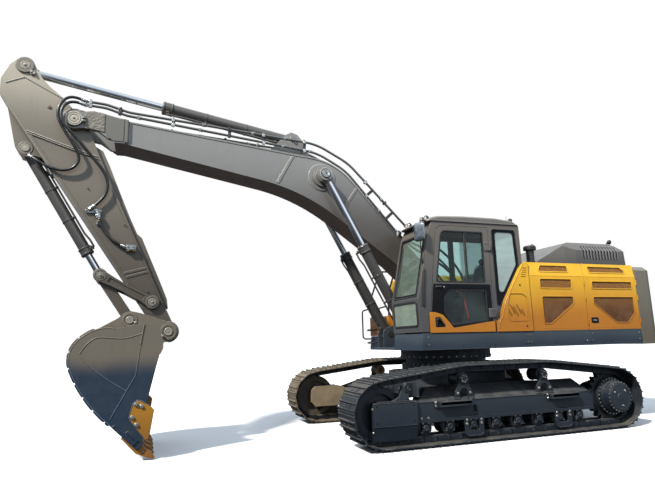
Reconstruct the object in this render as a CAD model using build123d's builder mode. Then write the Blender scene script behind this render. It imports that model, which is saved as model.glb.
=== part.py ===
from build123d import *
import os
from math import sin, cos, tan, pi, radians, degrees, atan2, hypot, sqrt, ceil

# Crawler excavator, 48-tonne class, millimetres.
# Origin on the ground below the slew axis, +X forward (towards the bucket),
# +Y to the machine's left (the cab side), +Z up.
os.makedirs("parts", exist_ok=True)

# ------------------------------------------------------------------ driving sizes
TRACK_GAUGE = 2890          # centre to centre of the two tracks
SHOE_WIDTH = 600
IDLER_X, SPROCKET_X = 2075, -2185   # idler and sprocket axles
AXLE_Z = 490                # idler and sprocket axle height
PITCH_R = 400               # chain pitch radius on both wheels
SHOES = 51                  # shoes on one track
SHOE_IN, SHOE_OUT, GROUSER = 48, 64, 90   # heights above the chain pitch line
RAIL_IN = -48               # rail tread below the pitch line
CARRIER_X = (700, -775)     # carrier rollers
CARRIER_R, CARRIER_TOP = 92, 1000
ROLLER_R, ROLLER_Z = 104, 247
ROLLER_X = [1370 - 398 * i for i in range(8)]
GUARD_X = (575, -1073)      # chain guides between the bottom rollers

SLEW_IN, SLEW_OUT = 640, 800
DECK_Z, SKIRT_Z = 1330, 1580      # deck underside, top of the side skirts
STEP_X = 770                      # front of the deck on the right, under the step box
HALF_W = 1495                     # upper structure half width
TAIL_R = 3800                     # tail swing radius
HOUSE_F, DOOR_SPLIT, HOUSE_R = -770, -1925, -3110
CREASE_Z, SHOULDER_Z = 2500, 2722

CAB_Y0, CAB_Y1 = 560, 1485        # cab inner and outer side
CAB_BACK, CAB_TOP = -660, 3330

# hinge points in the side plane (x, z)
BOOM_FOOT = (150, 2250)
BOOM_CYL_FOOT = (940, 1600)
BOOM_CYL_ROD = (2397, 4311)
ARM_HINGE = (6335, 4906)
ARM_CYL_FOOT = (2877, 5018)
ARM_CYL_ROD = (7061, 5715)
BUCKET_CYL_FOOT = (6984, 4437)
ROCKER_PIN = (5121, 2146)
LINK_TOP = (5860, 2540)
LINK_LOW = (5423, 1880)
BUCKET_HINGE = (4881, 1704)

BOOM_HALF = 280                   # boom box half width
ARM_HALF = 210                    # arm box half width
BOOM_CYL_Y = 420                  # boom cylinders' centre planes, left and right
TOW_EYE_R = 38                    # towing eyes of the centre frame, 50 thick
LIFT_EYE_R = 35                   # lifting eyes of the counterweight, 40 thick
FIT = 0.05                        # radial running clearance of a pin


# ------------------------------------------------------------------ small helpers
def side_shape(outline, y0, y1, mode=Mode.ADD, rounds=()):
    """Prism of a side-plane outline [(x, z)...] between two y planes.
    rounds: rows of (x, z, radius), the outline corners to be rounded."""
    with BuildSketch(Plane.XZ.offset(-y1)) as face:
        with BuildLine():
            Polyline(*outline, close=True)
        make_face()
        for x, z, r in rounds:
            fillet(face.vertices().sort_by_distance((x, z))[0], radius=r)
    extrude(face.sketch, amount=y1 - y0, mode=mode)


def disc(centre, r, y0, y1, mode=Mode.ADD):
    """Round boss, pin or hole along Y."""
    with BuildSketch(Plane.XZ.offset(-y1)) as face:
        with Locations(centre):
            Circle(r)
    extrude(face.sketch, amount=y1 - y0, mode=mode)


def block(x0, x1, y0, y1, z0, z1, mode=Mode.ADD):
    with Locations(((x0 + x1) / 2, (y0 + y1) / 2, (z0 + z1) / 2)):
        Box(x1 - x0, y1 - y0, z1 - z0, mode=mode)


def plan_shape(outline, z0, z1, mode=Mode.ADD):
    """Prism of a plan outline [(x, y)...] between two heights."""
    with BuildSketch(Plane.XY.offset(z0)) as face:
        with BuildLine():
            Polyline(*outline, close=True)
        make_face()
    extrude(face.sketch, amount=z1 - z0, mode=mode)


def front_shape(outline, x0, x1, mode=Mode.ADD):
    """Prism of a cross-section outline [(y, z)...] between two x planes."""
    with BuildSketch(Plane.YZ.offset(x0)) as face:
        with BuildLine():
            Polyline(*outline, close=True)
        make_face()
    extrude(face.sketch, amount=x1 - x0, mode=mode)


def sides(a, b):
    """The y ranges of a left and right pair lying between a and b."""
    return ((a, b), (-b, -a))


def free_bends(points):
    """Largest tangent arc at each corner: 0.45 of the shorter run over tan(half turn)."""
    out = []
    for a, p, b in zip(points, points[1:], points[2:]):
        u, v = Vector(*p) - Vector(*a), Vector(*b) - Vector(*p)
        out.append(0.45 * min(u.length, v.length) / tan(radians(u.get_angle(v)) / 2))
    return out


def pipe_run(points, radius, bends):
    """Round pipe or hose through points with tangent arcs at its corners."""
    with BuildLine() as path:
        FilletPolyline(*points, radius=bends)
    with BuildSketch(Plane(origin=path.line @ 0, z_dir=path.line % 0)) as section:
        Circle(radius)
    sweep(section.sketch, path=path.line)


def rounded_shape(outline, y0, y1, r, mode=Mode.ADD):
    """side_shape with every corner rounded by r."""
    with BuildSketch(Plane.XZ.offset(-y1)) as face:
        with BuildLine():
            Polyline(*outline, close=True)
        make_face()
        fillet(face.vertices(), radius=r)
    extrude(face.sketch, amount=y1 - y0, mode=mode)


def skin_shape(outline, s, lean, d0, d1, mode, grow=0, r=22):
    """Rounded outline [(x, z)...] on the house side s (1 left, -1 right), between depths
    d0 and d1 along the skin's normal, which leans back by lean above the crease."""
    skin = Plane(origin=(0, s * HALF_W, CREASE_Z), x_dir=(1, 0, 0), z_dir=(0, s * cos(lean), sin(lean)))
    with BuildSketch(skin.offset(d0)) as face:
        with BuildLine():
            Polyline(*[(x, -s * (z - CREASE_Z) / cos(lean)) for x, z in outline], close=True)
        make_face()
        fillet(face.vertices(), radius=r)
        if grow:
            offset(amount=grow, mode=Mode.REPLACE)
    extrude(face.sketch, amount=d1 - d0, mode=mode)


def save(part, name):
    part.part.label = name
    export_step(part.part, "parts/" + name + ".step")


def along(p, q, d):
    """Point at distance d from p towards q."""
    n = hypot(q[0] - p[0], q[1] - p[1])
    return (p[0] + (q[0] - p[0]) * d / n, p[1] + (q[1] - p[1]) * d / n)


def axis_plane(p, q, y, d=0):
    """Plane at distance d from p, facing q, both in the side plane at y."""
    n = hypot(q[0] - p[0], q[1] - p[1])
    u = ((q[0] - p[0]) / n, 0, (q[1] - p[1]) / n)
    return Plane(origin=(p[0] + u[0] * d, y, p[1] + u[2] * d), x_dir=(0, 1, 0), z_dir=u)


def barrel_piece(foot, rod, y, length, bore, wall, eye_r, eye_half, pin_r, gland):
    """Cylinder barrel from its foot eye towards the rod: tube, gland head and base."""
    with BuildSketch(axis_plane(foot, rod, y, pin_r + 14)) as base:
        Circle(bore + wall)
    extrude(base.sketch, amount=length - pin_r - 14)
    with BuildSketch(axis_plane(foot, rod, y, length - gland)) as head:
        Circle(bore + wall + 10)
    extrude(head.sketch, amount=gland)
    disc(foot, eye_r, y - eye_half, y + eye_half)
    disc(foot, pin_r + FIT, y - eye_half - 5, y + eye_half + 5, mode=Mode.SUBTRACT)


def bore_piece(foot, rod, y, length, bore, rod_r, eye_r, gland):
    """The barrel's inside: its bore up to the gland and the gland's running fit."""
    with BuildSketch(axis_plane(foot, rod, y, eye_r + 12)) as inside:
        Circle(bore)
    extrude(inside.sketch, amount=length - gland * 0.6 - eye_r - 12, mode=Mode.SUBTRACT)
    with BuildSketch(axis_plane(foot, rod, y, length - gland)) as lip:
        Circle(rod_r + FIT)
    extrude(lip.sketch, amount=gland + 5, mode=Mode.SUBTRACT)


def rod_piece(foot, rod, y, inner_end, rod_r, eye_r, eye_half):
    """Piston rod from inside the barrel to its eye, which keeps its own pin length."""
    length = hypot(rod[0] - foot[0], rod[1] - foot[1])
    with BuildSketch(axis_plane(foot, rod, y, inner_end)) as stick:
        Circle(rod_r)
    extrude(stick.sketch, amount=length - inner_end - eye_r * 0.4)
    disc(rod, eye_r, y - eye_half, y + eye_half)


# ------------------------------------------------------------------ track path
# The chain's pitch line: idler arc, bottom run, sprocket arc, and a top run
# carried by the two carrier rollers.
IDLER_C, SPROCKET_C = (IDLER_X, AXLE_Z), (SPROCKET_X, AXLE_Z)
TOP_Z = CARRIER_TOP - RAIL_IN      # pitch height over the carrier rollers


def tangent_top(centre, r, point, forward):
    """Tangent point on the top of a wheel for a straight run to a higher point."""
    dx, dz = point[0] - centre[0], point[1] - centre[1]
    d = hypot(dx, dz)
    base = atan2(dz, dx)
    turn = pi / 2 - (pi / 2 - 0) + 0
    a = base + (1 if forward else -1) * (pi / 2 - (pi / 2 - atan2(sqrt(d * d - r * r), r)))
    return (centre[0] + r * cos(a), centre[1] + r * sin(a))


FRONT_TOP = tangent_top(IDLER_C, PITCH_R, (CARRIER_X[0], TOP_Z), False)
REAR_TOP = tangent_top(SPROCKET_C, PITCH_R, (CARRIER_X[1], TOP_Z), True)


def arc_points(centre, r, a0, a1, n):
    return [(centre[0] + r * cos(a0 + (a1 - a0) * i / n), centre[1] + r * sin(a0 + (a1 - a0) * i / n)) for i in range(n + 1)]


def pitch_path():
    """Dense closed list of pitch-line points, counter-clockwise seen from the right."""
    a_front = atan2(FRONT_TOP[1] - IDLER_C[1], FRONT_TOP[0] - IDLER_C[0])
    a_rear = atan2(REAR_TOP[1] - SPROCKET_C[1], REAR_TOP[0] - SPROCKET_C[0])
    pts = arc_points(IDLER_C, PITCH_R, -pi / 2, a_front, 160)
    pts += [(CARRIER_X[0] + 60, TOP_Z - 2), (CARRIER_X[0] - 60, TOP_Z)]
    pts += [(CARRIER_X[1] + 60, TOP_Z), (CARRIER_X[1] - 60, TOP_Z - 2)]
    pts += arc_points(SPROCKET_C, PITCH_R, a_rear, 3 * pi / 2, 160)
    return pts


def path_stations(pts, count):
    """Equally spaced points along the closed path, so shoe ends meet."""
    closed = pts + [pts[0]]
    seg = [hypot(closed[i + 1][0] - closed[i][0], closed[i + 1][1] - closed[i][1]) for i in range(len(pts))]
    total = sum(seg)
    out, i, run = [], 0, 0.0
    # the first shoe joint is placed so that the bottom shoes lie flat
    for k in range(count):
        s = total * k / count
        while run + seg[i] < s:
            run += seg[i]
            i += 1
        t = (s - run) / seg[i]
        out.append((closed[i][0] + (closed[i + 1][0] - closed[i][0]) * t, closed[i][1] + (closed[i + 1][1] - closed[i][1]) * t))
    return out, total


JOINTS, PATH_LENGTH = path_stations(pitch_path(), SHOES)
print("track pitch", round(PATH_LENGTH / SHOES, 2), "loop", round(PATH_LENGTH))

# one shoe's outer outline, from its front joint to its rear joint: (share of pitch, height)
SHOE_OUTLINE = [  # along, above pitch line
    (0.025, SHOE_IN + 4), (0.025, SHOE_OUT), (0.10, SHOE_OUT), (0.13, GROUSER), (0.19, GROUSER), (0.22, SHOE_OUT),
    (0.56, SHOE_OUT), (0.59, GROUSER), (0.65, GROUSER), (0.68, SHOE_OUT), (0.975, SHOE_OUT), (0.975, SHOE_IN + 4)]


def shoe_loop():
    outer, inner = [], []
    for k in range(SHOES):
        p, q = JOINTS[k], JOINTS[(k + 1) % SHOES]
        n = hypot(q[0] - p[0], q[1] - p[1])
        t = ((q[0] - p[0]) / n, (q[1] - p[1]) / n)
        out = (t[1], -t[0])          # outward for a counter-clockwise path
        for share, h in SHOE_OUTLINE:
            outer.append((p[0] + t[0] * n * share + out[0] * h, p[1] + t[1] * n * share + out[1] * h))
        m = (p[0] + t[0] * n * 0.5, p[1] + t[1] * n * 0.5)
        inner.append((p[0] + t[0] * n * 0.06 + out[0] * SHOE_IN, p[1] + t[1] * n * 0.06 + out[1] * SHOE_IN))
        inner.append((p[0] + t[0] * n * 0.94 + out[0] * SHOE_IN, p[1] + t[1] * n * 0.94 + out[1] * SHOE_IN))
    return outer, inner


def rail_loop(stations, height):
    pts, n = [], len(stations)
    for k in range(n):
        a, p, q = stations[k - 1], stations[k], stations[(k + 1) % n]
        d = hypot(q[0] - a[0], q[1] - a[1])
        t = ((q[0] - a[0]) / d, (q[1] - a[1]) / d)
        pts.append((p[0] + t[1] * height, p[1] - t[0] * height))
    return pts


RAIL_STEPS, _ = path_stations(pitch_path(), SHOES * 3)
y_mid = TRACK_GAUGE / 2
outer, inner = shoe_loop()
with BuildPart() as left_track:
    with BuildSketch(Plane.XZ.offset(-(y_mid + SHOE_WIDTH / 2))) as band:
        with BuildLine():
            Polyline(*outer, close=True)
        make_face()
        with BuildLine():
            Polyline(*inner, close=True)
        make_face(mode=Mode.SUBTRACT)
    extrude(band.sketch, amount=SHOE_WIDTH)
    for y0, y1 in ((y_mid - 112, y_mid - 62), (y_mid + 62, y_mid + 112)):
        with BuildSketch(Plane.XZ.offset(-y1)) as rail:
            with BuildLine():
                Polyline(*rail_loop(JOINTS, SHOE_IN + 4), close=True)
            make_face()
            with BuildLine():
                Polyline(*rail_loop(RAIL_STEPS, RAIL_IN), close=True)
            make_face(mode=Mode.SUBTRACT)
        extrude(rail.sketch, amount=y1 - y0)
save(left_track, "left_track")

with BuildPart() as right_track:
    add(left_track.part.mirror(Plane.XZ))
save(right_track, "right_track")

# ------------------------------------------------------------------ undercarriage
TY = TRACK_GAUGE / 2
FRAME_IN, FRAME_OUT = TY - 215, TY + 170       # side frame's inner and outer walls
RIDGE_Z = 785                                  # top of its sloped roof, at the inner wall

with BuildPart() as track_frames:
    # long box of each side frame, its roof sloped up to the inner wall, and a lip along its lower edge
    for s in (1, -1):
        y0, y1 = sorted((s * FRAME_IN, s * FRAME_OUT))
        side_shape([(1560, 362), (1560, 570), (1500, 600), (-1640, 600), (-1700, 540), (-1700, 362)], y0, y1)
        front_shape([(s * FRAME_OUT, 598), (s * FRAME_IN, 598), (s * FRAME_IN, RIDGE_Z), (s * (FRAME_IN + 32), RIDGE_Z), (s * FRAME_OUT, 606)], -1640, 1500)
        plan_shape([(1501, s * (FRAME_OUT + 1)), (1100, s * (FRAME_IN - 1)), (1520, s * (FRAME_IN - 1)), (1520, s * (FRAME_OUT + 1))], 601, RIDGE_Z + 5, mode=Mode.SUBTRACT)
        ya, yb = sorted((s * (FRAME_OUT - 18), s * (FRAME_OUT + 14)))
        block(-1700, 1530, ya, yb, 326, 366)
        # idler housing: a box either side of the idler, folded in at its foot
        ya, yb = sorted((s * (TY - 235), s * (TY - 150)))
        side_shape([(1540, 300), (1540, 640), (1640, 665), (2120, 665), (2190, 600), (2190, 380), (2120, 300)], ya, yb)
        front_shape([(s * (TY + 150), 120), (s * (TY + 178), 120), (s * (TY + 222), 320), (s * (TY + 222), 628), (s * (TY + 208), 642), (s * (TY + 150), 642)], 1525, 2205)
    # sprocket end mounting plate, inboard of the sprocket, with the travel motor's hole
        ya, yb = sorted((s * (TY - 215), s * (TY - 130)))
        side_shape([(-1690, 372), (-1690, 590), (-1900, 700), (-2180, 760), (-2380, 640), (-2420, 490), (-2380, 340), (-2180, 220), (-1900, 300)], ya, yb)
        disc(SPROCKET_C, 172, ya - 1, yb + 1, mode=Mode.SUBTRACT)
    # two chain guides hung below each side frame, open in the middle
    for s in (1, -1):
        for x in GUARD_X:
            for a in (TY + 152, TY - 176):
                ya, yb = sorted((s * a, s * (a + 24)))
                side_shape([(x - 165, 364), (x - 150, 120), (x - 110, 90), (x + 110, 90), (x + 150, 120), (x + 165, 364)], ya, yb)
                rounded_shape([(x - 84, 380), (x - 92, 190), (x - 70, 168), (x + 70, 168), (x + 92, 190), (x + 84, 380)], ya - 1, yb + 1, 14, mode=Mode.SUBTRACT)
    # boarding steps
    for s in (1, -1):
        for x in (905, -1095):
            ya, yb = sorted((s * (FRAME_OUT - 1), s * (FRAME_OUT + 95)))
            block(x - 270, x + 270, ya, yb, 560, 598)
save(track_frames, "track_frames")

with BuildPart() as idlers:
    for s in (1, -1):
        y = s * TY
        disc(IDLER_C, 348, y - 112, y + 112)
        disc(IDLER_C, 372, y - 50, y + 50)
        disc(IDLER_C, 270, y + 60, y + 113, mode=Mode.SUBTRACT)
        disc(IDLER_C, 270, y - 113, y - 60, mode=Mode.SUBTRACT)
        disc(IDLER_C, 110, y - 146, y + 146)
save(idlers, "idlers")

with BuildPart() as sprockets:
    for s in (1, -1):
        y = s * TY
        teeth = []
        for k in range(23):
            a = 2 * pi * k / 23
            for da, r in ((-0.085, 362), (-0.035, 426), (0.035, 426), (0.085, 362)):
                teeth.append((SPROCKET_C[0] + r * cos(a + da), SPROCKET_C[1] + r * sin(a + da)))
        side_shape(teeth, y - 42, y + 42)
        disc(SPROCKET_C, 200, y - 43, y + 43, mode=Mode.SUBTRACT)
save(sprockets, "sprockets")

with BuildPart() as final_drives:
    # travel gearbox through the sprocket, with its cover outside
    for s in (1, -1):
        for r, a, b in ((170, TY - 330, TY - 60), (198, TY - 61, TY + 60), (300, TY + 59, TY + 110), (262, TY + 109, TY + 200), (242, TY + 199, TY + 266), (226, TY + 265, TY + 276)):
            ya, yb = sorted((s * a, s * b))
            disc(SPROCKET_C, r, ya, yb)
save(final_drives, "final_drives")

with BuildPart() as track_rollers:
    # eight bottom rollers and two carrier rollers a side
    for s in (1, -1):
        for x in ROLLER_X:
            y = s * TY
            disc((x, ROLLER_Z), ROLLER_R, y - 112, y - 58)
            disc((x, ROLLER_Z), ROLLER_R, y + 58, y + 112)
            disc((x, ROLLER_Z), 78, y - 60, y + 60)
            disc((x, ROLLER_Z), 40, y - 150, y + 150)
            for a in (y - 150, y + 118):
                block(x - 62, x + 62, a, a + 32, 200, 360)
    for s in (1, -1):
        for x in CARRIER_X:
            y = s * TY
            z = CARRIER_TOP - CARRIER_R - 5
            disc((x, z), CARRIER_R, y - 112, y + 112)
            disc((x, z), 45, y - 140, y + 140)
            ya, yb = sorted((s * (TY + 130), s * (TY + 176)))
            disc((x, z), 62, ya, yb)
            # horseshoe bracket on the frame's sloped roof
            ya, yb = sorted((s * (TY + 122), s * (TY + 156)))
            side_shape([(x - 150, 634), (x - 142, 720), (x - 84, 820), (x - 66, z + 20), (x - 40, z + 55), (x + 40, z + 55), (x + 66, z + 20),
                        (x + 84, 820), (x + 142, 720), (x + 150, 634), (x + 80, 634), (x + 72, 715), (x + 36, 768), (x - 36, 768), (x - 72, 715), (x - 80, 634)], ya, yb)
save(track_rollers, "track_rollers")

with BuildPart() as car_body:
    # centre box with four legs to the side frames and the slew ring's seat
    plan_shape([(900, 520), (900, -520), (620, -860), (-620, -860), (-900, -520), (-900, 520), (-620, 860), (620, 860)], 560, 940)
    for sx in (1, -1):
        for s in (1, -1):
            plan_shape([(sx * 700, s * 500), (sx * 1250, s * (FRAME_IN - 1)), (sx * 520, s * (FRAME_IN - 1)), (sx * 200, s * 700)], 420, 760)
    with Locations((0, 0, 1000)):
        Cylinder(790, 130)
    with Locations((0, 0, 800)):
        Cylinder(300, 600, mode=Mode.SUBTRACT)
    # box-section hollows of the centre frame
    for sx in (1, -1):
        for s in (1, -1):
            plan_shape([(sx * 860, s * 60), (sx * 860, s * 490), (sx * 590, s * 820), (sx * 330, s * 820), (sx * 330, s * 60)], 590, 905, mode=Mode.SUBTRACT)
    # towing eyes, front and rear
    for sx in (1, -1):
        for y0, y1 in sides(325, 375):
            side_shape([(sx * 880, 600), (sx * 1010, 600), (sx * 1045, 650), (sx * 1045, 730), (sx * 1010, 780), (sx * 880, 780)], y0, y1)
            disc((sx * 970, 690), TOW_EYE_R, y0 - 1, y1 + 1, mode=Mode.SUBTRACT)
save(car_body, "car_body")

with BuildPart() as slew_ring_lower:
    with Locations((0, 0, 1110)):
        Cylinder(SLEW_OUT - 90, 86)
        Cylinder(SLEW_IN - 60, 90, mode=Mode.SUBTRACT)
save(slew_ring_lower, "slew_ring_lower")

# ------------------------------------------------------------------ upper structure: deck
with BuildPart() as slew_ring_upper:
    with Locations((0, 0, 1244)):
        Cylinder(SLEW_OUT, 170)
        Cylinder(SLEW_IN, 180, mode=Mode.SUBTRACT)
save(slew_ring_upper, "slew_ring_upper")

with BuildPart() as deck_frame:
    # bottom plate
    plan_shape([(1240, 1440), (1240, -555), (STEP_X - 5, -555), (STEP_X - 5, -1440), (-3080, -1440), (-3080, 1440)], DECK_Z, DECK_Z + 36)
    # two main girders carrying boom foot and boom cylinder feet
    for y0, y1 in sides(290, 318):
        side_shape([(1080, 1366), (1080, 1640), (1020, 1720), (560, 1860), (360, 2330), (240, 2450), (60, 2450), (-60, 2330), (-420, 1800),
                    (-1100, 1520), (-3000, 1520), (-3000, 1366)], y0, y1)
    for y0, y1 in sides(517, 541):
        side_shape([(1080, 1366), (1080, 1640), (1020, 1720), (860, 1720), (760, 1600), (700, 1366)], y0, y1)
    for y0, y1 in sides(290, 338):
        disc(BOOM_FOOT, 170, y0, y1)
    for y0, y1 in sides(290, 324):
        disc(BOOM_CYL_FOOT, 105, y0, y1)
    for y0, y1 in sides(270, 545):
        disc(BOOM_FOOT, 65 + FIT, y0, y1, mode=Mode.SUBTRACT)
        disc(BOOM_CYL_FOOT, 55 + FIT, y0, y1, mode=Mode.SUBTRACT)
    block(-3045, -3010, -1300, 1300, 1366, 1560)
save(deck_frame, "deck_frame")

with BuildPart() as side_skirts:
    # rolled edge channels along both sides and the front corners
    for s, x in ((1, 1245), (-1, STEP_X)):
        y0, y1 = sorted((s * 1445, s * HALF_W))
        side_shape([(x + 55, DECK_Z), (x + 25, SKIRT_Z), (-3105, SKIRT_Z), (-3105, DECK_Z)], y0, y1)
        y0, y1 = sorted((s * 560, s * 1445))
        side_shape([(x + 55, DECK_Z), (x + 25, SKIRT_Z), (x, SKIRT_Z), (x, DECK_Z)], y0, y1)
save(side_skirts, "side_skirts")

with BuildPart() as upper_pins:
    disc(BOOM_FOOT, 65, -352, 352)
    for y0, y1 in sides(284, 549):
        disc(BOOM_CYL_FOOT, 55, y0, y1)
save(upper_pins, "upper_pins")

with BuildPart() as counterweight:
    # plan: straight front, tail on the swing radius, rounded corners
    x_side = -sqrt(TAIL_R ** 2 - HALF_W ** 2)
    with BuildSketch(Plane.XY.offset(1318)) as plan:
        with BuildLine():
            Polyline((x_side, HALF_W), (-3115, HALF_W), (-3115, -HALF_W), (x_side, -HALF_W))
            ThreePointArc((x_side, -HALF_W), (-TAIL_R, 0), (x_side, HALF_W))
        make_face()
        fillet(plan.vertices().group_by(Axis.X)[0], radius=170)
    extrude(plan.sketch, amount=2700 - 1318)
    top = counterweight.faces().sort_by(Axis.Z)[-1]
    chamfer(top.edges().sort_by(Axis.X)[:3], length=70)
    # cooling-air recess in its front
    block(-3380, -3100, -1150, 1150, 1560, 2560, mode=Mode.SUBTRACT)
    # lifting eyes
    for y0, y1 in sides(880, 920):
        side_shape([(-3590, 2690), (-3590, 2740), (-3545, 2790), (-3455, 2790), (-3410, 2740), (-3410, 2690)], y0, y1)
        disc((-3500, 2740), LIFT_EYE_R, y0 - 1, y1 + 1, mode=Mode.SUBTRACT)
save(counterweight, "counterweight")

with BuildPart() as engine_block:
    block(-2700, -1400, -430, 430, 1560, 2510)
save(engine_block, "engine_block")

# ------------------------------------------------------------------ cab
# side outline of the cab shell: (x, z)
CAB_SIDE = [(1290, 1600), (1305, 2110), (1075, 3170), (1000, CAB_TOP), (CAB_BACK, CAB_TOP), (CAB_BACK, 1600)]
CAB_IN = [(1235, 1640), (1248, 2100), (1025, 3130), (975, CAB_TOP - 50), (CAB_BACK + 50, CAB_TOP - 50), (CAB_BACK + 50, 1640)]
DOOR_OUT = [(1140, 1598), (1050, 2330), (925, 3262), (-30, 3262), (-20, 1598)]
QUARTER_WIN = [(-105, 3250), (-565, 3250), (-592, 2655), (-105, 1880)]

with BuildPart() as cab_frame:
    side_shape(CAB_SIDE, CAB_Y0, CAB_Y1)
    side_shape(CAB_IN, CAB_Y0 + 45, CAB_Y1 - 45, mode=Mode.SUBTRACT)
    # door opening and rear quarter window in the outer wall
    side_shape([(1147, 1590), (1057, 2330), (932, 3269), (-37, 3269), (-27, 1590)], CAB_Y1 - 41, CAB_Y1 + 10, mode=Mode.SUBTRACT, rounds=[(932, 3269, 132)])
    side_shape([(1085, 1660), (1000, 2330), (885, 3215), (20, 3215), (28, 1660)], CAB_Y1 - 60, CAB_Y1, mode=Mode.SUBTRACT, rounds=[(885, 3215, 90)])
    rounded_shape(QUARTER_WIN, CAB_Y1 - 60, CAB_Y1 + 10, 45, mode=Mode.SUBTRACT)
    # right-hand windows
    side_shape([(1130, 1850), (1150, 2120), (960, 3200), (150, 3200), (150, 1850)], CAB_Y0 - 10, CAB_Y0 + 60, mode=Mode.SUBTRACT)
    side_shape([(60, 2200), (60, 3200), (-560, 3200), (-560, 2200)], CAB_Y0 - 10, CAB_Y0 + 60, mode=Mode.SUBTRACT)
    # windscreen, lower front window and rear window
    front_shape([(CAB_Y0 + 60, 2135), (CAB_Y1 - 75, 2135), (CAB_Y1 - 75, 3150), (CAB_Y0 + 60, 3150)], 900, 1400, mode=Mode.SUBTRACT)
    front_shape([(CAB_Y0 + 60, 1690), (CAB_Y1 - 75, 1690), (CAB_Y1 - 75, 2070), (CAB_Y0 + 60, 2070)], 1150, 1400, mode=Mode.SUBTRACT)
    front_shape([(CAB_Y0 + 110, 2450), (CAB_Y1 - 110, 2450), (CAB_Y1 - 110, 3180), (CAB_Y0 + 110, 3180)], CAB_BACK - 10, CAB_BACK + 60, mode=Mode.SUBTRACT)
save(cab_frame, "cab_frame")

with BuildPart() as cab_roof:
    side_shape([(1075, CAB_TOP), (1030, CAB_TOP + 55), (880, CAB_TOP + 92), (420, CAB_TOP + 112), (-200, CAB_TOP + 112), (-560, CAB_TOP + 80), (-672, CAB_TOP)],
               CAB_Y0 + 12, CAB_Y1 + 2, rounds=[(880, CAB_TOP + 92, 300), (-560, CAB_TOP + 80, 200), (1030, CAB_TOP + 55, 60)])
    chamfer(cab_roof.faces().filter_by(Plane.XZ).edges().sort_by(Axis.Z)[-6:], length=24)
    side_shape([(1000, CAB_TOP + 12), (870, CAB_TOP + 72), (-470, CAB_TOP + 62), (-620, CAB_TOP + 12)], CAB_Y0 + 50, CAB_Y1 - 43, mode=Mode.SUBTRACT)
save(cab_roof, "cab_roof")

GLASS = 8
with BuildPart() as cab_glass:
    # windscreen follows the front slope
    side_shape([(1291, 2136), (1283, 2136), (1068, 3149), (1076, 3149)], CAB_Y0 + 61, CAB_Y1 - 76)
    side_shape([(1294, 1691), (1286, 1691), (1296, 2069), (1304, 2069)], CAB_Y0 + 61, CAB_Y1 - 76)
    rounded_shape([(-107, 3248), (-563, 3248), (-590, 2657), (-107, 1886)], CAB_Y1 - 20, CAB_Y1 - 20 + GLASS, 46)
    side_shape([(1129, 1851), (1149, 2119), (959, 3199), (151, 3199), (151, 1851)], CAB_Y0 + 12, CAB_Y0 + 12 + GLASS)
    side_shape([(59, 2201), (59, 3199), (-559, 3199), (-559, 2201)], CAB_Y0 + 12, CAB_Y0 + 12 + GLASS)
    block(CAB_BACK + 20, CAB_BACK + 20 + GLASS, CAB_Y0 + 111, CAB_Y1 - 111, 2451, 3179)
save(cab_glass, "cab_glass")

with BuildPart() as cab_door:
    side_shape(DOOR_OUT, CAB_Y1 - 38, CAB_Y1 + 4, rounds=[(925, 3262, 125)])
    side_shape([(855, 3190), (70, 3190), (85, 2360), (988, 2360)], CAB_Y1 - 45, CAB_Y1 + 10, mode=Mode.SUBTRACT, rounds=[(855, 3190, 100), (988, 2360, 25)])
    side_shape([(880, 1905), (865, 2140), (760, 2245), (85, 2245), (85, 1760), (745, 1700)], CAB_Y1 - 45, CAB_Y1 + 10, mode=Mode.SUBTRACT,
               rounds=[(865, 2140, 90), (760, 2245, 70), (880, 1905, 120)])
    # post between the two sliding panes, and the hinge knuckles
    block(398, 424, CAB_Y1 - 32, CAB_Y1 - 6, 2350, 3200)
    for z in (1880, 2950):
        with Locations((-34, 1512, z)):
            Cylinder(13, 130)
        block(-34, 24, 1487, 1506, z - 55, z + 55)
save(cab_door, "cab_door")

with BuildPart() as cab_door_panel:
    # cladding along the door's foot with the grab recess in its front corner
    side_shape([(1142, 1588), (1142, 1898), (1052, 1898), (920, 1858), (848, 1788), (735, 1655), (90, 1742), (-22, 1752), (-22, 1588)],
               CAB_Y1 + 5, CAB_Y1 + 24, rounds=[(1142, 1898, 20), (1052, 1898, 40), (920, 1858, 60), (735, 1655, 15)])
    rounded_shape([(1052, 1668), (1052, 1822), (965, 1822), (872, 1690), (885, 1668)], CAB_Y1 + 4, CAB_Y1 + 30, 18, mode=Mode.SUBTRACT)
save(cab_door_panel, "cab_door_panel")

with BuildPart() as cab_door_glass:
    side_shape([(854, 3189), (425, 3189), (425, 2361), (987, 2361)], CAB_Y1 - 20, CAB_Y1 - 20 + GLASS, rounds=[(854, 3189, 100), (987, 2361, 27)])
    side_shape([(397, 3189), (71, 3189), (86, 2361), (397, 2361)], CAB_Y1 - 20, CAB_Y1 - 20 + GLASS)
    side_shape([(879, 1906), (864, 2139), (759, 2244), (86, 2244), (86, 1761), (744, 1701)], CAB_Y1 - 20, CAB_Y1 - 20 + GLASS,
               rounds=[(864, 2139, 90), (759, 2244, 70), (879, 1906, 120)])
save(cab_door_glass, "cab_door_glass")

with BuildPart() as seat_base:
    block(-280, 330, 840, 1210, 1645, 1990)
    for y0, y1 in ((665, 800), (1235, 1370)):
        block(-150, 420, y0, y1, 1645, 2240)
save(seat_base, "seat_base")

with BuildPart() as seat:
    block(-260, 330, 815, 1220, 2000, 2140)
    side_shape([(-200, 2140), (-60, 2140), (-190, 2860), (-310, 2860)], 815, 1220)
save(seat, "seat")

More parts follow.
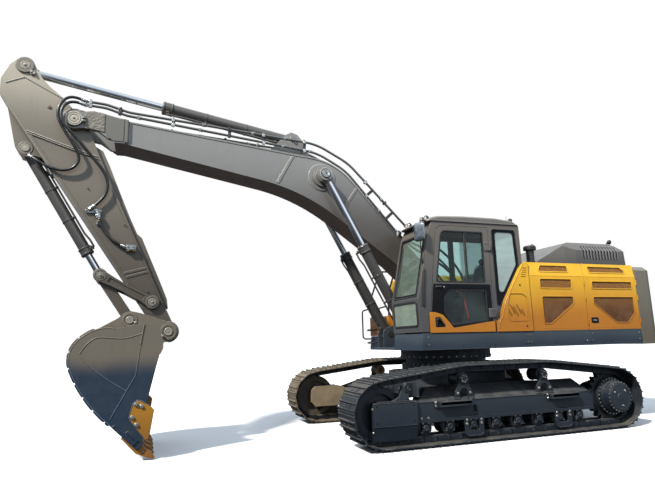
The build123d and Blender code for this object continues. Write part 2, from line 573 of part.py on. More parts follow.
# ------------------------------------------------------------------ house panels
with BuildPart() as cab_quarter_panel:
    side_shape([(-58, SKIRT_Z + 6), (-58, 1752), (-128, 1790), (-150, 1900), (-225, 2080), (-560, 2600), (-625, 2672), (-700, SHOULDER_Z - 4),
                (HOUSE_F + 14, SHOULDER_Z - 4), (HOUSE_F + 14, SKIRT_Z + 6)],
               CAB_Y1 + 5, CAB_Y1 + 25, rounds=[(-128, 1790, 30), (-150, 1900, 200), (-225, 2080, 300)])
    rounded_shape([(-305, 1760), (-290, 2010), (-350, 2190), (-585, 2190), (-680, 2130), (-660, 1760)], CAB_Y1 + 20, CAB_Y1 + 30, 30, mode=Mode.SUBTRACT)
save(cab_quarter_panel, "cab_quarter_panel")


LEAN = atan2(35, SHOULDER_Z - CREASE_Z)      # how far the side leans in above the crease
GRILLES = [  # lean of the skin there, corners (x, z), for the front and the rear bay
    (LEAN, [(-975, 2570), (-1035, 2672), (-1592, 2672), (-1612, 2570)]),
    (0, [(-985, 2290), (-985, 2440), (-1640, 2440), (-1640, 2290)]),
    (0, [(-1000, 1705), (-1000, 2146), (-1648, 2146), (-1648, 2030), (-1140, 1705)]),
    (LEAN, [(-2040, 2672), (-2782, 2668), (-2925, 2570), (-2080, 2570)]),
    (0, [(-2094, 2290), (-2094, 2410), (-3000, 2410), (-3000, 2290)]),
    (0, [(-2094, 2030), (-2094, 2141), (-3000, 2141), (-3000, 1870), (-2828, 1705), (-2570, 1705)])]


def house_door(name, x0, x1, s, hinge_x):
    """Side door: flat below the crease, leaning in above it, with inset grille panels."""
    a, b = s * (HALF_W - 40), s * HALF_W
    t = s * (HALF_W - 75)
    u = s * (HALF_W - 35)
    with BuildPart() as door:
        front_shape([(a, SKIRT_Z + 6), (b, SKIRT_Z + 6), (b, CREASE_Z), (u, SHOULDER_Z), (t, SHOULDER_Z), (a, CREASE_Z)], x0, x1)
        # pressed skin with a return flange all round
        c, v = s * (HALF_W - 6), s * (HALF_W - 41)
        front_shape([(a - s * 10, SKIRT_Z + 12), (c, SKIRT_Z + 12), (c, CREASE_Z), (v, SHOULDER_Z - 6), (t - s * 20, SHOULDER_Z - 6), (a - s * 10, CREASE_Z)],
                    x0 + 6, x1 - 6, mode=Mode.SUBTRACT)
        for lean, corners in GRILLES:
            if x0 < corners[0][0] < x1:
                skin_shape(corners, s, lean, -24, -5, Mode.ADD, grow=16)
                skin_shape(corners, s, lean, -14, 6, Mode.SUBTRACT)
        # hinge knuckles
        for z in (1720, 2130, 2400):
            with Locations((hinge_x, s * 1503, z)):
                Cylinder(8, 90)
    save(door, name)


house_door("left_front_door", DOOR_SPLIT + 4, HOUSE_F - 4, 1, -1916)
house_door("left_rear_door", HOUSE_R + 4, DOOR_SPLIT - 4, 1, -3108)
house_door("right_rear_door", HOUSE_R + 4, DOOR_SPLIT - 4, -1, -3108)

with BuildPart() as house_frame:
    # door posts and top beams that the doors close on
    for x, s in ((HOUSE_F, 1), (DOOR_SPLIT, 1), (HOUSE_R + 32, 1), (DOOR_SPLIT - 34, -1), (HOUSE_R + 32, -1)):
        y0, y1 = sorted((s * (HALF_W - 130), s * (HALF_W - 82)))
        block(x - 30, x + 30, y0, y1, DECK_Z + 37, SHOULDER_Z - 30)
    block(HOUSE_F - 34, HOUSE_F + 6, CAB_Y0 - 200, HALF_W - 82, DECK_Z + 37, SHOULDER_Z - 30)
save(house_frame, "house_frame")

with BuildPart() as house_roof:
    # top deck over the machinery, open under the engine hood
    block(HOUSE_R, HOUSE_F, -HALF_W + 80, HALF_W - 80, SHOULDER_Z - 28, SHOULDER_Z)
    block(-3060, -1330, -1100, 1100, SHOULDER_Z - 40, SHOULDER_Z + 10, mode=Mode.SUBTRACT)
save(house_roof, "house_roof")

# outer skin of the hood: side profile (x, z), cross-section (y, z) and plan (x, y)
HOOD_SIDE = [(-1276, 2731), (-1276, 2748), (-1420, 2760), (-1640, 2905), (-2030, 3165), (-2150, 3200), (-3140, 3200), (-3255, 3158), (-3352, 3070), (-3376, 2731)]
HOOD_FRONT = [(1120, 2700), (1120, 3040), (985, 3200), (985, 3300), (-985, 3300), (-985, 3200), (-1120, 3040), (-1120, 2700)]
HOOD_PLAN = [(-1200, 640), (-1276, 650), (-1990, 1062), (-2200, 1120), (-3500, 1120), (-3500, -1120), (-2200, -1120), (-1990, -1062), (-1276, -650), (-1200, -640)]
with BuildPart() as hood_space:
    side_shape([(x + (12 if x < -2600 else -18), z - (14 if z > 3000 else 2)) for x, z in HOOD_SIDE], -1200, 1200)
    front_shape([(y * 0.989, z - (13 if z > 3000 else 0)) for y, z in HOOD_FRONT], -3500, -1200, mode=Mode.INTERSECT)
    plan_shape([(x + (12 if x < -3000 else -16), y * 0.985) for x, y in HOOD_PLAN], 2700, 3300, mode=Mode.INTERSECT)
with BuildPart() as engine_hood:
    # lid with faceted corners, a thin shell, slotted on both sides
    side_shape(HOOD_SIDE, -1200, 1200)
    front_shape(HOOD_FRONT, -3500, -1200, mode=Mode.INTERSECT)
    plan_shape(HOOD_PLAN, 2700, 3300, mode=Mode.INTERSECT)
    add(hood_space.part, mode=Mode.SUBTRACT)
    for y0, y1 in sides(1035, 1140):
        for i in range(12):
            block(-2372 - 72 * i - 34, -2372 - 72 * i, y0, y1, 2868, 3128, mode=Mode.SUBTRACT)
    # hinge tubes on the front edge
    for y0, y1 in sides(420, 560):
        disc((-1272, 2742), 11, y0, y1)
save(engine_hood, "engine_hood")

with BuildPart() as fuel_tank:
    block(-760, 300, -1490, -360, SKIRT_Z + 6, SHOULDER_Z)
    fillet(fuel_tank.edges().filter_by(Axis.X), radius=40)
    block(-750, 290, -1480, -370, SKIRT_Z + 16, SHOULDER_Z - 10, mode=Mode.SUBTRACT)
save(fuel_tank, "fuel_tank")

with BuildPart() as hydraulic_tank:
    block(DOOR_SPLIT + 4, HOUSE_F - 4, -HALF_W, -560, SKIRT_Z + 6, SHOULDER_Z - 34)
    block(DOOR_SPLIT + 14, HOUSE_F - 14, -HALF_W + 10, -570, SKIRT_Z + 16, SHOULDER_Z - 44, mode=Mode.SUBTRACT)
save(hydraulic_tank, "hydraulic_tank")

with BuildPart() as toolbox:
    block(400, STEP_X + 50, -1470, -600, SKIRT_Z + 6, 1950)
    block(410, STEP_X + 40, -1460, -610, SKIRT_Z + 16, 1940, mode=Mode.SUBTRACT)
save(toolbox, "toolbox")

with BuildPart() as air_precleaner:
    with Locations((-1095, 1200, SHOULDER_Z + 150)):
        Cylinder(66, 300)
    with BuildSketch(Plane.XY.offset(SHOULDER_Z + 255)) as cap:
        with Locations((-1095, 1200)):
            Circle(103)
    extrude(cap.sketch, amount=78)
    fillet(air_precleaner.edges().filter_by(GeomType.CIRCLE).sort_by(Axis.Z)[-1], radius=28)
save(air_precleaner, "air_precleaner")

with BuildPart() as handrails:
    for y in (-1430, -640):
        pipe_run([(STEP_X + 15, y, 1951), (STEP_X + 15, y, 2380), (580, y, 2920), (120, y, 2920), (120, y, SHOULDER_Z + 1)], 17, 90)
save(handrails, "handrails")

with BuildPart() as mirrors:
    with Locations((1260, 1530, 3130)):
        Box(40, 180, 300)
    block(1075, 1245, 1470, 1500, 3190, 3210)
save(mirrors, "mirrors")

# ------------------------------------------------------------------ boom
BOOM_OUTLINE = [  # x, z, anticlockwise from the tip's lower corner
    (5700, 4600), (5700, 4977), (2126, 4616), (1035, 3401), (19, 2381), (-35, 2250), (15, 2120), (150, 2065), (275, 2114), (1066, 2838), (2730, 4040)]
BOOM_INSIDE = [(5660, 4617), (5660, 4950), (2140, 4592), (1052, 3380), (330, 2680), (470, 2330), (1056, 2865), (2720, 4065)]
with BuildPart() as boom:
    side_shape(BOOM_OUTLINE, -BOOM_HALF, BOOM_HALF, rounds=[(2126, 4616, 1150), (2730, 4040, 3300)])
    side_shape(BOOM_INSIDE, -BOOM_HALF + 24, BOOM_HALF - 24, mode=Mode.SUBTRACT, rounds=[(2140, 4592, 1120), (2720, 4065, 3300)])
    # side plates stand back between the top and bottom plates' edges
    for y0, y1 in sides(BOOM_HALF - 9, BOOM_HALF + 1):
        with BuildSketch(Plane.XZ.offset(-y1)) as panel:
            with BuildLine():
                Polyline(*BOOM_OUTLINE, close=True)
            make_face()
            for x, z, r in ((2126, 4616, 1150), (2730, 4040, 3300)):
                fillet(panel.vertices().sort_by_distance((x, z))[0], radius=r)
            offset(amount=-24, mode=Mode.REPLACE)
        extrude(panel.sketch, amount=y1 - y0, mode=Mode.SUBTRACT)
    # butt straps over the joints of the side plates
    for y0, y1 in sides(BOOM_HALF - 10, BOOM_HALF - 1):
        for strap in ([(2897, 4644), (2929, 4660), (3198, 4156), (3166, 4140)], [(1727, 4158), (1757, 4178), (2018, 3778), (1988, 3758)]):
            side_shape(strap, y0, y1)
    for y0, y1 in sides(BOOM_HALF - 10, BOOM_HALF + 5):
        disc(BOOM_CYL_ROD, 236, y0, y1)
    disc(BOOM_FOOT, 185, -284, 284)
    # tip fork
    for y0, y1 in sides(226, 292):
        side_shape([(5560, 4585), (5560, 4960), (5980, 5055), (6200, 5045), (6400, 4960), (6400, 4840), (6300, 4765), (6180, 4780), (6000, 4752), (5850, 4648)], y0, y1)
        disc(ARM_HINGE, 150, y0, y1)
    block(5600, 5760, -292, 292, 4590, 4990)
    # rod-pin bosses of the boom cylinders
    for y0, y1 in sides(270, 313):
        disc(BOOM_CYL_ROD, 170, y0, y1)
    # arm cylinder bracket on the top
    for y0, y1 in sides(108, 144):
        side_shape([(2520, 4600), (2700, 5000), (2790, 5105), (2900, 5140), (3010, 5080), (3330, 4720), (3330, 4660)], y0, y1)
    disc(BOOM_FOOT, 65 + FIT, -300, 300, mode=Mode.SUBTRACT)
    disc(ARM_CYL_FOOT, 50 + FIT, -150, 150, mode=Mode.SUBTRACT)
    for y0, y1 in sides(220, 300):
        disc(ARM_HINGE, 62 + FIT, y0, y1, mode=Mode.SUBTRACT)
save(boom, "boom")

with BuildPart() as boom_pins:
    disc(ARM_HINGE, 62, -306, 306)
    for y0, y1 in sides(293, 312):
        disc(ARM_HINGE, 110, y0, y1)
    disc(ARM_CYL_FOOT, 50, -158, 158)
save(boom_pins, "boom_pins")

BOOM_CYL_LEN = 1700
with BuildPart() as boom_cylinder_barrels:
    for y in (BOOM_CYL_Y, -BOOM_CYL_Y):
        barrel_piece(BOOM_CYL_FOOT, BOOM_CYL_ROD, y, BOOM_CYL_LEN, 76, 12, 98, 90, 55, 120)
        bore_piece(BOOM_CYL_FOOT, BOOM_CYL_ROD, y, BOOM_CYL_LEN, 76, 56, 98, 120)
save(boom_cylinder_barrels, "boom_cylinder_barrels")

with BuildPart() as boom_cylinder_rods:
    total = hypot(BOOM_CYL_ROD[0] - BOOM_CYL_FOOT[0], BOOM_CYL_ROD[1] - BOOM_CYL_FOOT[1])
    for y in (BOOM_CYL_Y, -BOOM_CYL_Y):
        rod_piece(BOOM_CYL_FOOT, BOOM_CYL_ROD, y, total - 1940, 56, 108, 78)
        disc(BOOM_CYL_ROD, 62, y - 94, y + 94)
save(boom_cylinder_rods, "boom_cylinder_rods")

# ------------------------------------------------------------------ arm
ARM_OUTLINE = [(6521, 5261), (6708, 5415), (6811, 5531), (6894, 5666), (6960, 5800), (7061, 5846), (7176, 5800), (7262, 5705), (7365, 5470), (7365, 5210),
               (5143, 1867), (5010, 1620), (4881, 1560), (4745, 1690), (4812, 1819), (5013, 2241), (5956, 4362), (6150, 4850)]
ARM_SPINE = [(5920, 4478), (5808, 4231), (5648, 3829), (5488, 3444), (5378, 3200), (5304, 3133), (5178, 2835), (5021, 2469), (4910, 2196), (4892, 2060), (5200, 2300), (6300, 4700)]
with BuildPart() as arm:
    side_shape(ARM_OUTLINE, -ARM_HALF, ARM_HALF)
    side_shape(ARM_SPINE, -165, 165)
    # hollow box between hinge and tip
    side_shape([(7290, 5240), (7240, 5080), (5250, 2090), (4990, 2090), (5035, 2240), (5975, 4350), (6180, 4850), (6530, 5240)], -ARM_HALF + 24, ARM_HALF - 24, mode=Mode.SUBTRACT)
    # lower side plates stand back between the front and rear plates' edges
    for y0, y1 in sides(ARM_HALF - 10, ARM_HALF + 1):
        side_shape([(6916, 4640), (5193, 2050), (5075, 2030), (4985, 2105), (5035, 2231), (5191, 2594), (5427, 3142), (5660, 3598), (5820, 3998), (5952, 4315)], y0, y1, mode=Mode.SUBTRACT)
    for y0, y1 in sides(ARM_HALF - 11, ARM_HALF - 1):
        side_shape([(5575, 2580), (5205, 2686), (5196, 2662), (5560, 2556)], y0, y1)
        side_shape([(5522, 2532), (5186, 2630), (5176, 2606), (5507, 2508)], y0, y1)
    disc(ARM_HINGE, 190, -216, 216)
    disc(BUCKET_HINGE, 148, -264, 264)
    disc(ROCKER_PIN, 105, -216, 216)
    # slot for the arm cylinder's rod eye
    side_shape([(6300, 5270), (6560, 5270), (6750, 5260), (7560, 5260), (7560, 6000), (6300, 6000)], -86, 86, mode=Mode.SUBTRACT)
    disc(ARM_CYL_ROD, 128, -ARM_HALF - 12, -87)
    disc(ARM_CYL_ROD, 128, 87, ARM_HALF + 12)
    # bucket cylinder ears on the front edge
    for y0, y1 in sides(92, 132):
        side_shape([(7290, 5150), (7240, 4960), (7150, 4560), (7120, 4440), (7060, 4330), (6950, 4300), (6880, 4330), (6760, 4300), (6800, 4480)], y0, y1)
    disc(ARM_HINGE, 62 + FIT, -230, 230, mode=Mode.SUBTRACT)
    disc(BUCKET_HINGE, 55 + FIT, -280, 280, mode=Mode.SUBTRACT)
    disc(ROCKER_PIN, 45 + FIT, -280, 280, mode=Mode.SUBTRACT)
    disc(BUCKET_CYL_FOOT, 42 + FIT, -140, 140, mode=Mode.SUBTRACT)
save(arm, "arm")

with BuildPart() as arm_pins:
    disc(BUCKET_CYL_FOOT, 42, -146, 146)
    disc(ROCKER_PIN, 45, -270, 270)
save(arm_pins, "arm_pins")

ARM_CYL_LEN = 2210
with BuildPart() as arm_cylinder_barrel:
    barrel_piece(ARM_CYL_FOOT, ARM_CYL_ROD, 0, ARM_CYL_LEN, 84, 13, 95, 100, 50, 150)
    bore_piece(ARM_CYL_FOOT, ARM_CYL_ROD, 0, ARM_CYL_LEN, 84, 60, 95, 150)
save(arm_cylinder_barrel, "arm_cylinder_barrel")

with BuildPart() as arm_cylinder_rod:
    total = hypot(ARM_CYL_ROD[0] - ARM_CYL_FOOT[0], ARM_CYL_ROD[1] - ARM_CYL_FOOT[1])
    rod_piece(ARM_CYL_FOOT, ARM_CYL_ROD, 0, total - 2330, 60, 105, 78)
save(arm_cylinder_rod, "arm_cylinder_rod")

# ------------------------------------------------------------------ bucket linkage
ROCKER_LENGTH = hypot(LINK_TOP[0] - ROCKER_PIN[0], LINK_TOP[1] - ROCKER_PIN[1])


def lever_point(a, b):
    """Point a along the lever from the rocker pin and b square to it."""
    ux, uz = (LINK_TOP[0] - ROCKER_PIN[0]) / ROCKER_LENGTH, (LINK_TOP[1] - ROCKER_PIN[1]) / ROCKER_LENGTH
    return (ROCKER_PIN[0] + ux * a - uz * b, ROCKER_PIN[1] + uz * a + ux * b)


with BuildPart() as rocker_levers:
    # dog-bone levers: waisted web with a groove in its outer face
    for s, (y0, y1) in zip((1, -1), sides(222, 264)):
        with BuildSketch(Plane.XZ.offset(-y1)) as lever:
            with BuildLine():
                Polyline(*[lever_point(a, b) for a, b in ((0, 92), (190, 62), (420, 55), (650, 66), (837, 86), (837, -86), (650, -70), (420, -60), (190, -64), (0, -92))], close=True)
            make_face()
            for a, b in ((190, 62), (420, 55), (650, 66), (650, -70), (420, -60), (190, -64)):
                fillet(lever.vertices().sort_by_distance(lever_point(a, b))[0], radius=400)
            with Locations(ROCKER_PIN):
                Circle(104)
            with Locations(LINK_TOP):
                Circle(96)
            with Locations(ROCKER_PIN):
                Circle(45 + FIT, mode=Mode.SUBTRACT)
        extrude(lever.sketch, amount=y1 - y0)
        ya, yb = sorted((s * 250, s * 266))
        rounded_shape([lever_point(a, b) for a, b in ((135, 34), (420, 28), (705, 36), (705, -38), (420, -32), (135, -36))], ya, yb, 14, mode=Mode.SUBTRACT)
    for y0, y1 in sides(92, 224):
        disc(LINK_TOP, 45, y0, y1)
save(rocker_levers, "rocker_levers")

with BuildPart() as bucket_link:
    for y0, y1 in sides(95, 205):
        with BuildSketch(Plane.XZ.offset(-y1)) as bar:
            with BuildLine():
                Polyline((5795, 2580), (5358, 1922), (5488, 1838), (5922, 2500), close=True)
            make_face()
            with Locations(LINK_TOP):
                Circle(80)
            with Locations(LINK_LOW):
                Circle(92)
        extrude(bar.sketch, amount=y1 - y0)
        disc(LINK_TOP, 45 + FIT, y0 - 5, y1 + 5, mode=Mode.SUBTRACT)
    disc(LINK_LOW, 92, -205, 205)
    side_shape([(5360, 1925), (5490, 1840), (5600, 2010), (5475, 2095)], -205, 205)
save(bucket_link, "bucket_link")

BUCKET_CYL_LEN = 1810
with BuildPart() as bucket_cylinder_barrel:
    barrel_piece(BUCKET_CYL_FOOT, LINK_TOP, 0, BUCKET_CYL_LEN, 70, 11, 82, 86, 42, 110)
    bore_piece(BUCKET_CYL_FOOT, LINK_TOP, 0, BUCKET_CYL_LEN, 70, 52, 82, 110)
save(bucket_cylinder_barrel, "bucket_cylinder_barrel")

with BuildPart() as bucket_cylinder_rod:
    total = hypot(LINK_TOP[0] - BUCKET_CYL_FOOT[0], LINK_TOP[1] - BUCKET_CYL_FOOT[1])
    rod_piece(BUCKET_CYL_FOOT, LINK_TOP, 0, 330, 52, 88, 80)
save(bucket_cylinder_rod, "bucket_cylinder_rod")

# ------------------------------------------------------------------ bucket
BUCKET_HALF = 800


def bucket_shape(half, shrink, mode=Mode.ADD):
    """Prism of the bucket's side face: lip, curved floor and back, and hinge corner."""
    with BuildSketch(Plane.XZ.offset(-half)) as face:
        with BuildLine():
            Polyline((5602, 480), (5260, 150), (5190, 200), (5150, 640), (5120, 879), (5040, 1238), (4985, 1455), (5120, 1690), (5300, 1735), (5600, 1752))
            ThreePointArc((5600, 1752), (5805, 1748), (5975, 1665))
            ThreePointArc((5975, 1665), (6140, 1440), (6110, 1180))
            ThreePointArc((6110, 1180), (5888, 788), (5602, 480))
        make_face()
        if shrink:
            offset(amount=-shrink, mode=Mode.REPLACE)
    extrude(face.sketch, amount=2 * half, mode=mode)


with BuildPart() as bucket:
    bucket_shape(BUCKET_HALF, 0)
    bucket_shape(BUCKET_HALF - 28, 27, mode=Mode.SUBTRACT)
    # mouth
    side_shape([(4800, 1500), (5160, 1655), (5200, 1600), (5200, 640), (5232, 215), (5222, 175), (4900, 160)], -BUCKET_HALF + 28, BUCKET_HALF - 28, mode=Mode.SUBTRACT)
    # cast corner of each side plate
    for y0, y1 in sides(BUCKET_HALF - 28, BUCKET_HALF):
        side_shape([(4998, 1384), (4962, 1461), (4960, 1539), (4983, 1634), (5032, 1730), (5094, 1794), (5163, 1818), (5249, 1812), (5420, 1772), (5600, 1750), (5300, 1700), (5120, 1640), (5060, 1400)],
                   y0, y1, rounds=[(4962, 1461, 60), (5032, 1730, 120), (5163, 1818, 60)])
    # hinge ears
    for y0, y1 in sides(272, 330):
        side_shape([(4880, 1580), (4780, 1650), (4760, 1720), (4800, 1800), (4900, 1850), (5300, 1985), (5420, 2010), (5500, 1990), (5580, 1910), (5830, 1768), (5700, 1730), (5100, 1680), (5010, 1500)], y0, y1,
                   rounds=[(5300, 1985, 120), (5580, 1910, 60)])
        disc(BUCKET_HINGE, 135, y0, y1)
        disc(LINK_LOW, 125, y0, y1)
    for y0, y1 in sides(262, 345):
        disc(BUCKET_HINGE, 55 + FIT, y0, y1, mode=Mode.SUBTRACT)
        disc(LINK_LOW, 48 + FIT, y0, y1, mode=Mode.SUBTRACT)
save(bucket, "bucket")

with BuildPart() as bucket_pins:
    disc(BUCKET_HINGE, 55, -338, 338)
    for y0, y1 in sides(210, 338):
        disc(LINK_LOW, 48, y0, y1)
save(bucket_pins, "bucket_pins")

TOOTH_Y = (-704, -352, 0, 352, 704)
with BuildPart() as tooth_adapters:
    # each straddles the lip plate
    for y in TOOTH_Y:
        side_shape([(5446, 292), (5262, 96), (5205, 74), (5150, 148), (5196, 238), (5352, 376), (5384, 346)], y - 62, y + 62)
        side_shape([(5214, 171), (5258, 143), (5640, 511), (5600, 552), (5224, 222), (5204, 190)], y - 63, y + 63, mode=Mode.SUBTRACT)
save(tooth_adapters, "tooth_adapters")

with BuildPart() as bucket_teeth:
    for y in TOOTH_Y:
        side_shape([(5203, 73), (5120, 38), (5040, 15), (5026, 24), (5068, 104), (5148, 147)], y - 54, y + 54)
        # sides taper towards the tip
        for a, b in ((y + 54, y + 40), (y - 54, y - 40)):
            plan_shape([(5130, a), (5010, b), (5010, a + (a - b) * 2), (5130, a + (a - b) * 2)], 0, 200, mode=Mode.SUBTRACT)
save(bucket_teeth, "bucket_teeth")

with BuildPart() as side_cutters:
    for y0, y1 in sides(801, 830):
        side_shape([(5268, 782), (5322, 732), (5363, 575), (5345, 530), (5156, 282), (5118, 284), (5098, 370), (5057, 660), (5112, 706), (5226, 774)], y0, y1,
                   rounds=[(5268, 782, 14), (5322, 732, 16), (5057, 660, 14)])
save(side_cutters, "side_cutters")

# ------------------------------------------------------------------ hydraulic lines
# two steel lines in each lane on the boom's back, held by clamps: (x, z) from the tip to the foot
LINE_R = 21
LANES = [  # distance from the middle, bend radii, points
    (262, (600, 600, 1000, 1000), [(6200, 5165), (5900, 5150), (5600, 5062), (2480, 4758), (1950, 4480), (1010, 3420)]),
    (240, (600, 600, 1000, 1000), [(6200, 5235), (5900, 5218), (5570, 5128), (2480, 4928), (1880, 4625), (800, 3530)])]
with BuildPart() as boom_lines:
    for y, radii, pts in LANES:
        for s in (1, -1):
            pipe_run([(x, s * y, z) for x, z in pts], LINE_R, radii)
save(boom_lines, "boom_lines")


def lane_height(pts, x):
    """Height of a lane's centre line at x."""
    for (xa, za), (xb, zb) in zip(pts, pts[1:]):
        if xb <= x <= xa:
            return zb + (za - zb) * (x - xb) / (xa - xb)


with BuildPart() as boom_line_clamps:
    for x in (6130, 5700, 4900, 4000, 3420, 2700, 1560, 1200):
        low, high = lane_height(LANES[0][2], x), lane_height(LANES[1][2], x)
        for s in (1, -1):
            y0, y1 = sorted((s * 216, s * 292))
            if x > 2000:
                block(x - 28, x + 28, y0, y1, low - 36, high + 36)
            else:
                # square to the lines where they run down the boom's back
                ux, uz = 0.663, 0.748
                reach = (high - low) * ux
                side_shape([(x + ux * a - uz * b, low + uz * a + ux * b) for a, b in ((-28, -30), (28, -30), (28, reach + 38), (-28, reach + 38))], y0, y1)
    for y, radii, pts in LANES:
        for s in (1, -1):
            for (xa, za), (xb, zb) in zip(pts, pts[1:]):
                with BuildSketch(Plane(origin=(xa, s * y, za), z_dir=(xb - xa, 0, zb - za))) as hole:
                    Circle(LINE_R + 6)
                extrude(hole.sketch, amount=hypot(xb - xa, zb - za), mode=Mode.SUBTRACT)
save(boom_line_clamps, "boom_line_clamps")

# hoses that bridge the hinge between boom and arm, looped beside the arm
TIP_HOSES = [
    [(6210, 240, 5235), (6340, 246, 5288), (6470, 280, 5240), (6556, 318, 5080), (6560, 330, 4890), (6455, 330, 4692), (6310, 318, 4480),
     (6218, 290, 4290), (6296, 268, 4135), (6470, 258, 4085), (6672, 250, 4140), (6840, 225, 4255), (6905, 170, 4302)],
    [(6210, 262, 5165), (6340, 290, 5196), (6468, 335, 5120), (6520, 362, 4960), (6480, 372, 4790), (6330, 364, 4640), (6075, 330, 4350),
     (5890, 292, 4130), (5812, 272, 3940), (5838, 262, 3765), (5945, 256, 3620), (6036, 252, 3540)]]
with BuildPart() as boom_tip_hoses:
    for route in TIP_HOSES:
        for s in (1, -1):
            pts = [(x, s * y, z) for x, y, z in route]
            pipe_run(pts, 22, free_bends(pts))
save(boom_tip_hoses, "boom_tip_hoses")

# hoses from the boom's lines down behind its foot to the main valve
FOOT_HOSES = [
    [(1005, 262, 3415), (850, 255, 3262), (650, 240, 3120), (420, 225, 3010), (180, 215, 2900), (-60, 210, 2740), (-240, 210, 2520), (-330, 210, 2250), (-356, 210, 1960), (-362, 210, 1670), (-360, 210, 1370)],
    [(794, 240, 3524), (620, 226, 3400), (400, 202, 3300), (160, 176, 3190), (-100, 152, 3020), (-330, 137, 2780), (-460, 130, 2480), (-510, 130, 2200), (-522, 130, 1930), (-526, 130, 1650), (-522, 130, 1370)]]
with BuildPart() as boom_foot_hoses:
    for route in FOOT_HOSES:
        for s in (1, -1):
            pts = [(x, s * y, z) for x, y, z in route]
            pipe_run(pts, 22, free_bends(pts))
save(boom_foot_hoses, "boom_foot_hoses")

# auxiliary line on the arm's side: shut-off valve, hose and coupling block
with BuildPart() as arm_line_blocks:
    for s in (1, -1):
        for x0, x1, z0, z1, a, b in ((5880, 6120, 3475, 3535, 211, 226), (5905, 5965, 3300, 3480, 211, 225), (5390, 5520, 2925, 3005, 211, 286)):
            y0, y1 = sorted((s * a, s * b))
            block(x0, x1, y0, y1, z0, z1)
save(arm_line_blocks, "arm_line_blocks")

ARM_HOSE = [(5935, 256, 3460), (5912, 256, 3350), (5868, 254, 3245), (5800, 250, 3140), (5700, 248, 3058), (5604, 248, 3002), (5534, 248, 2972)]
with BuildPart() as arm_hoses:
    for s in (1, -1):
        pts = [(x, s * y, z) for x, y, z in ARM_HOSE]
        pipe_run(pts, 20, free_bends(pts))
save(arm_hoses, "arm_hoses")
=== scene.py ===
# Crawler excavator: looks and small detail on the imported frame.
# Shapes are written in millimetres in the frame's own axes and scaled to metres.
import bpy, bmesh, math, random
from math import sin, cos, pi, radians, hypot, atan2, sqrt
from mathutils import Vector, Matrix


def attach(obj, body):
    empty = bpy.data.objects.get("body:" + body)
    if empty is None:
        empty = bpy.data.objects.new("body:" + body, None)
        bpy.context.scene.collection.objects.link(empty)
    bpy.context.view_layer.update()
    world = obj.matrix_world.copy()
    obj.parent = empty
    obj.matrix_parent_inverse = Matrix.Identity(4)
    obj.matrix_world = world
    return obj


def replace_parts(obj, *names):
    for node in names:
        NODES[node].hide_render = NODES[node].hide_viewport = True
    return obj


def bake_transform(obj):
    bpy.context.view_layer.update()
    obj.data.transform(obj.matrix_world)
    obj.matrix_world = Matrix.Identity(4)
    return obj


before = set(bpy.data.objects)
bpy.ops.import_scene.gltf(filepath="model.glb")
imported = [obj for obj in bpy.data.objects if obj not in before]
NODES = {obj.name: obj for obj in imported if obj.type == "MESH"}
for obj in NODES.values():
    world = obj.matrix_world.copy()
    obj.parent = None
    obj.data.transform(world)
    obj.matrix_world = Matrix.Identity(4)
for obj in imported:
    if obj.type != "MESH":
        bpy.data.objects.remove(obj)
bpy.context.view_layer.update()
rnd = random.Random(7)
MM = 0.001


# ---------------------------------------------------------------- shape makers
def lathe(profile, seg=24):
    """Turned shape about local Z; profile is (radius, height) from the bottom up."""
    v, f, rings = [], [], []
    for r, h in profile:
        if r < 1e-6:
            rings.append([len(v)])
            v.append(Vector((0, 0, h)))
        else:
            rings.append(list(range(len(v), len(v) + seg)))
            v += [Vector((r * cos(2 * pi * i / seg), r * sin(2 * pi * i / seg), h)) for i in range(seg)]
    for a, b in zip(rings, rings[1:]):
        for i in range(seg):
            j = (i + 1) % seg
            if len(a) == 1 and len(b) == 1:
                continue
            if len(a) == 1:
                f.append([a[0], b[j], b[i]])
            elif len(b) == 1:
                f.append([a[i], a[j], b[0]])
            else:
                f.append([a[i], a[j], b[j], b[i]])
    if len(rings[0]) > 1:
        f.append(list(reversed(rings[0])))
    if len(rings[-1]) > 1:
        f.append(list(rings[-1]))
    return v, f


def slab(outline, h, b=2.0, z0=0.0):
    """Flat plate from a 2-D outline, top edge chamfered by b; local Z is its thickness."""
    pts = [Vector((p[0], p[1])) for p in outline]
    area = sum(pts[i].x * pts[(i + 1) % len(pts)].y - pts[(i + 1) % len(pts)].x * pts[i].y for i in range(len(pts)))
    if area < 0:
        pts.reverse()
    n = len(pts)
    inner = []
    for i in range(n):
        e0 = (pts[i] - pts[i - 1]).normalized()
        e1 = (pts[(i + 1) % n] - pts[i]).normalized()
        n0, n1 = Vector((-e0.y, e0.x)), Vector((-e1.y, e1.x))
        m = (n0 + n1)
        m = m.normalized() if m.length > 1e-6 else n0
        inner.append(pts[i] + m * (b / max(0.35, m.dot(n0))))
    v = [Vector((p.x, p.y, z0)) for p in pts] + [Vector((p.x, p.y, z0 + h - b)) for p in pts] + [Vector((p.x, p.y, z0 + h)) for p in inner]
    f = [[i, (i + 1) % n, n + (i + 1) % n, n + i] for i in range(n)]
    f += [[n + i, n + (i + 1) % n, 2 * n + (i + 1) % n, 2 * n + i] for i in range(n)]
    f += [list(range(2 * n, 3 * n)), list(reversed(range(n)))]
    return v, f


def round_rect(w, h, r, k=4):
    """Outline of a rectangle with rounded corners, centred."""
    out = []
    for cx, cy, a0 in ((w / 2 - r, h / 2 - r, 0), (-w / 2 + r, h / 2 - r, pi / 2), (-w / 2 + r, -h / 2 + r, pi), (w / 2 - r, -h / 2 + r, 3 * pi / 2)):
        for i in range(k + 1):
            a = a0 + (pi / 2) * i / k
            out.append((cx + r * cos(a), cy + r * sin(a)))
    return out


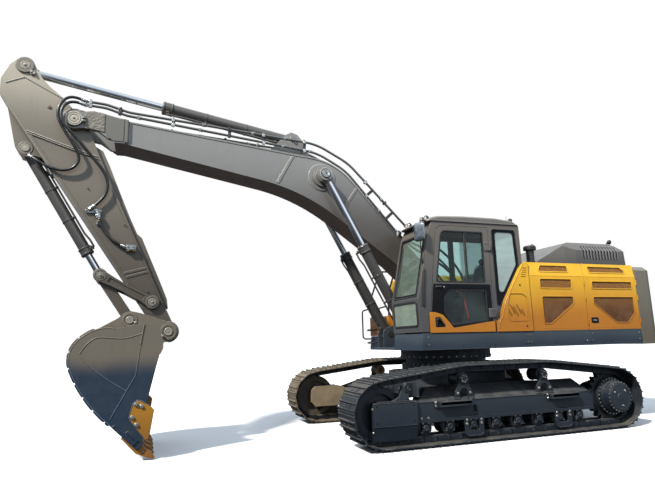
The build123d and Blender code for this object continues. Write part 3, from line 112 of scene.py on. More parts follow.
def brick(w, d, h, r=4, k=2):
    """Rounded block centred on the origin in plan, standing on local Z = 0, with softened upper and lower edges."""
    plan = round_rect(w, d, r * 1.6, k)
    plan_in = round_rect(w - 2 * r, d - 2 * r, r * 0.9, k)
    n = len(plan)
    v = [Vector((x, y, 0)) for x, y in plan_in] + [Vector((x, y, r)) for x, y in plan]
    v += [Vector((x, y, h - r)) for x, y in plan] + [Vector((x, y, h)) for x, y in plan_in]
    f = []
    for a in range(3):
        f += [[a * n + i, a * n + (i + 1) % n, (a + 1) * n + (i + 1) % n, (a + 1) * n + i] for i in range(n)]
    f += [list(reversed(range(n))), list(range(3 * n, 4 * n))]
    return v, f


def sweep(points, r, seg=10, caps=True, closed=False, squash=1.0):
    """Tube along points; r is a number or a list with one radius a point."""
    pts = [Vector(p) for p in points]
    n = len(pts)
    rad = r if isinstance(r, (list, tuple)) else [r] * n
    tang = []
    for i in range(n):
        if closed:
            t = pts[(i + 1) % n] - pts[i - 1]
        else:
            t = pts[min(i + 1, n - 1)] - pts[max(i - 1, 0)]
        tang.append(t.normalized())
    up = Vector((0, 0, 1)) if abs(tang[0].z) < 0.9 else Vector((1, 0, 0))
    a = tang[0].cross(up).normalized()
    v, f = [], []
    for i in range(n):
        a = (a - tang[i] * a.dot(tang[i])).normalized()
        b = tang[i].cross(a)
        for j in range(seg):
            w = 2 * pi * j / seg
            v.append(pts[i] + (a * cos(w) + b * sin(w) * squash) * rad[i])
    rows = n if closed else n - 1
    for i in range(rows):
        i2 = (i + 1) % n
        for j in range(seg):
            k = (j + 1) % seg
            f.append([i * seg + j, i * seg + k, i2 * seg + k, i2 * seg + j])
    if caps and not closed:
        f.append([j for j in reversed(range(seg))])
        f.append([(n - 1) * seg + j for j in range(seg)])
    return v, f


def arcs(points, r, k=6):
    """Polyline with its corners rounded by radius r, for pipes and rods."""
    pts = [Vector(p) for p in points]
    out = [pts[0]]
    for i in range(1, len(pts) - 1):
        a, b = (pts[i - 1] - pts[i]), (pts[i + 1] - pts[i])
        la, lb = a.length, b.length
        a, b = a / la, b / lb
        ang = a.angle(b)
        if ang > pi - 0.02:
            out.append(pts[i])
            continue
        rr = r[i - 1] if isinstance(r, (list, tuple)) else r
        cut = min(rr / math.tan(ang / 2), la * 0.48, lb * 0.48)
        rr = cut * math.tan(ang / 2)
        c = pts[i] + (a + b).normalized() * (rr / sin(ang / 2))
        s, e = pts[i] + a * cut - c, pts[i] + b * cut - c
        w = s.angle(e)
        for j in range(k + 1):
            t = j / k
            out.append(c + (s * sin((1 - t) * w) + e * sin(t * w)) / sin(w) if w > 1e-4 else c + s)
    out.append(pts[-1])
    return out


def nurbs(points, res=8):
    """Points of a smooth NURBS line through a hose's route, read back from Blender's own spline."""
    cu = bpy.data.curves.new("route", "CURVE")
    cu.dimensions = "3D"
    cu.resolution_u = res
    sp = cu.splines.new("NURBS")
    sp.points.add(len(points) - 1)
    for p, q in zip(sp.points, points):
        p.co = (q[0], q[1], q[2], 1)
    sp.order_u = 3
    sp.use_endpoint_u = True
    ob = bpy.data.objects.new("route", cu)
    me = bpy.data.meshes.new_from_object(ob)
    out = [v.co.copy() for v in me.vertices]
    bpy.data.objects.remove(ob)
    bpy.data.curves.remove(cu)
    bpy.data.meshes.remove(me)
    return out


def facing(pos, direction, turn=0.0, up=(0, 0, 1)):
    """Matrix that stands local Z along direction at pos, with local Y as near `up` as it can be."""
    z = Vector(direction).normalized()
    u = Vector(up)
    if abs(z.dot(u.normalized())) > 0.995:
        u = Vector((0, 1, 0))
    x = u.cross(z).normalized()
    y = z.cross(x)
    m = Matrix((x, y, z)).transposed().to_4x4()
    m.translation = Vector(pos)
    return m @ Matrix.Rotation(turn, 4, "Z")


def inside(p):
    """The point held within the CAD model's own box, in mm at rest."""
    return Vector((min(7363.0, max(-3799.0, p[0])), min(1744.0, max(-1744.0, p[1])), min(5845.0, max(0.5, p[2]))))


class Piece:
    """Many small shapes gathered into one mesh object that rides on one body."""

    def __init__(self, name, body, mat, slot, sharp=32):
        self.name, self.body, self.mat, self.slot, self.sharp = name, body, mat, slot, sharp
        self.v, self.f = [], []

    def add(self, shape, m=None):
        v, f = shape
        n = len(self.v)
        self.v += [m @ p for p in v] if m is not None else v
        self.f += [[n + i for i in q] for q in f]
        return self

    # common hardware
    def bolt(self, pos, direction, d=24, turn=None, washer=True, h=None):
        """Hex screw head of thread size d with its washer."""
        s, h = d * 0.82, h or d * 0.62
        m = facing(pos, direction, rnd.uniform(0, pi / 3) if turn is None else turn)
        if washer:
            self.add(lathe([(s * 1.28, 0), (s * 1.28, d * 0.10), (s * 1.2, d * 0.15), (s * 0.9, d * 0.15)], 16), m)
        b = d * 0.12 if washer else 0
        self.add(lathe([(s, b), (s, b + h * 0.82), (s * 0.86, b + h), (s * 0.3, b + h), (0, b + h * 0.97)], 6), m)
        return self

    def socket(self, pos, direction, d=24):
        """Socket-head screw: round head with a hex recess."""
        m = facing(pos, direction, rnd.uniform(0, pi))
        self.add(lathe([(d * 0.75, 0), (d * 0.75, d * 0.5), (d * 0.68, d * 0.58), (d * 0.42, d * 0.58), (d * 0.36, d * 0.28), (0, d * 0.26)], 12), m)
        return self

    def cap(self, pos, direction, r, h=14, rings=2, seg=40, screws=0, sr=0.7, sd=14):
        """Pin cover: turned disc with concentric steps and an optional circle of screws."""
        prof = [(r, 0), (r, h * 0.55), (r * 0.965, h * 0.75)]
        q = r * 0.965
        for k in range(rings):
            a = r * (0.80 - 0.30 * k)
            prof += [(a + r * 0.05, h * 0.78), (a + r * 0.03, h * 0.5), (a - r * 0.03, h * 0.5), (a - r * 0.05, h * 0.82)]
        prof += [(r * 0.12, h * 0.9), (r * 0.1, h * 0.6), (0, h * 0.6)]
        m = facing(pos, direction)
        self.add(lathe(prof, seg), m)
        for k in range(screws):
            a = 2 * pi * (k + 0.5) / screws
            self.bolt(m @ Vector((r * sr * cos(a), r * sr * sin(a), h * 0.7)), direction, sd, washer=False)
        return self

    def tube(self, points, r, seg=12, caps=True, closed=False):
        return self.add(sweep(points, r, seg, caps, closed))

    def bead(self, points, r=9, step=None, seg=6, proud=None):
        """Weld bead: a rippled fillet run along points."""
        pts = [Vector(p) for p in points]
        step = step or r * 0.75
        line = []
        for a, b in zip(pts, pts[1:]):
            n = max(1, int((b - a).length / step))
            line += [a + (b - a) * (i / n) for i in range(n)]
        line.append(pts[-1])
        rad = [r * (1.0 + (0.16 if i % 2 else -0.12) + rnd.uniform(-0.07, 0.07)) for i in range(len(line))]
        rad[0] *= 0.6
        rad[-1] *= 0.6
        return self.add(sweep(line, rad, seg))

    def plate(self, outline, y, s, h=8, b=2.0):
        """Side plate: outline in (x, z) standing out from the plane Y = y towards s."""
        v, f = slab([(x, z) for x, z in outline], h, b)
        v = [Vector((p.x, y + s * p.z, p.y)) for p in v]
        if s > 0:
            f = [list(reversed(q)) for q in f]
        return self.add((v, f))

    def top(self, outline, z, h=8, b=2.0):
        """Flat plate lying at height z, outline in (x, y)."""
        v, f = slab(outline, h, b, z)
        return self.add((v, f))

    def block(self, c, size, r=4, direction=(0, 0, 1), turn=0.0, up=(0, 0, 1)):
        """Rounded block centred at c."""
        v, f = brick(size[0], size[1], size[2], r)
        v = [p - Vector((0, 0, size[2] / 2)) for p in v]
        return self.add((v, f), facing(c, direction, turn, up))

    def done(self, **facts):
        if not self.v:
            return None
        me = bpy.data.meshes.new(self.name)
        me.from_pydata([inside(p) * MM for p in self.v], [], self.f)
        me.validate(clean_customdata=False)
        bm = bmesh.new()
        bm.from_mesh(me)
        bmesh.ops.recalc_face_normals(bm, faces=bm.faces)
        bm.to_mesh(me)
        bm.free()
        me.polygons.foreach_set("use_smooth", [True] * len(me.polygons))
        me.set_sharp_from_angle(angle=radians(self.sharp))
        me.materials.append(self.mat)
        ob = bpy.data.objects.new(self.name, me)
        bpy.context.scene.collection.objects.link(ob)
        if self.body:
            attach(ob, self.body)
        return ob


def stand_for(ob, *names):
    """ob takes the place of these CAD nodes."""
    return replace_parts(ob, *[n for n in names if n in NODES])


def both(*ys):
    """The same distances on the left (+1) and on the right (-1)."""
    return [(s, [s * y for y in ys]) for s in (1, -1)]


# ---------------------------------------------------------------- material graph helper
class Graph:
    def __init__(self, name):
        self.m = bpy.data.materials.new(name)
        self.m.use_nodes = True
        self.t = self.m.node_tree
        self.t.nodes.clear()
        self.out = self.t.nodes.new("ShaderNodeOutputMaterial")
        self.b = self.t.nodes.new("ShaderNodeBsdfPrincipled")
        self.t.links.new(self.b.outputs[0], self.out.inputs[0])
        self.tc = self.t.nodes.new("ShaderNodeTexCoord").outputs["Object"]

    def node(self, kind, **props):
        n = self.t.nodes.new(kind)
        for k, v in props.items():
            setattr(n, k, v)
        return n

    def put(self, socket, v):
        if isinstance(v, bpy.types.NodeSocket):
            self.t.links.new(v, socket)
        elif isinstance(v, (tuple, list)) and len(v) == 3 and socket.type == "RGBA":
            socket.default_value = (*v, 1)
        else:
            socket.default_value = v

    def stretch(self, scale, rot=(0, 0, 0)):
        n = self.node("ShaderNodeMapping")
        self.put(n.inputs[0], self.tc)
        n.inputs["Scale"].default_value = scale
        n.inputs["Rotation"].default_value = rot
        return n.outputs[0]

    def noise(self, scale, detail=4, rough=0.55, vec=None, distort=0.0):
        n = self.node("ShaderNodeTexNoise")
        self.put(n.inputs["Vector"], vec or self.tc)
        n.inputs["Scale"].default_value = scale
        n.inputs["Detail"].default_value = detail
        n.inputs["Roughness"].default_value = rough
        n.inputs["Distortion"].default_value = distort
        return n.outputs["Fac"]

    def cells(self, scale, feature="F1", vec=None, rnd_=1.0):
        n = self.node("ShaderNodeTexVoronoi", feature=feature)
        self.put(n.inputs["Vector"], vec or self.tc)
        n.inputs["Scale"].default_value = scale
        n.inputs["Randomness"].default_value = rnd_
        return n.outputs["Distance"]

    def wave(self, scale, direction="X", vec=None, distort=0.0, profile="SIN"):
        n = self.node("ShaderNodeTexWave", wave_profile=profile)
        n.bands_direction = direction
        self.put(n.inputs["Vector"], vec or self.tc)
        n.inputs["Scale"].default_value = scale
        n.inputs["Distortion"].default_value = distort
        return n.outputs["Fac"]

    def remap(self, v, a, b, c=0.0, d=1.0, smooth=True):
        n = self.node("ShaderNodeMapRange", interpolation_type="SMOOTHSTEP" if smooth else "LINEAR")
        self.put(n.inputs["Value"], v)
        for k, x in (("From Min", a), ("From Max", b), ("To Min", c), ("To Max", d)):
            n.inputs[k].default_value = x
        return n.outputs[0]

    def math(self, op, a, b=0.0):
        n = self.node("ShaderNodeMath", operation=op, use_clamp=False)
        self.put(n.inputs[0], a)
        self.put(n.inputs[1], b)
        return n.outputs[0]

    def mix(self, fac, a, b, kind="MIX"):
        n = self.node("ShaderNodeMix", data_type="RGBA", blend_type=kind)
        n.clamp_factor = True
        self.put(n.inputs[0], fac)
        self.put(n.inputs[6], a)
        self.put(n.inputs[7], b)
        return n.outputs[2]

    def axis(self, which):
        n = self.node("ShaderNodeSeparateXYZ")
        self.put(n.inputs[0], self.tc)
        return n.outputs[which]

    def bump(self, height, strength, distance=0.001, normal=None):
        n = self.node("ShaderNodeBump")
        n.inputs["Strength"].default_value = strength
        n.inputs["Distance"].default_value = distance
        self.put(n.inputs["Height"], height)
        if normal is not None:
            self.put(n.inputs["Normal"], normal)
        return n.outputs[0]

    def set(self, **sockets):
        names = {"colour": "Base Color", "rough": "Roughness", "metal": "Metallic", "normal": "Normal", "coat": "Coat Weight", "coat_rough": "Coat Roughness",
                 "spec": "Specular IOR Level", "sheen": "Sheen Weight", "trans": "Transmission Weight", "ior": "IOR", "alpha": "Alpha", "emit": "Emission Color", "emit_w": "Emission Strength"}
        for k, v in sockets.items():
            self.put(self.b.inputs[names[k]], v)
        return self.m


# ---------------------------------------------------------------- materials
def paint(name, top, low=None, z=(2.4, 1.3), rough=(0.36, 0.56), dust=0.30, dust_c=(0.40, 0.35, 0.27), wear=0.5, wear_c=(0.30, 0.28, 0.25),
          grain=0.10, edge=0.006, grime_and_shade=0.55, streaks=0.10, metal=0.0, coat=0.0, cast=0.0, mottle=0.14, ao=0.10, hi=None, highlight_z=(5.9, 4.6), far_side_sunlit=None, spec=0.5, under=None):
    """Sprayed machine paint: tone drift, run-down streaks, dust on what faces up, dirt and painted shade in corners,
    worn edges, fine orange peel; lower parts darker as painted shade, an optional pale band near the top as painted
    highlight, an optional tan right-hand side as painted sunlight and optional warmer undersides as painted bounce
    light.
    """
    g = Graph(name)
    big, mid, fine = g.noise(0.9, 3), g.noise(7.0, 6, 0.62), g.noise(210, 2)
    runs = g.noise(1.0, 4, 0.6, vec=g.stretch((16, 16, 1.1)))
    col = top
    # painted shade: lower parts blend towards the darker low colour by height
    if low is not None:
        col = g.mix(g.remap(g.math("ADD", g.axis(2), g.math("MULTIPLY", big, 0.35)), z[0] + 0.17, z[1] + 0.17), top, low)
    # painted highlight: the upper part blends towards the pale hi colour
    if hi is not None:
        col = g.mix(g.remap(g.math("ADD", g.axis(2), g.math("MULTIPLY", big, 0.5)), highlight_z[1] + 0.25, highlight_z[0] + 0.25), col, hi)
    # painted sunlight: the right-hand side (negative Y) blends towards a sunlit tan
    if far_side_sunlit is not None:
        side = g.remap(g.math("ADD", g.axis(1), g.math("MULTIPLY", mid, 0.25)), -0.55, -1.15)
        col = g.mix(g.math("MULTIPLY", side, g.remap(g.noise(3.1, 4, 0.6), 0.25, 0.65, 0.55, 0.95)), col, far_side_sunlit)
    col = g.mix(g.remap(big, 0.32, 0.68, 0, mottle), col, (0.62, 0.64, 0.68), "MULTIPLY")
    col = g.mix(g.remap(mid, 0.40, 0.72, 0, mottle), col, (0.72, 0.70, 0.68), "MULTIPLY")
    col = g.mix(g.remap(runs, 0.50, 0.78, 0, streaks), col, (0.50, 0.47, 0.43), "MULTIPLY")
    geo = g.node("ShaderNodeNewGeometry")
    bev = g.node("ShaderNodeBevel", samples=4)
    bev.inputs["Radius"].default_value = edge
    occ = g.node("ShaderNodeAmbientOcclusion", samples=4, only_local=False)
    occ.inputs["Distance"].default_value = ao
    # dirt and painted shade: darker where ambient occlusion finds corners and crevices
    crevice_dirt_and_shade = g.math("MULTIPLY", g.remap(occ.outputs["AO"], 0.35, 0.92, 1.0, 0.0), g.remap(mid, 0.25, 0.7, 0.55, 1.0))
    col = g.mix(g.math("MULTIPLY", crevice_dirt_and_shade, grime_and_shade), col, (0.16, 0.15, 0.14), "MULTIPLY")
    nz = g.node("ShaderNodeSeparateXYZ")
    g.put(nz.inputs[0], geo.outputs["Normal"])
    up = g.remap(nz.outputs[2], 0.35, 0.95)
    # painted bounce light: undersides blend towards a warmer, lighter colour
    if under is not None:
        col = g.mix(g.remap(nz.outputs[2], -0.45, -0.75), col, g.mix(g.remap(mid, 0.3, 0.7), under, tuple(c * 0.7 for c in under)))
    dusty = g.math("MULTIPLY", up, g.remap(mid, 0.28, 0.74, 0.25, 1.0))
    col = g.mix(g.math("MULTIPLY", dusty, dust), col, dust_c)
    dot = g.node("ShaderNodeVectorMath", operation="DOT_PRODUCT")
    g.put(dot.inputs[0], bev.outputs[0])
    g.put(dot.inputs[1], geo.outputs["Normal"])
    rub = g.math("MULTIPLY", g.remap(dot.outputs["Value"], 0.985, 0.88), g.remap(mid, 0.42, 0.62))
    col = g.mix(g.math("MULTIPLY", rub, wear), col, wear_c)
    r = g.math("ADD", g.remap(mid, 0.3, 0.75, rough[0], rough[1]), g.math("MULTIPLY", dusty, 0.22))
    height = g.math("ADD", g.math("MULTIPLY", fine, grain), g.math("MULTIPLY", mid, 0.35))
    if cast:
        height = g.math("ADD", height, g.math("MULTIPLY", g.noise(60, 4, 0.7), cast))
    n = g.bump(height, 0.55, 0.0012, bev.outputs[0])
    return g.set(colour=col, rough=r, metal=metal, coat=coat, coat_rough=0.2, normal=n, spec=spec)


def bare(name, colour, dark, rough=(0.28, 0.5), metal=1.0, scale=90, edge=0.003, grime_and_shade=0.6):
    """Machined or rolled steel with oily stains, and dirt with painted shade in its corners."""
    g = Graph(name)
    mid, fine = g.noise(14, 5, 0.65), g.noise(scale, 3)
    col = g.mix(g.remap(mid, 0.38, 0.7), colour, dark)
    # dirt and painted shade: darker where ambient occlusion finds corners
    occ = g.node("ShaderNodeAmbientOcclusion", samples=4)
    occ.inputs["Distance"].default_value = 0.05
    col = g.mix(g.remap(occ.outputs["AO"], 0.3, 0.9, grime_and_shade, 0.0), col, (0.12, 0.105, 0.09), "MULTIPLY")
    bev = g.node("ShaderNodeBevel", samples=4)
    bev.inputs["Radius"].default_value = edge
    n = g.bump(g.math("ADD", g.math("MULTIPLY", fine, 0.3), mid), 0.25, 0.0008, bev.outputs[0])
    return g.set(colour=col, rough=g.remap(mid, 0.3, 0.7, rough[0], rough[1]), metal=metal, normal=n)


def chrome_rod(name):
    g = Graph(name)
    mid = g.noise(6, 4)
    fine = g.noise(1, 2, vec=g.stretch((40, 40, 40)))
    col = g.mix(g.remap(mid, 0.45, 0.75, 0, 0.5), (0.80, 0.81, 0.82), (0.62, 0.60, 0.56))
    return g.set(colour=col, rough=g.remap(fine, 0.35, 0.7, 0.05, 0.13), metal=1.0, normal=g.bump(fine, 0.06, 0.0003))


def rubber(name, colour=(0.016, 0.017, 0.019), rough=(0.30, 0.46), weave=0.25):
    """Hose cover: fine moulded wrap pattern, dusty on top."""
    g = Graph(name)
    mid, fine = g.noise(22, 5), g.noise(420, 2)
    geo = g.node("ShaderNodeNewGeometry")
    nz = g.node("ShaderNodeSeparateXYZ")
    g.put(nz.inputs[0], geo.outputs["Normal"])
    up = g.math("MULTIPLY", g.remap(nz.outputs[2], 0.3, 1.0), g.remap(mid, 0.35, 0.7))
    col = g.mix(g.math("MULTIPLY", up, 0.28), g.mix(g.remap(mid, 0.4, 0.7), colour, tuple(c * 1.9 for c in colour)), (0.20, 0.18, 0.15))
    h = g.math("ADD", g.math("MULTIPLY", fine, weave), mid)
    return g.set(colour=col, rough=g.remap(mid, 0.3, 0.7, rough[0], rough[1]), normal=g.bump(h, 0.3, 0.0006))


def plastic(name, colour, rough=(0.42, 0.6), grain=0.5, edge=0.004, dust=0.3):
    g = Graph(name)
    mid, leather = g.noise(10, 5), g.cells(650, "F1")
    geo = g.node("ShaderNodeNewGeometry")
    nz = g.node("ShaderNodeSeparateXYZ")
    g.put(nz.inputs[0], geo.outputs["Normal"])
    up = g.math("MULTIPLY", g.remap(nz.outputs[2], 0.3, 1.0), g.remap(mid, 0.3, 0.7, 0.3, 1.0))
    col = g.mix(g.math("MULTIPLY", up, dust), g.mix(g.remap(mid, 0.35, 0.7), colour, tuple(c * 1.5 + 0.004 for c in colour)), (0.30, 0.27, 0.22))
    bev = g.node("ShaderNodeBevel", samples=4)
    bev.inputs["Radius"].default_value = edge
    return g.set(colour=col, rough=g.remap(mid, 0.3, 0.7, rough[0], rough[1]), normal=g.bump(g.math("ADD", g.math("MULTIPLY", leather, grain), g.math("MULTIPLY", mid, 0.4)), 0.22, 0.0006, bev.outputs[0]))


def window(name, tint=(0.62, 0.80, 0.76), solid=0.16):
    """Tinted cab glass: clear with a thin film of dust; a pale diffuse layer on the rear quarter window as painted
    glare and a darker green one on the front windows as painted shade, lighter on the lower front pane.
    """
    g = Graph(name)
    film = g.math("MULTIPLY", g.remap(g.noise(2.2, 5), 0.35, 0.75), 0.10)
    smear = g.noise(1.0, 4, vec=g.stretch((3, 3, 14), (0.5, 0.2, 0.3)))
    g.set(colour=g.mix(g.remap(smear, 0.4, 0.7, 0, 0.25), tint, (0.75, 0.80, 0.78)), rough=g.remap(smear, 0.45, 0.8, 0.012, 0.05), trans=1.0, ior=1.12, spec=1.0)
    g.b.inputs["Alpha"].default_value = 1.0
    # a diffuse layer over the glass: pale on the rear quarter window as painted glare, darker green on the front
    # windows as painted shade, lighter on the lower front pane
    dust = g.node("ShaderNodeBsdfDiffuse")
    low = g.remap(g.axis(2), 2.12, 2.04)
    g.put(dust.inputs["Color"], g.mix(g.remap(g.axis(0), -0.06, -0.12), g.mix(low, (0.26, 0.31, 0.25), (0.52, 0.58, 0.48)), (0.66, 0.76, 0.74)))
    thru = g.node("ShaderNodeBsdfTransparent")
    g.put(thru.inputs["Color"], g.mix(g.remap(smear, 0.3, 0.7, 0.0, 0.5), (0.74, 0.85, 0.84), (0.80, 0.89, 0.88)))
    gloss = g.node("ShaderNodeBsdfGlossy")
    gloss.inputs["Roughness"].default_value = 0.03
    fres = g.node("ShaderNodeFresnel")
    fres.inputs["IOR"].default_value = 1.5
    a = g.node("ShaderNodeMixShader")
    front = g.remap(g.axis(0), 0.98, 1.04)
    rear = g.remap(g.axis(0), -0.06, -0.12)
    g.put(a.inputs[0], g.math("ADD", g.math("MULTIPLY", film, 0.30), g.math("ADD", g.math("MULTIPLY", front, g.remap(smear, 0.2, 0.8, 0.19, 0.28)), g.math("MULTIPLY", rear, g.remap(smear, 0.2, 0.8, 0.30, 0.38)))))
    g.put(a.inputs[1], thru.outputs[0])
    g.put(a.inputs[2], dust.outputs[0])
    b = g.node("ShaderNodeMixShader")
    geo = g.node("ShaderNodeNewGeometry")
    g.put(b.inputs[0], g.math("MULTIPLY", fres.outputs[0], g.math("SUBTRACT", 1.0, geo.outputs["Backfacing"])))
    g.put(b.inputs[1], a.outputs[0])
    g.put(b.inputs[2], gloss.outputs[0])
    g.put(g.out.inputs[0], b.outputs[0])
    return g.m


# The low colour given to each paint below is painted shade: the lower parts of each piece are painted darker, most of
# them bluer.
GRAPHITE_TOP, GRAPHITE_SHADED = (0.168, 0.160, 0.145), (0.042, 0.052, 0.064)
M = {}
M["graphite"] = paint("paint_graphite", GRAPHITE_TOP, GRAPHITE_SHADED, z=(3.2, 0.9), wear_c=(0.30, 0.29, 0.27))
# the boom's under colour is painted bounce light on its undersides
M["boom"] = paint("paint_boom", (0.262, 0.260, 0.252), (0.076, 0.066, 0.057), z=(4.75, 3.3), rough=(0.26, 0.40), coat=0.15, dust=0.2, under=(0.33, 0.23, 0.155))
# the arm's hi colour is a painted highlight along its top
M["arm"] = paint("paint_arm", (0.205, 0.178, 0.142), (0.085, 0.070, 0.052), z=(4.3, 2.3), rough=(0.26, 0.42), wear_c=(0.36, 0.33, 0.28), hi=(0.58, 0.53, 0.425), highlight_z=(6.0, 4.5), coat=0.2, dust=0.2)
M["cab"] = paint("paint_cab", (0.125, 0.108, 0.090), (0.060, 0.058, 0.058), z=(3.1, 1.9), rough=(0.28, 0.42), coat=0.2, grime_and_shade=0.45, ao=0.06, edge=0.008)
M["roof"] = paint("paint_cab_roof", (0.150, 0.142, 0.134), grime_and_shade=0.3, dust=0.42)
M["yellow"] = paint("paint_yellow", (0.830, 0.450, 0.010), (0.430, 0.150, 0.002), z=(2.62, 1.72), rough=(0.30, 0.46), dust=0.10, dust_c=(0.62, 0.47, 0.20),
                    wear=0.30, wear_c=(0.42, 0.22, 0.06), mottle=0.16, streaks=0.15, coat=0.08, grime_and_shade=0.6, edge=0.005)
M["orange"] = paint("paint_orange", (0.560, 0.210, 0.018), (0.400, 0.140, 0.010), z=(1.95, 1.6), rough=(0.3, 0.5), wear_c=(0.28, 0.14, 0.05), streaks=0.15)
M["mesh"] = paint("paint_mesh_screen", (0.560, 0.265, 0.055), (0.175, 0.060, 0.020), z=(2.62, 1.72), rough=(0.4, 0.6), wear=0.6, wear_c=(0.62, 0.36, 0.14), grime_and_shade=0.4, ao=0.03, edge=0.002)
M["hood"] = paint("paint_hood", (0.112, 0.104, 0.094), (0.062, 0.060, 0.060), z=(3.1, 2.7), dust=0.40, dust_c=(0.30, 0.32, 0.33))
M["deck"] = paint("paint_deck", (0.070, 0.075, 0.080), (0.024, 0.036, 0.050), z=(2.2, 1.25), dust=0.28, dust_c=(0.20, 0.19, 0.17))
M["skirt"] = paint("paint_skirt", (0.042, 0.056, 0.070), (0.016, 0.026, 0.040), z=(1.60, 1.36), dust=0.3, dust_c=(0.18, 0.18, 0.17), wear_c=(0.12, 0.12, 0.12))
M["weight"] = paint("paint_counterweight", (0.170, 0.150, 0.118), (0.105, 0.090, 0.062), z=(2.6, 1.4), cast=0.9, dust=0.45, dust_c=(0.26, 0.28, 0.29), streaks=0.2, edge=0.014)
# the tan colours given for the right-hand side of the undercarriage, track and rollers are painted sunlight
M["under"] = paint("paint_undercarriage", (0.032, 0.040, 0.050), (0.012, 0.018, 0.027), z=(1.0, 0.35), dust=0.35, dust_c=(0.16, 0.14, 0.115), wear_c=(0.13, 0.12, 0.11), grime_and_shade=0.7, cast=0.3, far_side_sunlit=(0.285, 0.215, 0.130))
M["track"] = paint("cast_track_steel", (0.046, 0.052, 0.060), (0.022, 0.029, 0.038), z=(1.0, 0.2), rough=(0.42, 0.66), metal=0.35, dust=0.5, dust_c=(0.19, 0.165, 0.13), wear=0.9, wear_c=(0.26, 0.25, 0.24),
                   cast=0.8, grime_and_shade=0.6, edge=0.004, far_side_sunlit=(0.235, 0.185, 0.120))
M["roller"] = paint("cast_rollers", (0.034, 0.040, 0.048), (0.018, 0.024, 0.032), z=(1.0, 0.2), rough=(0.35, 0.6), metal=0.4, wear=0.9, wear_c=(0.22, 0.21, 0.20), cast=0.4, far_side_sunlit=(0.120, 0.095, 0.066))
M["bucket"] = paint("paint_bucket", (0.150, 0.128, 0.098), (0.015, 0.029, 0.052), z=(1.46, 1.12), rough=(0.38, 0.62), dust=0.4, dust_c=(0.30, 0.26, 0.20), wear=0.8, wear_c=(0.26, 0.23, 0.19),
                    streaks=0.2, cast=0.35, edge=0.006, mottle=0.22)
M["tooth"] = paint("cast_teeth", (0.430, 0.185, 0.024), (0.300, 0.120, 0.020), z=(0.30, 0.02), rough=(0.42, 0.66), metal=0.2, wear=1.0, wear_c=(0.33, 0.30, 0.26), cast=0.8, edge=0.007)
M["adapter"] = paint("cast_adapters", (0.400, 0.175, 0.024), (0.270, 0.112, 0.022), z=(0.36, 0.04), wear=0.9, wear_c=(0.26, 0.22, 0.17), cast=0.8)
M["cutter"] = paint("paint_side_cutter", (0.345, 0.155, 0.008), (0.230, 0.100, 0.012), z=(0.72, 0.2), wear=0.9, wear_c=(0.30, 0.26, 0.20), cast=0.4, rough=(0.4, 0.62))
M["cylinder"] = paint("paint_cylinder", (0.098, 0.092, 0.084), (0.048, 0.047, 0.046), z=(4.2, 1.8), rough=(0.20, 0.34), dust=0.2, grime_and_shade=0.5, coat=0.35, wear=0.3)
M["casting"] = paint("rough_castings", (0.225, 0.205, 0.172), (0.090, 0.082, 0.070), z=(4.6, 1.6), cast=1.6, wear=0.7, rough=(0.45, 0.7), edge=0.005)
M["black"] = paint("paint_black", (0.022, 0.024, 0.027), None, rough=(0.28, 0.48), dust=0.32, dust_c=(0.22, 0.20, 0.17), wear_c=(0.11, 0.11, 0.11), wear=0.5)
M["line"] = paint("paint_steel_lines", (0.120, 0.120, 0.116), (0.050, 0.052, 0.055), z=(4.6, 3.2), rough=(0.22, 0.40), coat=0.3, dust=0.35)
M["engine"] = paint("paint_engine", (0.16, 0.165, 0.165), None, cast=0.5)
M["chrome"] = chrome_rod("chromed_rod")
M["zinc"] = bare("zinc_plated", (0.60, 0.61, 0.60), (0.38, 0.37, 0.34), (0.24, 0.42))
M["steel"] = bare("machined_steel", (0.34, 0.33, 0.31), (0.17, 0.155, 0.135), (0.30, 0.52))
M["brass"] = bare("yellow_passivated", (0.62, 0.42, 0.16), (0.36, 0.22, 0.08), (0.25, 0.45))
M["copper"] = bare("copper_plug", (0.30, 0.16, 0.10), (0.16, 0.09, 0.06), (0.3, 0.5))
M["hose"] = rubber("hose_rubber_black")
M["seal"] = rubber("window_seal", (0.012, 0.012, 0.013), (0.5, 0.7), 0.1)
M["plastic"] = plastic("moulded_black", (0.018, 0.019, 0.021))
M["trim"] = plastic("moulded_cab_trim", (0.060, 0.075, 0.080), dust=0.10, grain=0.08)
M["glass"] = window("tinted_glass")
M["gloss_black"] = paint("black_gloss_panel", (0.0045, 0.005, 0.0065), None, rough=(0.22, 0.36), dust=0.12, dust_c=(0.10, 0.095, 0.09), wear=0.1, mottle=0.1, streaks=0.05, grain=0.02, spec=0.14, edge=0.003)
M["under_grey"] = paint("paint_fittings_grey", (0.120, 0.118, 0.112), (0.085, 0.088, 0.092), z=(3.0, 1.7), rough=(0.34, 0.5), dust=0.2)
M["mirror_shell"] = bare("mirror_shell_silver", (0.56, 0.57, 0.58), (0.20, 0.21, 0.22), (0.10, 0.26), scale=9)
M["mirror"] = chrome_rod("mirror_silver")
M["cream"] = paint("paint_pin_caps", (0.52, 0.48, 0.40), (0.27, 0.25, 0.21), z=(4.8, 2.0), rough=(0.28, 0.44), dust=0.15, wear=0.5, wear_c=(0.5, 0.47, 0.4), grime_and_shade=0.7, edge=0.003)


def lens_glass(name, tint, emit=None):
    g = Graph(name)
    ribs = g.wave(110, "Y", distort=0.5)
    col = g.mix(ribs, tint, tuple(min(1, c * 1.25) for c in tint))
    return g.set(colour=col, rough=g.remap(ribs, 0, 1, 0.04, 0.12), trans=0.35, ior=1.45, coat=0.6, normal=g.bump(ribs, 0.35, 0.001))


M["lens"] = lens_glass("lamp_lens", (0.72, 0.76, 0.78))
M["amber"] = lens_glass("amber_lens", (0.85, 0.32, 0.02))
M["redlens"] = lens_glass("red_lens", (0.55, 0.02, 0.015))
M["red"] = plastic("red_lever", (0.50, 0.018, 0.015), dust=0.1)


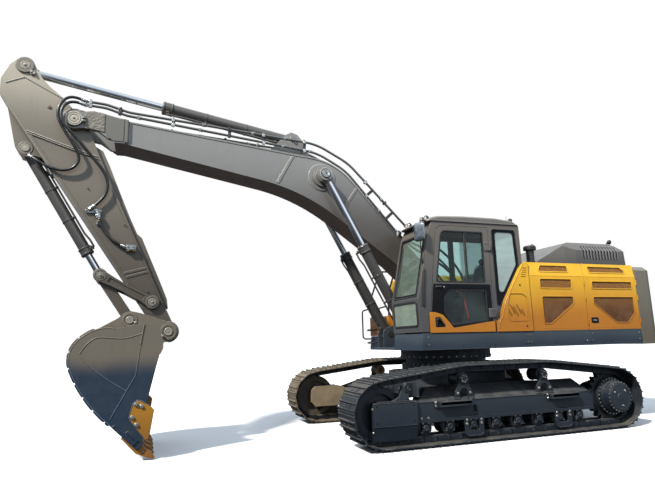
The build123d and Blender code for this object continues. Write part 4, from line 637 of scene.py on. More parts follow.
def cloth(name, a, b):
    """Woven seat cover with crossing yarns, faint pilling and sheen."""
    g = Graph(name)
    wa = g.wave(260, "X", vec=g.stretch((1, 1, 1), (0, 0, 0.2)), distort=0.6)
    wb = g.wave(260, "Z", distort=0.6)
    weave = g.math("MAXIMUM", wa, wb)
    fuzz = g.noise(90, 5, 0.7)
    col = g.mix(weave, a, b)
    col = g.mix(g.remap(fuzz, 0.45, 0.75, 0, 0.4), col, tuple(c * 1.6 for c in b))
    return g.set(colour=col, rough=0.88, sheen=0.35, normal=g.bump(g.math("ADD", weave, g.math("MULTIPLY", fuzz, 0.5)), 0.5, 0.0012))


M["cloth"] = cloth("seat_weave", (0.030, 0.060, 0.062), (0.060, 0.110, 0.112))
M["cloth_dark"] = cloth("seat_piping_weave", (0.012, 0.018, 0.020), (0.022, 0.032, 0.034))
M["mesh_back"] = paint("screen_backing", (0.330, 0.140, 0.030), (0.105, 0.034, 0.012), z=(2.62, 1.72), rough=(0.5, 0.7), dust=0.1, grime_and_shade=0.3, wear=0.1)
M["hood_lip"] = paint("paint_hood_lips", (0.160, 0.170, 0.180), None, rough=(0.28, 0.42), dust=0.2, wear=0.3, ao=0.04)
M["tread"] = paint("anti_slip_plate", (0.085, 0.085, 0.082), None, rough=(0.5, 0.72), dust=0.5, wear=0.9, wear_c=(0.32, 0.31, 0.29), edge=0.003, cast=0.6)
M["link"] = paint("forged_links", (0.030, 0.037, 0.045), (0.016, 0.022, 0.030), z=(1.0, 0.2), rough=(0.34, 0.6), metal=0.45, dust=0.4, dust_c=(0.17, 0.145, 0.11), wear=1.0, wear_c=(0.24, 0.23, 0.22), cast=0.5)
M["bolt_light"] = bare("bright_bolts", (0.55, 0.54, 0.50), (0.30, 0.28, 0.24), (0.30, 0.50))
M["wear"] = paint("wear_plates", (0.100, 0.088, 0.070), (0.018, 0.034, 0.060), z=(1.46, 1.12), rough=(0.36, 0.6), metal=0.3, wear=1.0, wear_c=(0.15, 0.18, 0.22), dust=0.45, dust_c=(0.18, 0.18, 0.17), cast=0.5)
# weld beads painted lighter than the paint around them: a painted glint along the beads
M["weld_light"] = paint("weld_beads_painted_glint", (0.46, 0.43, 0.37), (0.20, 0.18, 0.15), z=(4.7, 2.6), rough=(0.26, 0.42), cast=0.5, wear=0.3, dust=0.15)
M["weld"] = paint("bucket_weld_beads", (0.185, 0.160, 0.125), (0.070, 0.110, 0.170), z=(1.46, 1.12), rough=(0.3, 0.5), wear=0.6, wear_c=(0.30, 0.30, 0.30), cast=0.6, dust=0.3)


# ---------------------------------------------------------------- camera, light, floor
def camera():
    yaw, pitch, roll = radians(19.36347711), radians(10.54926614), radians(-1.46697224)
    d0, r0, u0 = Vector((-sin(yaw), -cos(yaw), 0)), Vector((-cos(yaw), sin(yaw), 0)), Vector((0, 0, 1))
    d = d0 * cos(pitch) + u0 * sin(pitch)
    u = -d0 * sin(pitch) + u0 * cos(pitch)
    r2 = r0 * cos(roll) + u * sin(roll)
    u2 = -r0 * sin(roll) + u * cos(roll)
    data = bpy.data.cameras.new("camera")
    data.sensor_width, data.lens = 36.0, 28.47
    data.clip_start, data.clip_end = 0.1, 300
    cam = bpy.data.objects.new("camera", data)
    m = Matrix((r2, u2, -d)).transposed().to_4x4()
    m.translation = Vector((5.2021, 8.465, 1.5))
    cam.matrix_world = m
    bpy.context.scene.collection.objects.link(cam)
    bpy.context.scene.camera = cam


camera()
scn = bpy.context.scene
scn.view_settings.view_transform = "Standard"
scn.view_settings.look = "None"


def sun(name, toward, strength, angle, colour=(1, 1, 1)):
    d = bpy.data.lights.new(name, "SUN")
    d.energy, d.angle, d.color = strength, radians(angle), colour
    o = bpy.data.objects.new(name, d)
    o.rotation_mode = "QUATERNION"
    o.rotation_quaternion = Vector(toward).to_track_quat("Z", "Y")
    scn.collection.objects.link(o)


sun("key", (0.66, 0.40, 0.72), 6.0, 4.0, (1.0, 0.965, 0.90))
sun("fill", (-0.5, 0.8, 0.45), 0.45, 60.0, (0.80, 0.90, 1.0))

world = bpy.data.worlds.new("studio")
scn.world = world
world.use_nodes = True
wt = world.node_tree
wt.nodes.clear()
wo = wt.nodes.new("ShaderNodeOutputWorld")
lit = wt.nodes.new("ShaderNodeBackground")
# a soft box overhead that fades towards the floor
ramp = wt.nodes.new("ShaderNodeValToRGB")
ramp.color_ramp.elements[0].position, ramp.color_ramp.elements[0].color = 0.36, (0.070, 0.072, 0.080, 1)
ramp.color_ramp.elements[1].position, ramp.color_ramp.elements[1].color = 0.86, (0.78, 0.88, 1.0, 1)
mid_stop = ramp.color_ramp.elements.new(0.52)
mid_stop.color = (0.22, 0.27, 0.34, 1)
wtc = wt.nodes.new("ShaderNodeTexCoord")
wsep = wt.nodes.new("ShaderNodeSeparateXYZ")
wmap = wt.nodes.new("ShaderNodeMapRange")
wmap.inputs["From Min"].default_value = -1.0
wt.links.new(wtc.outputs["Generated"], wsep.inputs[0])
wt.links.new(wsep.outputs[2], wmap.inputs["Value"])
wt.links.new(wmap.outputs[0], ramp.inputs[0])
wt.links.new(ramp.outputs[0], lit.inputs[0])
lit.inputs[1].default_value = 0.95
seen = wt.nodes.new("ShaderNodeBackground")
seen.inputs[0].default_value = (1, 1, 1, 1)
seen.inputs[1].default_value = 1.0
lp = wt.nodes.new("ShaderNodeLightPath")
ms = wt.nodes.new("ShaderNodeMixShader")
wt.links.new(lp.outputs["Is Camera Ray"], ms.inputs[0])
wt.links.new(lit.outputs[0], ms.inputs[1])
wt.links.new(seen.outputs[0], ms.inputs[2])
wt.links.new(ms.outputs[0], wo.inputs[0])

fg = Graph("studio_floor")
fl = fg.noise(0.6, 4)
fg.set(colour=fg.mix(fg.remap(fl, 0.3, 0.7), (0.86, 0.865, 0.87), (0.83, 0.835, 0.84)), rough=0.9, spec=0.15)
fm = bpy.data.meshes.new("floor")
S = 90
fm.from_pydata([(-S, -S, -0.002), (S, -S, -0.002), (S, S, -0.002), (-S, S, -0.002)], [], [[0, 1, 2, 3]])
fm.materials.append(fg.m)
floor = bpy.data.objects.new("floor", fm)
scn.collection.objects.link(floor)
floor.visible_diffuse = False
floor.visible_glossy = False

# ---------------------------------------------------------------- paint for the frame's own pieces
LOOKS = {
    "boom": "boom", "arm": "arm", "rocker_levers": "arm", "bucket_link": "arm", "bucket": "bucket", "bucket_teeth": "tooth", "tooth_adapters": "adapter", "side_cutters": "cutter",
    "boom_cylinder_barrels": "cylinder", "arm_cylinder_barrel": "cylinder", "bucket_cylinder_barrel": "cylinder",
    "boom_cylinder_rods": "chrome", "arm_cylinder_rod": "chrome", "bucket_cylinder_rod": "chrome",
    "boom_pins": "steel", "arm_pins": "steel", "bucket_pins": "steel", "upper_pins": "steel",
    "boom_lines": "line", "boom_line_clamps": "casting", "boom_tip_hoses": "hose", "boom_foot_hoses": "hose", "arm_line_blocks": "zinc", "arm_hoses": "hose",
    "cab_frame": "cab", "cab_door": "cab", "cab_roof": "roof", "cab_glass": "glass", "cab_door_glass": "glass", "seat_base": "plastic", "seat": "plastic",
    "cab_quarter_panel": "yellow", "cab_door_panel": "yellow", "left_front_door": "yellow", "left_rear_door": "yellow", "right_rear_door": "yellow", "fuel_tank": "yellow",
    "hydraulic_tank": "yellow", "toolbox": "orange", "air_precleaner": "plastic", "handrails": "black", "mirrors": "plastic",
    "house_frame": "graphite", "house_roof": "hood", "engine_hood": "hood", "engine_block": "engine", "deck_frame": "deck", "side_skirts": "skirt", "counterweight": "weight",
    "slew_ring_upper": "under", "slew_ring_lower": "under", "car_body": "under", "track_frames": "under", "idlers": "roller", "sprockets": "roller", "final_drives": "under",
    "track_rollers": "roller", "bottom_rollers": "roller", "carrier_rollers": "roller", "track_guards": "under", "frame_steps": "under", "left_track": "track", "right_track": "track",
}
for node_name, ob in NODES.items():
    ob.data.materials.clear() if not ob.material_slots else None
    for ms_ in ob.material_slots:
        ms_.material = M[LOOKS.get(node_name, "graphite")]


# ---------------------------------------------------------------- hinge points (x, z) and cylinder data
BOOM_FOOT, BOOM_CYL_FOOT, BOOM_CYL_ROD = (150, 2250), (940, 1600), (2397, 4311)
ARM_HINGE, ARM_CYL_FOOT, ARM_CYL_ROD = (6335, 4906), (2877, 5018), (7061, 5715)
BUCKET_CYL_FOOT, ROCKER_PIN, LINK_TOP, LINK_LOW, BUCKET_HINGE = (6984, 4437), (5121, 2146), (5860, 2540), (5423, 1880), (4881, 1704)


def on_line(p, q, d, off=0.0):
    """Point (x, z) at distance d from p towards q, moved off sideways (positive is up and back)."""
    n = hypot(q[0] - p[0], q[1] - p[1])
    ux, uz = (q[0] - p[0]) / n, (q[1] - p[1]) / n
    return (p[0] + ux * d - uz * off, p[1] + uz * d + ux * off)


# ---------------------------------------------------------------- boom: welds, castings, doublers
bw = Piece("boom_weld_beads", "boom_body", M["weld_light"], "graphite_paint", 60)
for s, (yy,) in both(272):
    bw.bead([(5545, yy, 4940), (4400, yy, 4822), (3300, yy, 4710), (2700, yy, 4648)], 8)
    bw.bead([(5560, yy, 4605), (4700, yy, 4610 - 150), (4250, yy, 4285)], 1) if False else None
    for (a, b) in (((2891, 4650), (3192, 4152)), ((2935, 4655), (3204, 4166)), ((1721, 4164), (1982, 3766)), ((1763, 4172), (2024, 3786))):
        bw.bead([(a[0], yy, a[1]), (b[0], yy, b[1])], 7)
    # ring weld of the knee doubler
    ring = [(BOOM_CYL_ROD[0] + 240 * cos(2 * pi * k / 60), yy + s * 1, BOOM_CYL_ROD[1] + 240 * sin(2 * pi * k / 60)) for k in range(61)]
    bw.bead(ring, 8)
    bw.bead([(5552, yy, 4612), (5548, yy, 4950)], 11)
    ring = [(BOOM_FOOT[0] + 190 * cos(2 * pi * k / 50), yy + s * 2, BOOM_FOOT[1] + 190 * sin(2 * pi * k / 50)) for k in range(51)]
    bw.bead(ring, 8)
bw.done()

bc = Piece("boom_tip_castings", "boom_body", M["casting"], "graphite_paint", 24)
bp = Piece("boom_tip_plates", "boom_body", M["graphite"], "graphite_paint", 30)
cast_rnd = random.Random(21)
for s, (yy,) in both(292):
    # rough cast cheek between the tip box and the hinge boss
    out = [(5905, 4735), (5905, 5028), (6060, 5062), (6150, 5050), (6196, 5000), (6192, 4822), (6120, 4770), (6010, 4752)]
    bc.plate(out, yy, s, 12, 6)
    for k in range(70):
        x, z = cast_rnd.uniform(5925, 6170), cast_rnd.uniform(4790, 5030)
        r = cast_rnd.uniform(10, 30)
        if z > 5052 - abs(x - 6060) * 0.2:
            continue
        v, f = lathe([(r, 0), (r * 0.7, r * 0.10), (0, r * 0.16)], 7)
        bc.add((v, f), facing((x, yy + s * 11, z), (cast_rnd.uniform(-0.12, 0.12), s, cast_rnd.uniform(-0.12, 0.12)), cast_rnd.uniform(0, 6)))
    # smooth grey collar plate and its upright rib
    bp.plate([(5628, 4612), (5628, 4982), (5700, 4992), (5890, 5018), (5890, 4720), (5846, 4664), (5780, 4612)], yy, s, 9, 3)
    bp.plate([(5566, 4600), (5566, 4972), (5612, 4978), (5612, 4600)], yy, s, 20, 6)
    # hinge boss: retaining plate with a locked pin
    
    bc.block((6200, s * 300, 4905), (62, 96, 40), 5, (0, s, 0))
bc.done()
bp.done()

bcap = Piece("boom_hinge_caps", "boom_body", M["cream"], "pin_steel", 30)
for s in (1, -1):
    bcap.cap((ARM_HINGE[0], s * 310, ARM_HINGE[1]), (0, s, 0), 116, 24, 2, 56)
bcap.done()
bb = Piece("boom_bolts", "boom_body", M["steel"], "pin_steel", 30)
bz = Piece("boom_zinc_parts", "boom_body", M["zinc"], "pin_steel", 30)
for s, (yy,) in both(292):
    bb.bolt((ARM_HINGE[0], s * 324, ARM_HINGE[1]), (0, s, 0), 22, washer=False)
    bb.bolt((6200, s * 322, 4930), (0, s, 0), 24)
    bb.bolt((6200, s * 322, 4880), (0, s, 0), 24)
    # grease nipples and plugs
    for x, z in ((5740, 4700), (2560, 4450), (2240, 4170)):
        bz.add(lathe([(11, 0), (11, 8), (6, 9), (6, 18), (8, 20), (7, 26), (3, 30), (0, 30)], 10), facing((x, s * 272, z), (0, s, 0)))
    for k in range(3):
        bb.bolt((ARM_CYL_FOOT[0] + 0, s * 158, ARM_CYL_FOOT[1]), (0, s, 0), 44) if k == 0 else None
bb.done()

# cover of the rod pin with its chrome rings, outside each boom cylinder's eye
bk = Piece("boom_cylinder_pin_caps", "boom_rods", M["zinc"], "pin_steel", 30)
bk2 = Piece("boom_cylinder_pin_screws", "boom_rods", M["steel"], "pin_steel", 30)
for s, (y0,) in both(514):
    bk.add(lathe([(66, -14), (66, 5), (63, 9), (52, 9), (50, 5), (44, 5), (42, 11), (30, 11), (28, 6), (16, 6), (14, 10), (0, 10)], 44), facing((BOOM_CYL_ROD[0], y0, BOOM_CYL_ROD[1]), (0, s, 0)))
    bk2.bolt((BOOM_CYL_ROD[0], y0 + s * 8, BOOM_CYL_ROD[1]), (0, s, 0), 18, washer=False)
bk.done()
bk2.done()

bring = Piece("boom_knee_bosses", "boom_body", M["casting"], "graphite_paint", 30)
for s, (y0,) in both(313):
    bring.add(lathe([(172, -38), (172, -6), (166, 0), (128, 0), (122, 6), (106, 6), (100, 1), (72, 1)], 56), facing((BOOM_CYL_ROD[0], y0 - s * 1, BOOM_CYL_ROD[1]), (0, s, 0)))
bring.done()

# ---------------------------------------------------------------- boom lines: clamps, couplings
LANE = [(262, [(6200, 5165), (5900, 5150), (5600, 5062), (2480, 4758), (1950, 4480), (1010, 3420)]),
        (240, [(6200, 5235), (5900, 5218), (5570, 5128), (2480, 4928), (1880, 4625), (800, 3530)])]


def lane_at(pts, x):
    for (xa, za), (xb, zb) in zip(pts, pts[1:]):
        if xb <= x <= xa:
            n = hypot(xa - xb, za - zb)
            return zb + (za - zb) * (x - xb) / (xa - xb), ((xa - xb) / n, (za - zb) / n)


cl = Piece("line_clamps", "boom_body", M["zinc"], "pin_steel", 30)
cb = Piece("line_clamp_brackets", "boom_body", M["black"], "pin_steel", 30)
cs = Piece("line_clamp_bolts", "boom_body", M["steel"], "pin_steel", 30)
for i, x in enumerate((6130, 5700, 4900, 4000, 3420, 2700, 1560, 1200)):
    zinc = i in (0, 2, 4, 5, 6)
    p = cl if zinc else cb
    for s in (1, -1):
        for y, pts in LANE:
            z, (ux, uz) = lane_at(pts, x)
            u = Vector((ux, 0, uz))
            n = Vector((-uz, 0, ux))
            c = Vector((x, s * y, z))
            # two half shells, round over the line
            out = [(-24, -31)] + [(-24, 6)] + [(24 * cos(a), 6 + 26 * sin(a)) for a in [pi - pi * k / 8 for k in range(1, 8)]] + [(24, 6), (24, -31)]
            v, f = slab(out, 46, 4)
            m = Matrix((Vector((0, 1, 0)), n, u)).transposed().to_4x4()
            m.translation = c - u * 23
            p.add((v, f), m)
            for d in (-1, 1):
                cs.bolt(c + Vector((0, d * 21, 0)) * 0 + n * 31, n, 15) if d > 0 else None
        # upright bar between the two lanes
        z0, (ux, uz) = lane_at(LANE[0][1], x)
        z1, _ = lane_at(LANE[1][1], x)
        low = Vector((x, s * 226, z0 - 33))
        cb.block(Vector((x, s * 228, z0)) + Vector((-uz, 0, ux)) * -31, (126, 62, 10), 3, (-uz, 0, ux), 0.0, (0, 1, 0)) if False else None
        up = Vector((-uz, 0, ux))
        cb.block(Vector((x, s * 240, z0)) + up * ((z1 - z0) * ux * 0.5 - 12), (52, 14, abs(z1 - z0) * ux + 6), 3, up, 0.0, (0, 1, 0))
cl_o, cb_o, cs_o = cl.done(), cb.done(), cs.done()
stand_for(cl_o, "boom_line_clamps")

cu_ = Piece("line_couplings", "boom_body", M["zinc"], "pin_steel", 28)
for s in (1, -1):
    for y, pts in LANE:
        for x in (6168, 5420, 4470, 3080, 2600, 1330) if y > 250 else (4420, 3600, 3040, 1260):
            z, (ux, uz) = lane_at(pts, x)
            m = facing((x, s * y, z), (ux, 0, uz))
            cu_.add(lathe([(26, -34), (30, -32), (30, -8), (26, -6)], 6), m)
            cu_.add(lathe([(27, -6), (27, 4), (31, 6), (31, 28), (26, 30)], 6), m @ Matrix.Rotation(0.4, 4, "Z"))
cu_.done()

# ---------------------------------------------------------------- hoses over the boom tip, joined to the arm
TIP = [[(6206, 240, 5235), (6340, 246, 5288), (6470, 280, 5240), (6556, 318, 5080), (6560, 330, 4890), (6455, 330, 4692), (6310, 318, 4480),
        (6218, 290, 4290), (6296, 268, 4135), (6470, 258, 4085), (6672, 250, 4140), (6840, 225, 4255), (6905, 170, 4302)],
       [(6206, 262, 5165), (6340, 290, 5196), (6468, 335, 5120), (6520, 362, 4960), (6480, 372, 4790), (6330, 364, 4640), (6075, 330, 4350),
        (5890, 292, 4130), (5812, 272, 3940), (5838, 262, 3765), (5945, 256, 3620), (6036, 252, 3540)]]
th = Piece("tip_hoses", None, M["hose"], "hose_rubber", 60)
for route in TIP:
    for s in (1, -1):
        th.tube([tuple(p) for p in nurbs([(x, s * y, z) for x, y, z in route], 10)], 22, 16)
tho = th.done()
stand_for(tho, "boom_tip_hoses")
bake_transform(tho)

fe = Piece("tip_hose_ends", "boom_body", M["zinc"], "pin_steel", 28)
ae = Piece("arm_hose_ends", "arm_body", M["zinc"], "pin_steel", 28)


def ferrule(p, pos, direction, r=22, back=False):
    """Crimped hose end: ridged sleeve, hex and neck."""
    prof = [(r + 2, 0)]
    for k in range(5):
        prof += [(r + 7, 3 + 13 * k), (r + 7, 11 + 13 * k), (r + 4.5, 13 + 13 * k)]
    prof += [(r + 2, 70), (r - 3, 72)]
    p.add(lathe(prof, 20), facing(pos, direction))
    p.add(lathe([(r + 6, 0), (r + 8, 2), (r + 8, 24), (r + 6, 26)], 6), facing(Vector(pos) - Vector(direction).normalized() * 28, direction))


for s in (1, -1):
    ferrule(fe, (6210, s * 240, 5236), (138, s * 6, 53), 16)
    ferrule(fe, (6210, s * 262, 5166), (138, s * 28, 31))
    ferrule(ae, (6036, s * 252, 3540), (-91, s * 4, 80))
    ferrule(ae, (6905, s * 170, 4302), (-65, s * 55, -47))
fe.done()
ae.done()

# ---------------------------------------------------------------- hoses at the boom's foot
FOOT = [[(1008, 262, 3418), (850, 255, 3262), (650, 240, 3120), (420, 225, 3010), (180, 215, 2900), (-60, 210, 2740), (-240, 210, 2520), (-330, 210, 2250), (-356, 210, 1960), (-362, 210, 1670), (-360, 210, 1376)],
        [(798, 240, 3528), (620, 226, 3400), (400, 202, 3300), (160, 176, 3190), (-100, 152, 3020), (-330, 137, 2780), (-460, 130, 2480), (-510, 130, 2200), (-522, 130, 1930), (-526, 130, 1650), (-522, 130, 1376)]]
fh = Piece("foot_hoses", None, M["hose"], "hose_rubber", 60)
for route in FOOT:
    for s in (1, -1):
        fh.tube(nurbs([(x, s * y, z) for x, y, z in route], 8), 22, 14)
fho = fh.done()
stand_for(fho, "boom_foot_hoses")
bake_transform(fho)
be = Piece("foot_hose_ends", "boom_body", M["zinc"], "pin_steel", 28)
for s in (1, -1):
    ferrule(be, (1004, s * 262, 3414), (-158, -s * 7, -156))
    ferrule(be, (792, s * 240, 3524), (-178, -s * 14, -128))
be.done()

# ---------------------------------------------------------------- arm side hose with its blocks
ah = Piece("arm_side_hoses", "arm_body", M["hose"], "hose_rubber", 60)
for s in (1, -1):
    ah.tube(nurbs([(x, s * y, z) for x, y, z in [(5935, 256, 3460), (5912, 256, 3350), (5868, 254, 3245), (5800, 250, 3140), (5700, 248, 3058), (5604, 248, 3002), (5534, 248, 2972)]], 8), 20, 14)
aho = ah.done()
stand_for(aho, "arm_hoses")
ab = Piece("arm_valve_blocks", "arm_body", M["zinc"], "pin_steel", 28)
ak = Piece("arm_valve_fittings", "arm_body", M["brass"], "pin_steel", 28)
am = Piece("arm_valve_bolts", "arm_body", M["steel"], "pin_steel", 28)
for s in (1, -1):
    # angled adaptor, shut-off block and its saddle
    ab.block((6000, s * 219, 3505), (236, 58, 14), 3, (0, s, 0))
    ab.block((6046, s * 250, 3536), (50, 44, 58), 6, (-0.75, 0, 0.66))
    ab.add(lathe([(26, 0), (28, 2), (28, 22), (24, 24), (24, 60), (29, 62), (29, 84), (25, 86)], 6), facing((5975, s * 256, 3520), (-0.42, 0, -0.9)))
    ab.block((5932, s * 250, 3420), (74, 66, 62), 7, (-0.3, 0, -0.95))
    ab.block((5932, s * 219, 3395), (60, 190, 13), 3, (0, s, 0))
    for dx, dz in ((-44, 0), (44, 0), (0, -74)):
        am.bolt((5932 + dx * 0.4, s * 226, 3330 + dz * 0.2), (0, s, 0), 16) if dz else None
    am.bolt((5900, s * 226, 3505), (0, s, 0), 18)
    am.bolt((6100, s * 226, 3505), (0, s, 0), 18)
    ak.add(lathe([(20, 0), (20, 14), (25, 16), (25, 30), (19, 32), (19, 44)], 6), facing((5925, s * 256, 3372), (-0.2, 0, -1)))
    ferrule(ab, (5930, s * 256, 3440), (-23, 0, -110), 20)
    # lower coupling block with dust caps
    ab.block((5455, s * 250, 2965), (128, 78, 72), 7, (0, s, 0))
    ab.block((5455, s * 217, 2965), (150, 96, 12), 3, (0, s, 0))
    ferrule(ab, (5534, s * 248, 2971), (70, 0, 30), 20)
    for dx in (-36, 36):
        ak.add(lathe([(22, 0), (24, 3), (24, 18), (18, 22), (0, 22)], 12), facing((5455 + dx, s * 250, 2926), (0, 0, -1)))
        am.bolt((5455 + dx, s * 286, 2965), (0, s, 0), 14)
abo = ab.done()
stand_for(abo, "arm_line_blocks")
ak.done()
am.done()

# ---------------------------------------------------------------- arm: weld seams, ports, bosses
aw = Piece("arm_weld_beads", "arm_body", M["weld_light"], "graphite_paint", 60)
for s, (yy,) in both(211):
    aw.bead([(7300, yy, 5400), (7055, yy, 5524), (6800, yy, 5392), (6535, yy, 5257)], 9)
    aw.bead([(6975, yy, 4682), (6620, yy, 4563), (6268, yy, 4447), (6080, yy, 4395), (5985, yy, 4366)], 10)
    aw.bead([(6962, yy, 4650), (6610, yy, 4532), (6262, yy, 4418), (6075, yy, 4366)], 7)
    ring = [(ARM_HINGE[0] + 194 * cos(2 * pi * k / 50), yy, ARM_HINGE[1] + 194 * sin(2 * pi * k / 50)) for k in range(51)]
    aw.bead(ring, 7)
    ring = [(BUCKET_HINGE[0] + 152 * cos(2 * pi * k / 40), yy, BUCKET_HINGE[1] + 152 * sin(2 * pi * k / 40)) for k in range(6, 30)]
    aw.bead(ring, 8)
    for off in (14, -14):
        aw.bead([(5575 + off * 0.3, yy - s * 8, 2568 + off), (5200 + off * 0.3, yy - s * 8, 2674 + off)], 6)
        aw.bead([(5516 + off * 0.3, yy - s * 8, 2520 + off), (5182 + off * 0.3, yy - s * 8, 2618 + off)], 6)
    # seam along the front edge, where the front plate laps the side
    aw.bead([(7330, yy, 5190), (6940, yy, 4600), (6100, yy, 3335), (5240, yy, 2045)], 6)
aw.done()

apn = Piece("arm_ports", "arm_body", M["casting"], "graphite_paint", 30)
apb = Piece("arm_plugs", "arm_body", M["copper"], "pin_steel", 30)
apc = Piece("arm_pin_caps", "arm_body", M["cream"], "pin_steel", 30)
for s, (yy,) in both(210):
    apn.add(lathe([(128, 0), (128, 15), (120, 22), (78, 22), (74, 17), (70, 17)], 48), facing((ARM_CYL_ROD[0], yy + s * 2, ARM_CYL_ROD[1]), (0, s, 0)))
    apc.cap((ARM_CYL_ROD[0], yy + s * 12, ARM_CYL_ROD[1]), (0, s, 0), 72, 20, 2, 44)
    apc.add(lathe([(26, 0), (26, 6), (14, 7), (14, 14), (0, 14)], 6), facing((ARM_CYL_ROD[0], yy + s * 28, ARM_CYL_ROD[1]), (0, s, 0)))
    # pin lock next to the eye
    apn.block((6948, yy + s * 10, 5602), (84, 50, 26), 6, (0, s, 0), 0.6)
    apc.bolt((6930, yy + s * 22, 5590), (0, s, 0), 22)
    apc.bolt((6968, yy + s * 22, 5616), (0, s, 0), 22)
    for x, z, r in ((6695, 5086, 27), (5198, 2307, 15), (4962, 1865, 15), (6100, 3860, 10), (5560, 3320, 10)):
        apn.add(lathe([(r, -2), (r, 9), (r * 0.86, 12), (r * 0.6, 12), (r * 0.55, 4), (0, 4)], 20), facing((x, yy, z), (0, s, 0)))
    apb.add(lathe([(15, 0), (15, 12), (12, 15), (0, 15)], 6), facing((6695, yy, 5086), (0, s, 0)))
    # bosses of the bucket cylinder's pin
    apn.add(lathe([(104, -24), (104, 0), (98, 6), (60, 6), (56, 2)], 44), facing((BUCKET_CYL_FOOT[0], s * 134, BUCKET_CYL_FOOT[1]), (0, s, 0)))
    apc.cap((BUCKET_CYL_FOOT[0], s * 138, BUCKET_CYL_FOOT[1]), (0, s, 0), 58, 18, 2, 40)
    # rocker pin ends
    apc.cap((ROCKER_PIN[0], s * 266, ROCKER_PIN[1]), (0, s, 0), 60, 16, 2, 40)
    apc.add(lathe([(20, 0), (20, 5), (11, 6), (11, 12), (0, 12)], 6), facing((ROCKER_PIN[0], s * 280, ROCKER_PIN[1]), (0, s, 0)))
apn.done()
apb.done()
apc.done()

# ---------------------------------------------------------------- cylinders: glands, ports, side pipes
def dress(name, body, foot, rod, y, length, radius, gland, pipe_side, ports=True):
    """Gland ring with its screws, head and base ports, and the rigid pipe along the barrel."""
    p = Piece(name + "_fittings", body, M["cylinder"], "cylinder_paint", 30)
    z = Piece(name + "_screws", body, M["steel"], "pin_steel", 30)
    n = hypot(rod[0] - foot[0], rod[1] - foot[1])
    u = Vector(((rod[0] - foot[0]) / n, 0, (rod[1] - foot[1]) / n))
    w = Vector((-u.z, 0, u.x))
    f = Vector((foot[0], y, foot[1]))
    G = radius + 10
    end = f + u * length
    # gland head: turned steps and screw circle
    p.add(lathe([(G + 2, -gland - 6), (G + 6, -gland), (G + 6, -gland + 14), (G + 1, -gland + 20)], 44), facing(end, u))
    p.add(lathe([(G + 1, -30), (G + 5, -26), (G + 5, -8), (G - 2, 2), (G - 16, 4), (G - 20, 12), (G - 34, 14), (G - 34, 2)], 44), facing(end, u))
    for k in range(10):
        a = 2 * pi * k / 10
        z.socket(end + u * 2 + (Vector((0, 1, 0)) * cos(a) + w * sin(a)) * (G - 11), u, 13)
    # base: weld ring
    p.add(lathe([(radius, 84), (radius + 7, 92), (radius + 7, 108), (radius, 118)], 40), facing(f, u))
    if ports:
        side = (Vector((0, 1, 0)) * pipe_side[0] + w * pipe_side[1]).normalized()
        a = f + u * 165 + side * (radius + 8)
        b = f + u * (length - gland * 0.55) + side * (G + 8)
        for q in (a, b):
            p.block(q, (66, 56, 46), 5, side, 0.0, u)
            for d in (-20, 20):
                z.socket(q + side * 22 + u * d + side.cross(u) * 17, side, 11)
                z.socket(q + side * 22 + u * d - side.cross(u) * 17, side, 11)
        r0 = radius + 40
        line = arcs([b + side * 20, b + side * 46, b + side * 46 - u * 120, f + u * (length - gland - 190) + side * r0, f + u * 300 + side * r0], [26, 40, 60])
        p.tube(line, 15, 14)
        for t in (0.34, 0.78):
            c = f + u * (300 + (length - gland - 520) * t)
            p.add(lathe([(radius + 1, -16), (radius + 5, -14), (radius + 5, 14), (radius + 1, 16)], 44), facing(c, u))
            p.block(c + side * (radius + 28), (44, 34, 44), 5, side, 0.0, u)
            z.bolt(c + side * (radius + 50), side, 12)
        p.block(f + u * 285 + side * (radius + 34), (40, 40, 60), 6, u)
    p.done()
    z.done()


for s, (yy,) in both(420):
    dress("boom_cylinder_%s" % ("left" if s > 0 else "right"), "boom_barrels", BOOM_CYL_FOOT, BOOM_CYL_ROD, yy, 1700, 88, 120, (-s * 0.35, -1.0))
dress("arm_cylinder", "arm_barrel", ARM_CYL_FOOT, ARM_CYL_ROD, 0, 2210, 97, 150, (0.55, -0.8))
dress("bucket_cylinder", "bucket_barrel", BUCKET_CYL_FOOT, LINK_TOP, 0, 1810, 81, 110, (0.45, -0.85))

# rod eyes: lock collars at the foot of each chromed rod
ey = Piece("rod_eye_collars", "arm_rod", M["cylinder"], "cylinder_paint", 30)
d = hypot(ARM_CYL_ROD[0] - ARM_CYL_FOOT[0], ARM_CYL_ROD[1] - ARM_CYL_FOOT[1])
for body, foot, rod, y, r, R, nm in (("arm_rod", ARM_CYL_FOOT, ARM_CYL_ROD, 0, 60, 105, "arm"), ("boom_rods", BOOM_CYL_FOOT, BOOM_CYL_ROD, 420, 56, 108, "boom_left"), ("boom_rods", BOOM_CYL_FOOT, BOOM_CYL_ROD, -420, 56, 108, "boom_right"),
                                     ("bucket_rod", BUCKET_CYL_FOOT, LINK_TOP, 0, 52, 88, "bucket")):
    q = Piece("rod_eye_collar_" + nm, body, M["casting"], "cylinder_paint", 30)
    c = on_line(rod, foot, R - 6)
    u = Vector((foot[0] - rod[0], 0, foot[1] - rod[1])).normalized()
    q.add(lathe([(r + 26, -28), (r + 24, 6), (r + 14, 26), (r + 10, 44), (r + 4, 50), (r - 1, 50)], 40), facing((c[0], y, c[1]), u))
    for sy in (1, -1):
        w_eye = 78 if nm != "bucket" else 80
        q.add(lathe([(R - 4, -6), (R - 4, 1), (R - 10, 4), (R - 24, 4), (R - 28, 1), (64, 1)], 40), facing((rod[0], y + sy * w_eye, rod[1]), (0, sy, 0)))
    q.done()

